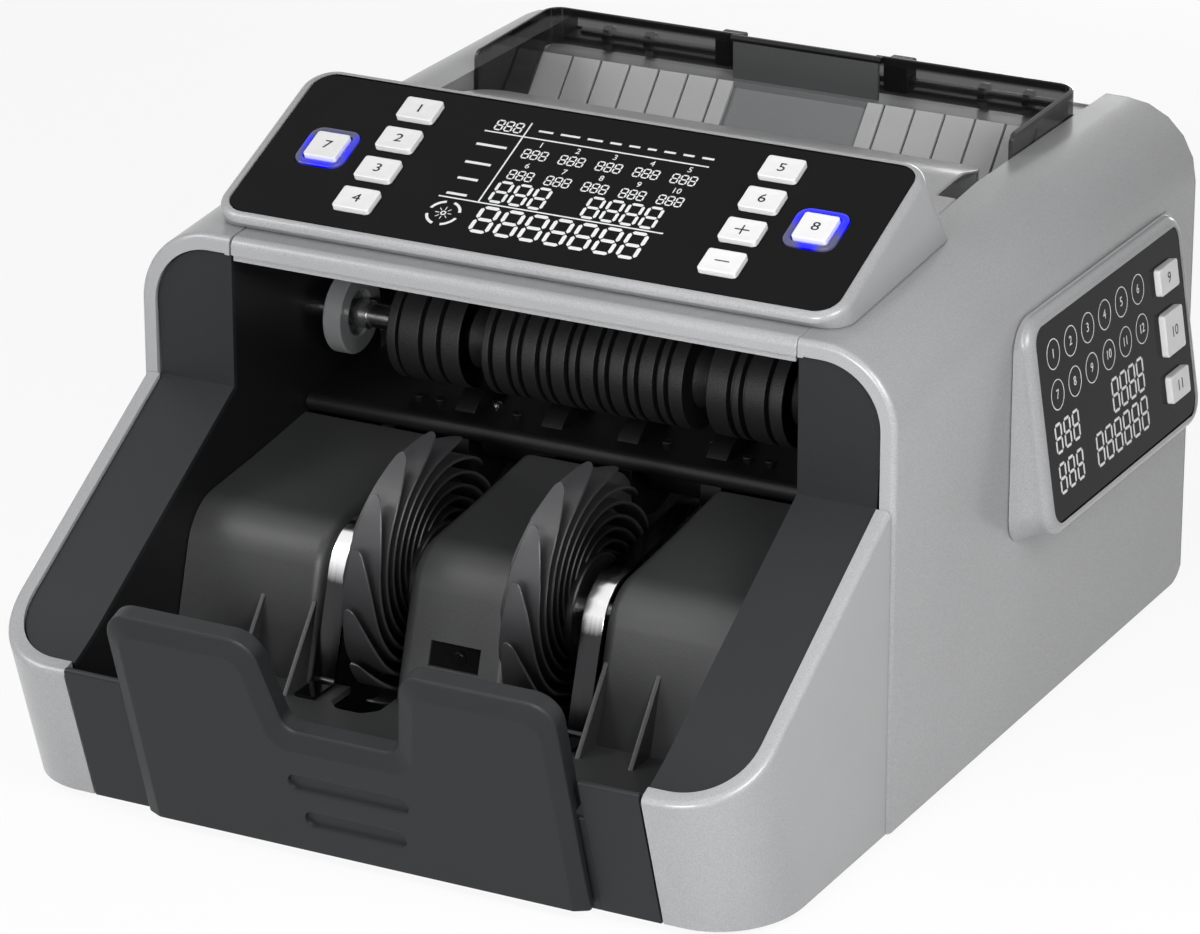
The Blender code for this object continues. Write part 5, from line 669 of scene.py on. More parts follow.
# %% [markdown]
# ## The bridge
#
# A silver bridge spans the roller bay between the two sides, with a rounded front lip, and ends behind in a
# bar with round corners. Its section from front to rear is carried across; near the bar the width shrinks with
# the plan, which is why each point of the section carries its own half width.

# %% Bridge hood
BAR_REAR, BAR_HALF, BAR_START = 165.0, 97.0, 121.9
FEED_LOW = RAMP_TOP[1] - (RAMP_TOP[0] - BAR_REAR) * RAMP_TAN + 16.4


def bridge_half(y):
    """Half width at a depth: full to the bar, then narrower, with a quarter circle at the rear corners."""
    half = np.where(y < BAR_START, CHANNEL - SEAM, BAR_HALF)
    into = np.clip(y - (BAR_REAR - 9.0), 0, 9.0)
    return half - (9.0 - np.sqrt(81.0 - into**2))


def bridge_hood():
    lip = ARCH - 5.8
    front = rounded([(0, lip), (0, ARCH), (30.0, roof(30.0))], [0, 3.5, 0], 10)[:-1]
    roof_y = np.array((30.0, 60.0, 90.0, BAR_START - 0.1, BAR_START + 0.1, CREST))
    top = np.vstack([front, np.column_stack([roof_y, roof(roof_y)]), [(145.0, ROOF)]])
    back_y = 156.0 + 9.0 * np.sin(np.linspace(0, QUARTER, 9))
    back = np.column_stack([back_y, ROOF - 4.5 * np.clip((back_y - 145.0) / 20.0, 0, 1)])
    under = [(BAR_REAR, FEED_LOW), (BAR_REAR - WALL, FEED_LOW), (BAR_REAR - WALL, ROOF - 2 * WALL), (CREST, ROOF - WALL)]
    under += [(BAR_START + 0.1, roof(BAR_START) - WALL - 0.1), (BAR_START - 0.1, roof(BAR_START) - WALL - 0.1)]
    under += [(4.4, lip + 3.0), (2.2, lip + 3.0), (2.2, lip)]
    line = np.vstack([top, back, under])
    half = bridge_half(line[:, 0])
    soft = 0.8
    share = np.concatenate([-np.ones(4), np.ones(4)])
    drop = soft * np.array((1.0, 0.5, 0.13, 0.0, 0.0, 0.13, 0.5, 1.0))
    inset = soft * np.array((0.0, 0.13, 0.5, 1.0, 1.0, 0.5, 0.13, 0.0))
    shrunk = line[:, None] + mitres(line)[:, None] * drop[None, :, None]
    x = share * (half[:, None] - inset)
    grid = np.concatenate([x[..., None], shrunk], axis=2)
    return [skin(grid.transpose(1, 0, 2), around=True, caps=(True, True))]


def hood_strip():
    """A thin set-back strip that shows under the bridge's front lip."""
    outline = [(1.0, ARCH - 8.0), (2.1, ARCH - 8.0), (2.1, ARCH - 5.0), (1.0, ARCH - 5.0)]
    return laid(slab(np.array(outline), -104.0, 104.0, 0.15), "X")


make("bridge_hood", bridge_hood() + hood_strip())
print("half width of the bridge at its front and bar, mm:", bridge_half(np.array((0.0, 150.0))))

# %% [markdown]
# ## The sloping key panel
#
# The panel is a wedge of silver plastic with a black window let into its top. It is built as a pile of rings:
# the first follow the window's bed, the next round the border, and the last lie on the roof. The top rings are
# drawn in the window's own plane and the foot ring on the roof, and the wall joins them point by point.

# %% The panel's plane and its housing
TILT = math.radians(23.4)
GLASS_LONG, GLASS_HALF, GLASS_ROUND = 72.9, 112.6, 8.0
PANEL_FOOT = np.array((0.0, 8.8, float(roof(8.8)) + 6.25))
PANEL_TURN = np.array(((1, 0, 0), (0, math.cos(TILT), math.sin(TILT)), (0, -math.sin(TILT), math.cos(TILT))))
PANEL_MIDDLE = (0.0, GLASS_LONG / 2)


def on_panel(shells):
    return laid(shells, PANEL_TURN, PANEL_FOOT)


def panel_housing():
    """Rings from the window's bed up, over the rounded border, down to the roof, and back up inside."""
    def border(front, side, back, radius):
        corners = [(-side, -front), (side, -front), (side, GLASS_LONG + back), (-side, GLASS_LONG + back)]
        return rounded(corners, radius, 10)

    bed = border(0.3, GLASS_HALF + 0.3, 0.3, GLASS_ROUND)
    top = border(3.4, GLASS_HALF + 3.8, 2.4, 11.0)
    rings = [pile(border(-2.6, GLASS_HALF - 2.6, -2.6, GLASS_ROUND - 2.0), [(0, -4.3), (0, -2.3)])]
    rings.append(pile(bed, [(0, -2.3), (0, -0.1), (0.15, 0.25), (0.5, 0.4)]))
    rings.append(pile(top, [(-2.8, 0.4), (-2.4, 0.36), (-1.4, 0.1), (-0.6, -0.5), (-0.15, -1.3), (0, -2.4)]))
    flat = np.concatenate(rings)
    upper = flat @ PANEL_TURN + PANEL_FOOT
    foot = rounded([(-116.4, 9.8), (116.4, 9.8), (116.4, 95.9), (-116.4, 95.9)], 9.0, 10)
    inner = shifted(foot, -2.4)
    base = [np.column_stack([line, roof(line[:, 1]) + 0.3]) for line in (foot, inner)]
    lowest = np.stack([upper[-1] * 0.02 + base[0] * 0.98, base[0], base[1]])
    return [skin(np.concatenate([upper, lowest]), around=True, along=True)]


make("panel_housing", panel_housing(), crease=24.0)
print("the panel stands", round(float(PANEL_FOOT[2] - roof(8.8)), 2), "mm over the roof at its front")

# %% [markdown]
# ## Window, keys and light rings
#
# The window is a black plate with an opening for each key. A key cap is an outline piled up with a rounded
# edge and a slightly dished top, on a flange below the window that keeps it in. Each square key at the sides
# sits in a light ring: a bright translucent frame whose section is half round.

# %% Window with its openings, keys and rings
KEY_COLUMN, RING_COLUMN, RING_ROW, KEY_PROUD = 67.8, 91.0, 36.3, 1.7
KEY_ROWS = 13.6 + 15.75 * np.arange(4)
panel_keys = [(f"{word}_key_{4 - row}", (sign * KEY_COLUMN, KEY_ROWS[row]), (6.9, 5.2))
              for sign, word in ((-1, "left"), (1, "right")) for row in range(4)]
ring_keys = [(f"{word}_ring_key", (sign * RING_COLUMN, RING_ROW), (6.2, 6.2)) for sign, word in ((-1, "left"), (1, "right"))]


def key_cap(place, half, under, proud):
    """Flange, straight side, quarter-round edge and a top that sinks by 0.15 mm towards its middle."""
    cap = box_outline(*half, 1.0, place, 5)
    rings = pile(cap, [(1.1, under - 0.9), (1.1, under), (0.0, under)] + edge(0.28, proud, 3))
    inward = np.array((0.14, 0.34, 0.6))[:, None, None]
    dish = rings[-1] + (np.array((*place, 0.0)) - rings[-1]) * inward
    dish[..., 2] = proud - np.array((0.03, 0.10, 0.15))[:, None]
    return [skin(np.concatenate([rings, dish]), around=True, caps=(True, True))]


def light_ring(place):
    """A frame round a square key: a closed section of foot, half-round crest and inner wall, carried round."""
    near = box_outline(6.9, 6.9, 1.9, place, 6)
    lift = np.linspace(0, math.pi, 9)
    levels = [(0.0, -2.0)] + [(1.25 - 1.25 * math.cos(t), 0.25 + 0.5 * math.sin(t)) for t in lift] + [(2.5, -2.0)]
    return [skin(pile(near, levels), around=True, along=True)]


holes = [box_outline(a + 0.35, b + 0.35, 1.85, place, 5) for _, place, (a, b) in panel_keys]
holes += [box_outline(9.6, 9.6, 4.5, place, 5) for _, place, _ in ring_keys]
window = box_outline(GLASS_HALF, GLASS_LONG / 2, GLASS_ROUND, PANEL_MIDDLE, 10)
make("panel_glass", on_panel(slab(window, -2.0, 0.0, 0.25, holes)))
for name, place, half in panel_keys + ring_keys:
    make(name, on_panel(key_cap(place, half, -2.3, KEY_PROUD)))
for (_, place, _), name in zip(ring_keys, ("left_key_ring", "right_key_ring")):
    make(name, on_panel(light_ring(place)))
print("keys on the panel:", len(panel_keys + ring_keys))

# %% [markdown]
# ## Printed figures
#
# The window shows rows of seven-segment figures, thin rules and small symbols. Each figure is seven slim
# six-sided bars; a whole row is one array of bars moved by the pitch. Plain numbers come from Blender's own
# font as a flat curve, made a mesh before it is placed. All marks are thin raised prints, so they have edges.

# %% Segments, rules, rings and plain numbers
PRINT = 0.06


def raised(flat, low=0.0, high=PRINT):
    """Closed thin prisms over an array of equal outlines (count, corners, 2)."""
    count, corners = flat.shape[:2]
    points = np.stack([np.dstack([flat, np.full((count, corners), h)]) for h in (low, high)], axis=1)
    index = np.arange(count * 2 * corners).reshape(count, 2, corners)
    after = np.roll(index, -1, axis=2)
    sides = np.stack([index[:, 0], after[:, 0], after[:, 1], index[:, 1]], axis=-1).reshape(-1, 4)
    return [(points.reshape(-1, 3), sides.tolist() + index.reshape(-1, corners).tolist())]


def figures(count, start, width, height, pitch, stroke, lean=0.0):
    """Seven-segment eights: bars between six nodes, each bar pointed at both ends."""
    low, mid, top = 0.0, height / 2, height
    nodes_at = np.array(((0, low), (width, low), (0, mid), (width, mid), (0, top), (width, top)))
    pairs = np.array(((0, 1), (2, 3), (4, 5), (0, 2), (2, 4), (1, 3), (3, 5)))
    first, last = nodes_at[pairs[:, 0]], nodes_at[pairs[:, 1]]
    run = (last - first) / np.linalg.norm(last - first, axis=1, keepdims=True)
    side = np.stack([-run[:, 1], run[:, 0]], axis=1) * stroke / 2
    first, last = first + run * stroke * 0.28, last - run * stroke * 0.28
    tip = run * stroke / 2
    bars = np.stack([first, first + tip - side, last - tip - side, last, last - tip + side, first + tip + side], axis=1)
    step = np.arange(count)[:, None, None, None] * np.array((pitch, 0.0))
    flat = (bars[None] + step).reshape(-1, 6, 2)
    flat[..., 0] += flat[..., 1] * lean
    return raised(flat + np.array(start))


def bars(spans, thick):
    """Thin rules between pairs of points."""
    spans = np.array(spans, float)
    run = spans[:, 1] - spans[:, 0]
    side = np.stack([-run[:, 1], run[:, 0]], axis=1) / np.linalg.norm(run, axis=1, keepdims=True) * thick / 2
    return raised(np.stack([spans[:, 0] - side, spans[:, 1] - side, spans[:, 1] + side, spans[:, 0] + side], axis=1))


def ring_mark(place, radius, thick, start=0.0, sweep=2 * math.pi, steps=40):
    """An arc of a flat ring, closed on itself when it sweeps a full turn."""
    turn = np.linspace(start, start + sweep, steps + 1)
    spoke = np.stack([np.cos(turn), np.sin(turn)], axis=1)
    corners = ((radius - thick / 2, 0.0), (radius + thick / 2, 0.0), (radius + thick / 2, PRINT), (radius - thick / 2, PRINT))
    grid = np.stack([np.column_stack([spoke * r + np.array(place), np.full(len(turn), h)]) for r, h in corners], axis=1)
    if sweep > 6.28:
        return [skin(grid[:-1], around=True, along=True)]
    return [skin(grid, around=True, caps=(True, True))]


def lettering(text, place, size, wide=1.0, turn=0.0):
    """Flat characters of the built-in font, centred on a place; their outlines are raised by the print."""
    curve = bpy.data.curves.new("figure", "FONT")
    curve.body, curve.size, curve.align_x, curve.align_y = text, size, "CENTER", "CENTER"
    curve.extrude, curve.resolution_u = PRINT / 2, 3
    holder = bpy.data.objects.new("figure", curve)
    mesh = bpy.data.meshes.new_from_object(holder)
    points = np.empty(len(mesh.vertices) * 3)
    mesh.vertices.foreach_get("co", points)
    points = points.reshape(-1, 3) * (wide, 1.0, 1.0) + (0.0, 0.0, PRINT / 2)
    faces = [list(face.vertices) for face in mesh.polygons]
    bpy.data.objects.remove(holder)
    bpy.data.meshes.remove(mesh)
    bpy.data.curves.remove(curve)
    c, s = math.cos(turn), math.sin(turn)
    return [(points @ np.array(((c, s, 0), (-s, c, 0), (0, 0, 1))) + (*place, 0.0), faces)]


display = bars([((-41.3, 57.1), (42.6, 57.1)), ((-26.7, 23.1), (-26.7, 64.3)), ((-41.5, 22.9), (41.8, 22.9))], 0.55)
display += figures(3, (-38.6, 58.5), 2.5, 4.7, 3.6, 0.58)
for row, s in enumerate((47.1, 36.3)):
    for group in range(5):
        x = -22.8 + 13.87 * group
        display += figures(3, (x, s), 2.3, 4.3, 3.25, 0.5)
        display += lettering(str(5 * row + group + 1), (x + 4.4, s + 7.2), 3.6)
display += figures(3, (-23.6, 24.4), 4.9, 9.8, 7.15, 1.15)
display += figures(4, (10.6, 24.3), 4.9, 9.8, 7.15, 1.15)
display += figures(7, (-23.4, 9.3), 6.2, 11.8, 9.1, 1.45)
for k in range(4):
    display += ring_mark((-35.9, 15.2), 5.6, 1.0, 0.25 + k * QUARTER, 1.05, 12)
spokes = np.arange(8) * math.pi / 4
display += bars([(( -35.9 + 1.6 * math.cos(t), 15.2 + 1.6 * math.sin(t)), (-35.9 + 3.0 * math.cos(t), 15.2 + 3.0 * math.sin(t))) for t in spokes], 0.28)
display += ring_mark((-35.9, 15.2), 0.8, 0.5)
for k, width in enumerate((5.4, 7.2, 5.6, 4.2, 4.0, 3.2, 4.2, 4.0, 4.4)):
    x = -22.6 + sum((5.4, 7.2, 5.6, 4.2, 4.0, 3.2, 4.2, 4.0, 4.4)[:k]) + k * 2.9
    display += bars([((x, 61.0), (x + width, 61.0))], 0.9)
for s, x, width in ((50.3, -41.0, 11.4), (41.0, -40.6, 9.6), (32.9, -39.4, 7.6), (25.0, -39.6, 7.6)):
    display += bars([((x, s), (x + width, s))], 1.1)
make("panel_figures", on_panel([(points + (0, 0, 0.02), faces) for points, faces in display]), "white_key", "housing")

KEY_DISH = 0.13
captions = dict(left_key_1="1", left_key_2="2", left_key_3="3", left_key_4="4", right_key_1="5", right_key_2="6")
captions.update(left_ring_key="7", right_ring_key="8")
for name, place, half in panel_keys + ring_keys:
    if name in captions:
        mark = lettering(captions[name], place, 5.6, 1.15)
    else:
        mark = bars([((place[0] - 2.6, place[1]), (place[0] + 2.6, place[1]))], 0.5)
        if name == "right_key_3":
            mark += bars([((place[0], place[1] - 2.2), (place[0], place[1] + 2.2))], 0.5)
    print_on = [(points + (0, 0, KEY_PROUD - KEY_DISH), faces) for points, faces in mark]
    make(name + "_caption", on_panel(print_on), "black_plastic", name)
print("marks on the window:", sum(len(faces) for _, faces in display), "faces")

# %% [markdown]
# ## The side pod
#
# On the right a second window stands out of the side on a flared foot. The foot blends into the side in a
# hollow curve, and the rim is rounded. Its rings are drawn half in the plane of the side cover and half in the
# tilted plane of the window; the rings between them mix the two, with a share that eases like a fillet.

# %% Pod, its window, keys and figures
LEAN_BACK, SIDE_PROUD = math.radians(8.5), 2.1
POD_HALF = np.array((61.85, 69.5 / math.cos(LEAN_BACK) / 2))
POD_PLACE = np.array((HALF + 4.0 + POD_HALF[1] * math.sin(LEAN_BACK), 159.65, 109.25))
POD_COS, POD_SIN = math.cos(LEAN_BACK), math.sin(LEAN_BACK)
POD_TURN = np.array(((0.0, 1.0, 0.0), (-POD_SIN, 0.0, POD_COS), (POD_COS, 0.0, POD_SIN)))


def on_pod(shells):
    return laid(shells, POD_TURN, POD_PLACE)


def side_pod():
    foot_flat = box_outline(69.25, 39.75, 10.0, (159.65, 107.25), 10)
    foot = np.column_stack([np.full(len(foot_flat), HALF + 0.3), foot_flat])
    rim_line = box_outline(POD_HALF[0] + 4.4, POD_HALF[1] + 3.0, 10.0, (0, 0), 10)
    rim = pile(rim_line, [(0.0, -2.6)])[0] @ POD_TURN + POD_PLACE
    share = np.linspace(0, 1, 9)[1:-1]
    ease = (1 - (1 - share) ** 1.7)[:, None, None]
    wall = foot[None] + (rim - foot)[None] * ease
    wall[..., 0] = foot[None, :, 0] + (rim - foot)[None, :, 0] * share[:, None]
    crest = pile(rim_line, [(-0.2, -1.7), (-0.8, -0.8), (-1.7, -0.1), (-2.6, 0.3), (-3.3, 0.5), (-3.9, 0.5)])
    bed = box_outline(POD_HALF[0] + 0.3, POD_HALF[1] + 0.3, 7.3, (0, 0), 10)
    well = pile(bed, [(0.25, 0.35), (0, 0.1), (0, -1.8), (-2.1, -1.8), (-2.1, -3.0)])
    inner = np.concatenate([crest, well]) @ POD_TURN + POD_PLACE
    back = foot[None] * (1.0, 0.0, 0.0) + np.dstack([np.zeros((1, len(foot))), shifted(foot_flat, -12.0)[None]])
    return [skin(np.concatenate([foot[None], wall, rim[None], inner, back]), around=True, along=True)]


pod_keys = [("side_key_1", (46.25, 19.36), (7.9, 4.8)), ("side_key_2", (46.25, 0.06), (7.9, 7.5)),
            ("side_key_3", (46.25, -19.44), (7.9, 4.9))]
make("side_pod_bezel", side_pod())
holes = [box_outline(a + 0.35, b + 0.35, 1.85, place, 5) for _, place, (a, b) in pod_keys]
make("side_pod_glass", on_pod(slab(box_outline(*POD_HALF, 7.0, (0, 0), 10), -1.5, 0.0, 0.2, holes)))
for name, place, half in pod_keys:
    make(name, on_pod(key_cap(place, half, -1.8, SIDE_PROUD)))
    mark = lettering(str(int(name[-1]) + 8), place, 5.4, 1.1)
    make(name + "_caption", on_pod([(p + (0, 0, SIDE_PROUD - KEY_DISH), f) for p, f in mark]), "black_plastic", name)


def pod_spot(y, z):
    """A place on the pod's window, from its depth and height in the machine."""
    return y - POD_PLACE[1], (z - POD_PLACE[2]) / POD_COS


side_figures = []
for row, z in enumerate((131.2, 117.2)):
    for k in range(6):
        place = pod_spot(110.7 + 14.46 * k, z)
        side_figures += ring_mark(place, 5.1, 0.35) + lettering(str(6 * row + k + 1), place, 4.6)
for count, y, z, width, height, pitch in ((3, 105.6, 98.2, 4.6, 9.6, 7.2), (4, 153.6, 97.0, 4.9, 11.2, 7.2),
                                         (6, 136.8, 83.4, 5.2, 10.9, 7.7), (3, 105.6, 84.4, 4.6, 9.8, 7.2)):
    side_figures += figures(count, pod_spot(y, z), width, height, pitch, 1.0)
make("side_figures", on_pod([(p + (0, 0, 0.02), f) for p, f in side_figures]), "white_key", "housing")
print("pod window, mm:", np.round(2 * POD_HALF, 1))

# %% [markdown]
# ## The pocket tray
#
# Notes land in the pocket in front of three humps, with a slot for a wheel between each pair. A hump is a thin
# moulded shell: its section has a rounded edge on each open side, and it is carried along one line that climbs
# steeply from the floor, turns through a large radius and runs back. The floor is a plate with two slots, and
# the front skirt is a bent sheet with a lowered middle.

# %% Humps, floor, skirt, ribs and sensor
FLOOR, TRAY_WALL, HUMP_FOOT = 31.0, 2.4, 42.2
HUMP_CORNER, HUMP_CREST, HUMP_END = (-27.3, 79.8), (11.0, 83.5), (47.0, 88.0)
CENTRE_EDGE, OUTER_EDGE = 21.0, 51.5
WINDOW_HALF, WINDOW_SPAN = 9.3, (44.5, 52.8)


def hump_front(z):
    return -HUMP_FOOT + (z - FLOOR) * (HUMP_CORNER[0] + HUMP_FOOT) / (HUMP_CORNER[1] - FLOOR)


def hump_line(steps=20):
    """Foot, two places at the sensor window, an arc of 19 mm radius at the corner, then back to the end."""
    root = FLOOR - TRAY_WALL / 2
    bend = rounded([(hump_front(root), root), HUMP_CORNER, HUMP_CREST], [0, 19.0, 0], steps)[1:-1]
    front = [(hump_front(z), z) for z in (root, *WINDOW_SPAN)]
    return np.vstack([front, bend, [HUMP_CREST, HUMP_END]])


def hump(left, right):
    """A shell between two places across; an edge given as (place, True) is rounded and has a side wall."""
    depth, radius = 12.0, 5.0
    turn = np.linspace(0, QUARTER, 9)
    outer, inner = [], []
    for (place, open_side), inward in ((left, 1.0), (right, -1.0)):
        if not open_side:
            outer.append(np.array(((place, 0.0),)))
            inner.append(np.array(((place, TRAY_WALL),)))
            continue
        for group, r, skirt in ((outer, radius, 0.0), (inner, radius - TRAY_WALL, TRAY_WALL)):
            x = place + inward * (radius - r * np.cos(turn))
            line = np.column_stack([x, radius - r * np.sin(turn)])
            group.append(np.vstack([[(place + inward * skirt, depth)], line]))
    middle = np.array(((-WINDOW_HALF, 0.0), (WINDOW_HALF, 0.0))) if left[0] < 0 < right[0] else np.empty((0, 2))
    top = np.vstack([outer[0], middle, outer[1][::-1]])
    section = np.vstack([top, inner[1], inner[0][::-1]])
    line = hump_line()
    normal = mitres(line, False)
    y = line[:, None, 0] + normal[:, None, 0] * section[None, :, 1]
    z = line[:, None, 1] + normal[:, None, 1] * section[None, :, 1]
    grid = np.stack([np.broadcast_to(section[:, 0], y.shape), y, z], axis=2)
    points, faces = skin(grid, around=True, caps=(True, True))
    if len(middle):
        first = len(outer[0])
        hole = [len(section) * row + first + k for row, k in ((1, 0), (1, 1), (2, 1), (2, 0))]
        faces = [face for face in faces if sorted(face) != sorted(hole)]
        sunk = points[hole] + (0.0, 1.9, 0.0)
        base = len(points)
        points = np.vstack([points, sunk])
        faces += [[hole[k], hole[(k + 1) % 4], base + (k + 1) % 4, base + k] for k in range(4)]
        faces.append([base + k for k in range(4)])
    return [(points, faces)]


def tray_floor():
    """The floor's outline goes round both wheel slots, which are open at the rear and chamfered in front."""
    near, far, front, rear = 20.6, 38.8, -55.4, -38.0
    notch = [(far, rear), (far, front + 4.5), (far - 4.5, front), (near + 4.5, front), (near, front + 4.5), (near, rear)]
    other = [(-x, y) for x, y in notch[::-1]]
    lip = front_face(FLOOR) + 2.0
    corners = [(-104.7, lip), (104.7, lip), (104.7, rear)] + notch + other + [(-104.7, rear)]
    radii = [0, 0, 0] + [0, 2.0, 2.0, 2.0, 2.0, 0] * 2 + [0]
    return slab(rounded(corners, radii, 4), FLOOR - TRAY_WALL, FLOOR, 0.05)


def skirt(low, high, half, inset=0.0):
    """The leaning front sheet between two heights, rounded along its upper edge."""
    wall = TRAY_WALL / math.cos(math.atan(LEAN))
    round_top = arc((0.0, 0.0), wall / 2, math.pi, 0, 8)
    top = np.column_stack([front_face(high - wall / 2) + wall / 2 + round_top[:, 0], high - wall / 2 + round_top[:, 1]])
    outline = np.vstack([[(front_face(low), low)], top, [(front_face(low) + wall, low)]])[::-1]
    return laid(slab(outline, -half, half, 0.2), "X")


def ribs():
    """Four thin fins whose edge runs from the floor to the front of the outer humps."""
    shells = []
    corners = [(-55.5, 29.8), (hump_front(29.8) + 1.2, 29.8), (-33.6, 56.9), (-34.0, 56.9)]
    for x in (-73.8, -54.5, 54.5, 73.8):
        shells += laid(slab(np.array(corners), x - 0.9, x + 0.9, 0.35), "X")
    return shells


def sensor():
    """A black sheet, painted shade for the dark cavity, closes the window, and a small lens stands in it: a barrel
    along y with a domed end.
    """
    turn = np.linspace(0, QUARTER, 6)
    dome = list(zip(-36.4 - 0.5 * np.sin(turn), 2.4 * np.cos(turn) * (turn < 1.57)))
    profile = [(-30.0, 0.0), (-30.0, 2.9), (-36.4, 2.9)] + dome
    shells = turned(profile, (0.0, 0.0), 32, closed=False)
    lens = [(p @ np.array(((0, 1, 0), (1, 0, 0), (0, 0, 1.0))) + (1.3, 0.0, 48.3), f) for p, f in shells]
    # painted shade: a black sheet where the sensor window's cavity lies in shadow
    low, high = WINDOW_SPAN[0] + 0.15, WINDOW_SPAN[1] - 0.15
    corners = [(hump_front(low) + 0.9, low), (hump_front(low) + 1.85, low)]
    corners += [(hump_front(high) + 1.85, high), (hump_front(high) + 0.9, high)]
    return lens + laid(slab(np.array(corners), 0.15 - WINDOW_HALF, WINDOW_HALF - 0.15, 0.1), "X")


tray = hump((-CENTRE_EDGE, True), (CENTRE_EDGE, True)) + tray_floor() + ribs()
tray += hump((-104.7, False), (-OUTER_EDGE, True)) + hump((OUTER_EDGE, True), (104.7, False))
front_skirt = skirt(0.0, 37.0, 83.5)
for side in (-1, 1):
    corner = skirt(0.0, 51.4, 10.6)
    front_skirt += [(points + (side * 94.1, 0.0, 0.0), faces) for points, faces in corner]
make("pocket_tray", tray, finish="pocket_black")
make("tray_skirt", front_skirt, "dark_plastic", "housing")
make("sensor_lens", sensor(), "black_glass", "housing")
print("the humps climb at", round(math.degrees(math.atan2(48.8, 14.9)), 1), "degrees")

# %% [markdown]
# ## The stop plate
#
# The plate that holds the notes leans forward. It has a broad chamfer all round, a deep notch for the fingers
# and two grip slots. One outline serves every ring: moved outwards and back it gives the chamfer, and a strip
# of it along the top makes the raised rim behind.

# %% Front stop plate
STOP_LEAN = math.radians(17.5)
STOP_TURN = np.array(((1, 0, 0), (0, -math.sin(STOP_LEAN), math.cos(STOP_LEAN)), (0, -math.cos(STOP_LEAN), -math.sin(STOP_LEAN))))
STOP_FOOT = (0.0, -98.0, 0.0)


def stop_outline(grow, steps=10):
    """Half widths 76, 32.5 and 26.2 mm and heights 76.5 and 42.5 mm, grown sideways, and upwards by 1.3 times."""
    rise = 1.3 * grow
    right = [(76.0 + grow, 0.4), (76.0 + grow, 76.5 + rise), (32.5 - grow, 76.5 + rise), (26.2 - grow, 42.5 + rise)]
    left = [(-x, y) for x, y in right[::-1]]
    outer, notch = 6.5 + grow / 2, 8.5 - grow / 2
    return rounded(right + left, [0, outer, outer, notch, notch, outer, outer, 0], steps)


def ring_at(grow, height):
    line = stop_outline(grow)
    return np.column_stack([line, np.full(len(line), height)])


def stop_plate():
    grips = [box_outline(half, 3.3, 3.25, (0, up), 8) for up, half in ((29.5, 22.0), (14.6, 18.5))]
    front = [(0.0, 0.0), (0.5, -0.05), (1.2, -0.3), (4.6, -1.6), (5.2, -1.95), (5.5, -2.5), (5.5, -4.4)]
    rings = [skin(np.stack([ring_at(*level) for level in front]), around=True)]
    rings.append(lid([stop_outline(0.0)] + [shifted(grip, 0.5) for grip in grips], 0.0))
    rings.append(lid([stop_outline(5.5)], -4.4))
    for grip in grips:
        well = pile(grip, [(0.5, 0.0), (0.15, -0.15), (0.0, -0.5), (-0.3, -1.3), (-0.8, -1.4)])
        rings.append(skin(well, around=True))
        rings.append(lid([well[-1, :, :2]], -1.4))
    rim_line = stop_outline(5.5)
    keep = rim_line[:, 1] > 40.0
    strip = np.roll(rim_line, -int(np.argmax(~keep)), axis=0)
    strip = strip[strip[:, 1] > 40.0]
    ends = [np.array(((strip[0, 0], 40.0),)), np.array(((strip[-1, 0], 40.0),))]
    strip = np.vstack([ends[0], strip, ends[1]])
    rim = np.vstack([strip, shifted(strip, -3.0, False)[::-1]])
    return rings + slab(rim, -8.4, -4.0, 0.5)


make("front_stop_plate", laid(stop_plate(), STOP_TURN, STOP_FOOT))
print("stop plate outline:", len(stop_outline(0.0)), "points")

# %% [markdown]
# ## Steel strips
#
# A bent steel strip guides the notes beside each wheel, from a toe on the floor up over the hump, with a painted
# highlight along its bend. It follows the hump's own line, moved down by a millimetre, so it lies let into the plastic.

# %% Guide strips
def guide_strip():
    top = FLOOR + 1.3
    line = hump_line(20)
    over = shifted(line, 1.0, False)
    over = over[(over[:, 1] > top + 1.0) & (over[:, 0] < 40.0)]
    end = (40.0, over[-1, 1] + (40.0 - over[-1, 0]) * 0.11)
    toe = rounded([(-53.5, top), (hump_front(top) + 1.0, top), over[0]], [0, 2.0, 0], 6)[1:-1]
    path = np.vstack([[(-53.5, top)], toe, over, [end]])
    return laid(slab(sheet(path, 1.0)[::-1], OUTER_EDGE - 8.1, OUTER_EDGE - 0.3, 0.2), "X")


strip = guide_strip()
for side, name in ((-1, "left_guide_strip"), (1, "right_guide_strip")):
    make(name, mirrored(strip, side), finish="guide_steel_painted_highlight")
print("strip faces:", sum(len(faces) for _, faces in strip))

# %% [markdown]
# ## The bladed stacker wheels
#
# Each wheel carries fifteen long thin blades that wind out of the hub and catch one note each. A blade is one
# surface of two parameters: u runs from the tip to the root and v round a thin section. The distance from the
# axis falls in proportion to u, the angle turns back by 147 degrees times u to the power 1.16, and both edges
# spread from the pointed tip as measured functions of u. One blade is computed once and turned fourteen times.

# %% One blade, fifteen times, on two wheels
BLADES, BLADE_THICK = 15, 1.1


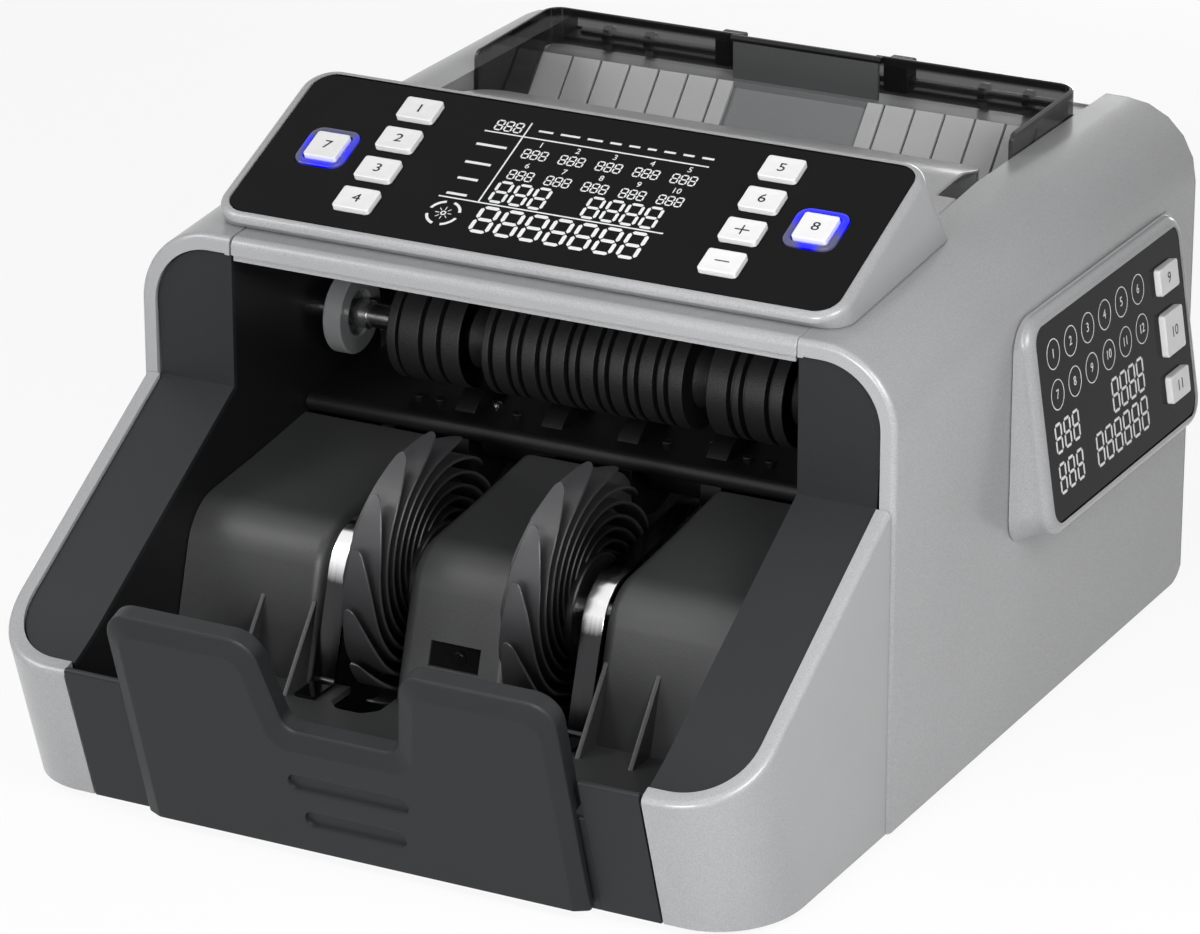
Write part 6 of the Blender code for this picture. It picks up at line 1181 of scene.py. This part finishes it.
def blade(steps=34):
    """Centre line and section: (y, z) = wheel + reach (-cos a, sin a), with the reach and angle above."""
    u = np.concatenate([[0.0, 0.004, 0.012, 0.025], np.linspace(0.045, 1.0, steps)])
    reach = 47.5 - 29.6 * u
    angle = math.radians(5.9) - 2.566 * u**1.16
    line = np.stack([-reach * np.cos(angle), reach * np.sin(angle)], axis=1)
    normal = mitres(line, False)
    tip = np.sqrt(1 - (1 - np.minimum(u / 0.025, 1.0)) ** 2) * 0.9 + 0.1
    near = -np.minimum(1.2 + 20.9 * u, 7.6) * tip
    far = np.where(u < 0.26, 1.2 + 41.4 * u - 80.6 * u**2, 6.5) * tip
    half, soft = BLADE_THICK / 2 * np.clip(0.55 + 3 * u, 0, 1), 0.3 * tip
    x = np.stack([near + soft, far - soft, far, far, far - soft, near + soft, near, near], axis=1)
    h = half[:, None] * np.array((1.0, 1.0, 0.4, -0.4, -1.0, -1.0, -0.4, 0.4))
    h = h + BLADE_THICK / 2
    y = line[:, None, 0] + normal[:, None, 0] * h
    z = line[:, None, 1] + normal[:, None, 1] * h
    return np.stack([x, y, z], axis=2)


def wheel_shells(centre_x):
    one = blade()
    shells = []
    for turn in 2 * math.pi / BLADES * np.arange(BLADES):
        c, s = math.cos(turn), math.sin(turn)
        grid = one @ np.array(((1, 0, 0), (0, c, -s), (0, s, c))) + (centre_x, *WHEEL)
        shells.append(skin(grid, around=True, caps=(True, True)))
    bore, rim, half = 4.3, 19.0, 8.25
    web = [(-half, bore), (-half, 7.0), (-half + 0.6, 7.6), (-half + 0.6, 15.6), (-half, 16.4), (-half, rim - 0.5)]
    web.append((-half + 0.5, rim))
    profile = web + [(-x, r) for x, r in web[::-1]]
    return shells + turned([(x + centre_x, r) for x, r in profile], WHEEL, 60)


for name, x in (("left_stacker_wheel", -29.3), ("right_stacker_wheel", 29.3)):
    make(name, wheel_shells(x), crease=40.0, finish="blade_grey_painted_shade")
print("faces in one blade:", len(skin(blade(), around=True)[1]))

# %% [markdown]
# ## Shafts and rubber rollers
#
# Everything that turns on a shaft is a profile of (place, radius) carried round the axis. The rubber groups
# are rows of bands with narrow grooves; every edge of the profile is rounded first, so that it catches light.

# %% Rollers, shafts and the pale hub
BAND, GROOVE, CONE_ROOT, CONE_TIP, CONE = 18.5, 15.3, 11.0, 5.6, 8.1
CENTRE_START, CENTRE_END = -36.4, 39.5
SIDE_LONG = CHANNEL - 31.8 + CENTRE_START - 8.8


def bands(start, length, shares):
    """Corners of raised bands, each from a first to a last share of the length."""
    spots = start + length * np.array(shares)
    return [(x, r) for first, last in spots for x, r in ((first, GROOVE), (first, BAND), (last, BAND), (last, GROOVE))]


def softened_profile(corners, radius=0.4):
    """Rounds each corner of a closed profile by a radius no larger than a third of the edges beside it."""
    corners = np.array(corners)
    run = np.linalg.norm(np.roll(corners, -1, axis=0) - corners, axis=1)
    fit = np.minimum(run, np.roll(run, 1)) / 3
    return rounded(corners, np.where(corners[:, 1] > 0, np.minimum(radius, fit), 0.0), 3)


def upper_sleeves():
    left, right = CENTRE_START - 8.8 - SIDE_LONG, CENTRE_END + 8.8
    profile = bands(left, SIDE_LONG, ((0.0, 0.12), (0.16, 0.44), (0.50, 0.69), (0.75, 1.0)))
    profile += [(left + SIDE_LONG, CONE_ROOT), (left + SIDE_LONG + CONE, CONE_TIP), (CENTRE_START, CONE_TIP)]
    pitch = (CENTRE_END - CENTRE_START + 1.6) / 7
    for k in range(7):
        profile += bands(CENTRE_START + pitch * k, pitch, ((0.0, 0.23), (0.38, 0.85)))
    profile += [(CENTRE_END, CONE_ROOT), (CENTRE_END + CONE, CONE_TIP), (right, CONE_TIP)]
    profile += bands(right, SIDE_LONG, ((0.0, 0.27), (0.34, 0.43), (0.50, 0.77), (0.83, 1.0)))
    profile += [(right + SIDE_LONG, CONE_ROOT), (right + SIDE_LONG + CONE, CONE_TIP)]
    profile += [(right + SIDE_LONG + CONE, 4.5), (left, 4.5)]
    return turned(softened_profile(profile), UPPER, 96)


def gear(centre, mate, tooth, low, high):
    """24 teeth: each adds a root and a tip on both flanks, as shares of half the pitch angle."""
    facing, pitch_radius = math.atan2(mate[1] - centre[1], mate[0] - centre[0]), np.linalg.norm(mate - centre) / 2
    pitch = 2 * math.pi / 24
    half = (pitch - 0.5 / pitch_radius) / 4
    radius = pitch_radius + np.array((-1.7, 0.0, 1.2, 1.2, 0.0, -1.7))
    turn = half * np.array((-1.4, -1.05, -0.6, 0.6, 1.05, 1.4))
    angle = facing + pitch * (np.arange(24)[:, None] + (0 if tooth else 0.5)) + turn
    outline = np.stack([centre[0] + radius * np.cos(angle), centre[1] + radius * np.sin(angle)], axis=2).reshape(-1, 2)
    return laid(slab(outline, low, high, 0.25), "X")


DRIVE = SKIN_OUT + 0.6 + 2.0 + 2.2
FRAME_OUT = SKIN_OUT + 2.6
END_DISC = -CHANNEL + 4.2
make("upper_roller_sleeves", upper_sleeves(), crease=50.0)
shaft = [(-DRIVE - 7.5, 0.0), (-DRIVE - 7.5, 3.8), (-DRIVE - 7.1, 4.2), (END_DISC + 6.9, 4.2), (END_DISC + 6.9, 4.8)]
shaft += [(END_DISC + 7.1, 5.0), (END_DISC + 11.2, 5.0), (END_DISC + 11.4, 4.8), (END_DISC + 11.4, 4.2)]
shaft += [(FRAME_OUT + 1.1, 4.2), (FRAME_OUT + 1.5, 3.8), (FRAME_OUT + 1.5, 0.0)]
make("upper_roller_shaft", turned(shaft, UPPER, 48, False) + gear(UPPER, LOWER, False, -DRIVE - 6.0, -DRIVE))
disc = [(0.0, 4.5), (0.0, 13.9), (0.6, 14.5), (6.3, 14.5), (6.9, 13.9), (6.9, 8.4), (6.3, 7.8), (3.9, 7.8), (3.9, 4.5)]
make("upper_end_disc", turned([(END_DISC + x, r) for x, r in disc], UPPER, 72), finish="hub_grey")


def pulley(start, radius):
    return [(start, radius + 1.8), (start + 0.8, radius + 1.8), (start + 1.1, radius), (start + 6.1, radius),
            (start + 6.6, radius + 1.8), (start + 7.4, radius + 1.8)]


def lower_roller():
    core, wheel_radius, half = 9.0, 17.9, CHANNEL - 27.0
    profile = [(-DRIVE - 7.5, 0.0), (-DRIVE - 7.5, 4.2), (-half, 4.2), (-half, core)]
    for x in (-48.0, -14.5, 14.5, 48.0):
        profile += [(x - 4.0, core), (x - 4.0, wheel_radius), (x + 4.0, wheel_radius), (x + 4.0, core)]
    profile += [(half, core), (half, 4.2), (DRIVE, 4.2)] + pulley(DRIVE, 12.0) + [(DRIVE + 7.4, 12.0)]
    profile += [(DRIVE + 13.2, 12.0), (DRIVE + 13.2, 13.8), (DRIVE + 14.0, 13.8), (DRIVE + 14.0, 0.0)]
    return turned(softened_profile(profile), LOWER, 72, False) + gear(LOWER, UPPER, True, -DRIVE - 6.0, -DRIVE)


PICKUP = np.array((193.6, 123.6))
# painted shade: the lower roller gets black plastic, darker than its rubber, for the shade under the outlet guide
make("lower_roller", lower_roller(), crease=50.0, finish="black_plastic")
tyres = [(-FRAME_OUT - 1.5, 0.0), (-FRAME_OUT - 1.5, 4.2)]
for x in (-12.5, 12.5):
    tyres += [(x - 5.0, 4.2), (x - 5.0, 15.0), (x + 5.0, 15.0), (x + 5.0, 4.2)]
tyres += [(DRIVE + 6.6, 4.2)] + pulley(DRIVE + 6.6, 12.0) + [(DRIVE + 14.0, 0.0)]
make("pickup_roller", turned(softened_profile(tyres), PICKUP, 72, False), crease=50.0)
axle = [(-FRAME_OUT - 1.5, 0.0), (-FRAME_OUT - 1.5, 4.0), (DRIVE, 4.0)] + pulley(DRIVE, 24.0) + [(DRIVE + 7.4, 0.0)]
make("stacker_shaft", turned(softened_profile(axle, 0.3), WHEEL, 72, False), crease=50.0)
print("upper roller from", round(END_DISC, 1), "to", round(CENTRE_END + 8.8 + SIDE_LONG + CONE, 1), "mm across")

# %% [markdown]
# ## The outlet guide
#
# Under the rollers lies a black sheet with a round bar along its front, small conical posts, and bright screws
# in countersunk holes. Its section is carried across, and the posts and screws are turned about upright axes.

# %% Outlet guide, posts and screws
GUIDE_TOP, GUIDE_WALL, GUIDE_BAR = 94.5, 2.2, 3.3
GUIDE_BEND, GUIDE_BACK = 100.0 + 60.8 * 0.395, np.array((157.5, 103.0))
Z_AXIS = np.array(((0.0, 0.0, 1.0), (1.0, 0.0, 0.0), (0.0, 1.0, 0.0)))


def upright(profile, place, steps=28):
    """A solid turned about a vertical line: (height, radius) from the axis out and back to the axis."""
    shells = turned(profile, (0.0, 0.0), steps, closed=False)
    return [(points @ Z_AXIS + (*place, 0.0), faces) for points, faces in shells]


def outlet_guide():
    bar = (47.2 + GUIDE_BAR, GUIDE_TOP - GUIDE_BAR)
    nose = arc(bar, GUIDE_BAR, QUARTER, 3 * QUARTER, 16)
    top = [tuple(GUIDE_BACK), (GUIDE_BEND, GUIDE_TOP)]
    bottom = [(bar[0] + GUIDE_BAR, GUIDE_TOP - GUIDE_WALL), (GUIDE_BEND, GUIDE_TOP - GUIDE_WALL)]
    bottom.append((GUIDE_BACK[0], GUIDE_BACK[1] - GUIDE_WALL))
    front = laid(slab(np.vstack([[(58.0, GUIDE_TOP)], nose, bottom[:1], [(58.0, GUIDE_TOP - GUIDE_WALL)]]), -104.7, 104.7, 0.3), "X")
    windows = [box_outline(5.2, 10.5, 0.5, (x, 71.0), 2) for x in (-48.0, -14.5, 14.5, 48.0)]
    plan = box_outline(104.7, (GUIDE_BEND - 57.9) / 2, 0.0, (0.0, (GUIDE_BEND + 57.9) / 2))
    sheet_flat = slab(plan, GUIDE_TOP - GUIDE_WALL, GUIDE_TOP, 0.1, windows)
    climb = laid(slab(np.array([bottom[2], top[0], top[1], bottom[1]])[::-1], -104.7, 104.7, 0.1), "X")
    shells = front + sheet_flat + climb
    for x in (28.6, 58.8, 67.0):
        for side in (-1, 1):
            post = [(93.5, 0.0), (93.5, 1.4), (94.5, 1.5), (96.4, 2.1), (96.7, 1.9), (96.3, 1.2), (96.2, 0.0)]
            shells += upright(post, (side * x, 59.8))
    return shells


make("outlet_guide", outlet_guide())
screws = []
for x in (-41.7, 41.7):
    head = [(93.8, 0.0), (93.8, 1.9), (94.9, 1.9), (95.3, 1.5), (95.45, 0.8), (95.45, 0.0)]
    screws += upright(head, (x, 69.0)) + upright([(93.8, 0.0), (93.8, 1.1), (94.8, 1.1), (95.0, 0.8), (95.0, 0.0)], (x * 1.12, 60.5))
make("outlet_screws", screws, "bright_steel", "housing")
print("screws on the outlet guide:", 4)

# %% [markdown]
# ## Smoked note guides and their rail
#
# Each guide is one smoked sheet bent round the hopper's rear corner: a side wall that slopes down to the front
# and a lower rear wall. Its plan is a path with a rounded corner; at each place on the path the lower and
# upper heights are worked out, and a section with a rounded top edge is set between them.

# %% Note guides, blocks and rail
GUIDE_OUTER, GUIDE_INNER, GUIDE_Y = 104.4, 26.8, 225.8
WING_FRONT, WING_TOP, WING_LOW, BACK_TOP = 168.3, 184.7, 150.0, 186.2
SHEET = 1.6


def guide_heights(y):
    """Lower edge: level at the front, then up along the ramp; upper edge: a straight rise with a round crest."""
    low = np.clip(RAMP_TOP[1] + 2.2 - (RAMP_TOP[0] - y) * RAMP_TAN, WING_LOW, RAMP_TOP[1] + 2.2)
    high = WING_TOP + (BACK_TOP - WING_TOP) * (y - WING_FRONT) / (GUIDE_Y - WING_FRONT)
    into = np.clip(WING_FRONT + 3.0 - y, 0.0, 3.0)
    return low, high - (3.0 - np.sqrt(9.0 - into**2))


def guide_wing():
    front = WING_FRONT + 3.0 * (1 - np.cos(np.linspace(0, QUARTER, 8)))
    side = np.concatenate([front, np.linspace(175.0, GUIDE_Y - 8.0, 24)])
    corner = arc((GUIDE_OUTER - 7.0, GUIDE_Y - 7.0), 7.0, 0, QUARTER, 12)
    path = np.vstack([np.column_stack([np.full(len(side), GUIDE_OUTER), side]), corner, [(60.0, GUIDE_Y), (GUIDE_INNER, GUIDE_Y)]])
    inward = -mitres(path, False)
    low, high = guide_heights(path[:, 1])
    depth = SHEET * np.array((0.0, 0.0, 0.12, 0.38, 0.7, 0.95, 1.0, 1.0))
    lift = SHEET / 2 * np.array((0.0, 1.0, 0.45, 0.08, 0.0, 0.3, 0.9, 0.0))
    upper = np.array((False, True, True, True, True, True, True, False))
    plan = path[:, None] + inward[:, None] * depth[None, :, None]
    z = np.where(upper, high[:, None] - lift, low[:, None])
    return [skin(np.concatenate([plan, z[..., None]], axis=2), around=True, caps=(True, True))]


def guide_block():
    """The carrier of a guide: a rounded block with a bore for the rail."""
    side_view = box_outline((235.2 - 226.1) / 2, 5.7, 1.0, ((235.2 + 226.1) / 2, 178.3), 4)
    bore = [arc((230.8, 176.2), 1.9, 0, 2 * math.pi, 20)[:-1]]
    return laid(slab(side_view, 28.8, 37.8, 0.5, bore), "X")


def guide_rail():
    profile = [(-94.0, 0.0), (-94.0, 1.6)]
    for x in (-83.0, -66.0, 66.0, 83.0):
        profile += [(x - 1.5, 1.6), (x - 1.5, 3.6), (x + 1.5, 3.6), (x + 1.5, 1.6)]
    rod = turned(softened_profile(profile + [(94.0, 1.6), (94.0, 0.0)]), (230.8, 176.2), 36, False)
    for x in (-83.0, -66.0, 66.0, 83.0):
        post = slab(box_outline(1.8, 1.8, 0.5, (x, 230.8), 3), 170.6, 176.2, 0.2)
        rod += post
    return rod


wing, block = guide_wing(), guide_block()
for side, word in ((-1, "left"), (1, "right")):
    make(word + "_guide_wing", mirrored(wing, side))
    make(word + "_guide_block", mirrored(block, side))
make("guide_rail", guide_rail())
print("guide sheet stations:", len(wing[0][1]))

# %% [markdown]
# ## The hopper ramp
#
# Notes lie on a steep ramp of pale strips with a narrow groove between each two, and a sunk middle with two
# openings for the pickup tyres. The strips are plates drawn in the ramp's own plane. Under them lies one base
# sheet that shows in the grooves and the middle. A back plate closes the middle, with a black bar on its edge.

# %% Ramp, strips and back plate
RAMP_ANGLE = math.radians(47.5)
RAMP_TURN = np.array(((1, 0, 0), (0, math.cos(RAMP_ANGLE), math.sin(RAMP_ANGLE)), (0, -math.sin(RAMP_ANGLE), math.cos(RAMP_ANGLE))))
RAMP_FOOT = (RAMP_LOW - RAMP_TOP[0]) / math.cos(RAMP_ANGLE)
MIDDLE_HALF, RECESS, RAMP_HALF, GROOVE = 26.5, 1.6, CHANNEL - SEAM, 0.45
SHELF_REAR, PLATE_FRONT, PLATE_TOP, PLATE_HALF = 236.0, RAMP_TOP[0] + 3.4, RAMP_TOP[1] + 14.4, 28.6


def on_ramp(shells):
    return laid(shells, RAMP_TURN, (0.0, *RAMP_TOP))


edges = np.concatenate([[MIDDLE_HALF], 33.0 + 11.7 * np.arange(6), [RAMP_HALF + GROOVE]])
strips = []
for near, far in zip(edges[:-1], edges[1:]):
    near = near + GROOVE * (near > MIDDLE_HALF)
    outline = box_outline((far - GROOVE - near) / 2, -RAMP_FOOT / 2, 0.0, ((far - GROOVE + near) / 2, RAMP_FOOT / 2))
    strip = on_ramp(slab(outline, 0.1 - RECESS, 0.0, 0.15))
    strips += strip + mirrored(strip, -1)
make("ramp_strips", strips, "grey_plastic", "housing", finish="pale_grey")
openings = [box_outline(6.2, 15.0, 0.4, (x, -51.5), 2) for x in (-12.5, 12.5)]
base = box_outline(RAMP_HALF, -RAMP_FOOT / 2, 0.0, (0.0, RAMP_FOOT / 2))
ramp = on_ramp(slab(base, -3.2, -RECESS, 0.1, openings))
shelf = box_outline(RAMP_HALF, (SHELF_REAR - RAMP_TOP[0]) / 2, 0.0, (0.0, (SHELF_REAR + RAMP_TOP[0]) / 2))
ramp += slab(shelf, RAMP_TOP[1] - 3.2, RAMP_TOP[1], 0.1)
make("hopper_ramp", ramp)
plate_side = box_outline(0.8, (PLATE_TOP - RAMP_TOP[1]) / 2, 0.2, (PLATE_FRONT + 0.8, (PLATE_TOP + RAMP_TOP[1]) / 2), 2)
make("hopper_back_plate", laid(slab(plate_side, -PLATE_HALF, PLATE_HALF, 0.2), "X"), "grey_plastic", "housing", finish="mid_grey")
bar_side = box_outline(1.5, 1.2, 1.1, (PLATE_FRONT + 0.9, PLATE_TOP + 0.3), 4)
make("hopper_back_bar", laid(slab(bar_side, -PLATE_HALF - 1.0, PLATE_HALF + 1.0, 0.4), "X"), "black_plastic", "housing")
print("strips on the ramp:", 2 * (len(edges) - 1))

# %% [markdown]
# ## Feet, motor and belts
#
# The rubber feet and the motor are turned. A belt is a flat band carried round its pulleys: straight runs
# along the outer tangents, and arcs round each pulley between the two tangents that meet it.

# %% Feet, motor and belts
foot = [(-3.0, 0.0), (-3.0, 6.6), (-2.6, 7.2), (-0.6, 8.0), (-0.3, 7.8), (-0.3, 0.0)]
for end, x, y in (("front", 100.0, -74.0), ("rear", 112.0, 222.0)):
    for side, word in ((-1, "left"), (1, "right")):
        make(f"{end}_{word}_foot", upright(foot, (side * x, y), 36))
MOTOR, FRAME_IN = np.array((150.0, 38.0)), SKIN_OUT + 0.6
motor = [(-62.3, 0.0), (-62.3, 18.0), (-60.3, 20.0), (-52.0, 20.0), (-51.6, 19.5), (-50.6, 19.5), (-50.2, 20.0), (-2.3, 20.0)]
motor += [(-0.3, 18.0), (-0.3, 9.0), (3.0, 9.0), (3.0, 3.3), (-0.3, 3.3), (-0.3, 0.0)]
make("drive_motor", turned([(FRAME_IN + x, r) for x, r in motor], MOTOR, 60, False))
spindle = [(FRAME_IN, 0.0), (FRAME_IN, 3.0), (DRIVE, 3.0)] + pulley(DRIVE, 8.0) + [(DRIVE + 7.4, 0.0)]
make("motor_pulley", turned(spindle, MOTOR, 60, False))


def belt(pulleys, start):
    """Leaving angles from the tangents, asin of the difference in radius over the distance; arcs between."""
    leaving = []
    for (centre, radius), (ahead, other) in zip(pulleys, pulleys[1:] + pulleys[:1]):
        run = ahead - centre
        leaving.append(math.atan2(run[1], run[0]) - QUARTER + math.asin((radius - other) / np.linalg.norm(run)))
    line = []
    for (centre, radius), begin, end in zip(pulleys, leaving[-1:] + leaving[:-1], leaving):
        line.append(arc(centre, radius + 0.32, begin, begin + (end - begin) % (2 * math.pi), 18))
    line = np.vstack(line)
    inner, outer = line, shifted(line, 1.4)
    low, high = start + 1.2, start + 6.2
    grid = np.stack([np.column_stack([np.full(len(p), x), p]) for x, p in ((low, inner), (high, inner), (high, outer), (low, outer))], 1)
    return [skin(grid, around=True, along=True)]


make("drive_belt", belt([(WHEEL, 24.0), (MOTOR, 8.0), (LOWER, 12.0)], DRIVE))
make("pickup_belt", belt([(LOWER, 12.0), (PICKUP, 12.0)], DRIVE + 6.6))
print("belts: 2")

# %% [markdown]
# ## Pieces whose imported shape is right
#
# The rear cover, base, frames, inlet, rocker and thumb wheel need no finer form, only edges that catch light. A merged copy of each is bevelled: its triangles are joined into flat faces first, because a
# bevel on loose triangles would open every seam.

# %% Softened copies
for name, width in (("rear_cover", 0.5), ("base_pan", 0.4), ("left_side_frame", 0.2), ("right_side_frame", 0.2),
                    ("power_inlet", 0.25), ("power_switch", 0.4), ("gap_knob", 0.15)):
    softened(name, width)
print("softened copies:", 7)

# %% [markdown]
# ## The studio
#
# A plain pale floor and large soft lamps show the form without harsh reflections. The world is white to the
# camera and in reflections, and dimmer where it lights the machine, so that a colour renders about as written.

# %% Floor, world and lamps
PAPER_GLOW, AMBIENT = 0.90, 0.04


def seen_rays(tree):
    """One where a camera, mirror or see-through ray looks, and nothing where light only bounces off."""
    path = tree.nodes.new("ShaderNodeLightPath")
    seen = Flow(tree, path.outputs["Is Camera Ray"])
    for kind in ("Is Glossy Ray", "Is Transmission Ray"):
        seen = seen.maths("MAXIMUM", seen, Flow(tree, path.outputs[kind]))
    return seen


def make_floor():
    side = np.linspace(-3.0, 3.0, 13)
    across, along = np.meshgrid(side, side, indexing="ij")
    points = np.stack([across, along, np.zeros_like(across)], axis=-1).reshape(-1, 3)
    index = np.arange(13 * 13).reshape(13, 13)
    quads = np.stack([index[:-1, :-1], index[1:, :-1], index[1:, 1:], index[:-1, 1:]], axis=-1).reshape(-1, 4)
    mesh = bpy.data.meshes.new("studio_floor")
    mesh.from_pydata(points.tolist(), [], quads.tolist())
    floor = bpy.data.objects.new("studio_floor", mesh)
    bpy.context.scene.collection.objects.link(floor)
    finish = Finish("floor_paper", Roughness=0.9, Specular_IOR_Level=0.0)
    grain = finish.noise(35.0, 2.0)
    finish.set(Base_Color=finish.blend(grain, (0.83, 0.83, 0.83), (0.86, 0.86, 0.86)))
    tree = finish.tree
    bright, mix = tree.nodes.new("ShaderNodeEmission"), tree.nodes.new("ShaderNodeMixShader")
    feed(tree, mix.inputs[0], seen_rays(tree) * PAPER_GLOW)
    tree.links.new(finish.surface.outputs[0], mix.inputs[1])
    tree.links.new(bright.outputs[0], mix.inputs[2])
    tree.links.new(mix.outputs[0], tree.nodes["Material Output"].inputs[0])
    mesh.materials.append(finish.material)
    return floor


def make_world():
    world = bpy.data.worlds.new("studio_world")
    world.use_nodes = True
    bpy.context.scene.world = world
    tree = world.node_tree
    shade = tree.nodes["Background"]
    shade.inputs["Color"].default_value = (1.0, 1.0, 1.0, 1.0)
    feed(tree, shade.inputs["Strength"], seen_rays(tree) * (1.0 - AMBIENT) + AMBIENT)


def add_lamp(name, place, target, size, power):
    lamp = bpy.data.lights.new(name, "AREA")
    lamp.shape = "RECTANGLE"
    lamp.size, lamp.size_y = size
    lamp.energy = power
    holder = bpy.data.objects.new(name, lamp)
    bpy.context.scene.collection.objects.link(holder)
    holder.location = place
    holder.rotation_euler = (Vector(target) - Vector(place)).to_track_quat("-Z", "Y").to_euler()
    return holder


floor = make_floor()
make_world()
LAMPS = {
    "top_lamp": ((-0.1, -0.35, 1.4), (0.5, 0.4), 1.6),
    "right_lamp": ((0.48, -0.32, 0.43), (0.30, 0.30), 3.0),
    "low_front_lamp": ((0.1, -1.0, 0.33), (0.4, 0.25), 6.6),
    "left_lamp": ((-0.75, -0.55, 0.75), (0.45, 0.45), 4.2),
    "rear_lamp": ((-0.1, 1.25, 0.28), (0.6, 0.3), 4.0),
}
for name, (place, size, power) in LAMPS.items():
    add_lamp(name, place, (0.0, 0.0, 0.1), size, power)
bpy.context.scene.view_settings.view_transform = "Standard"
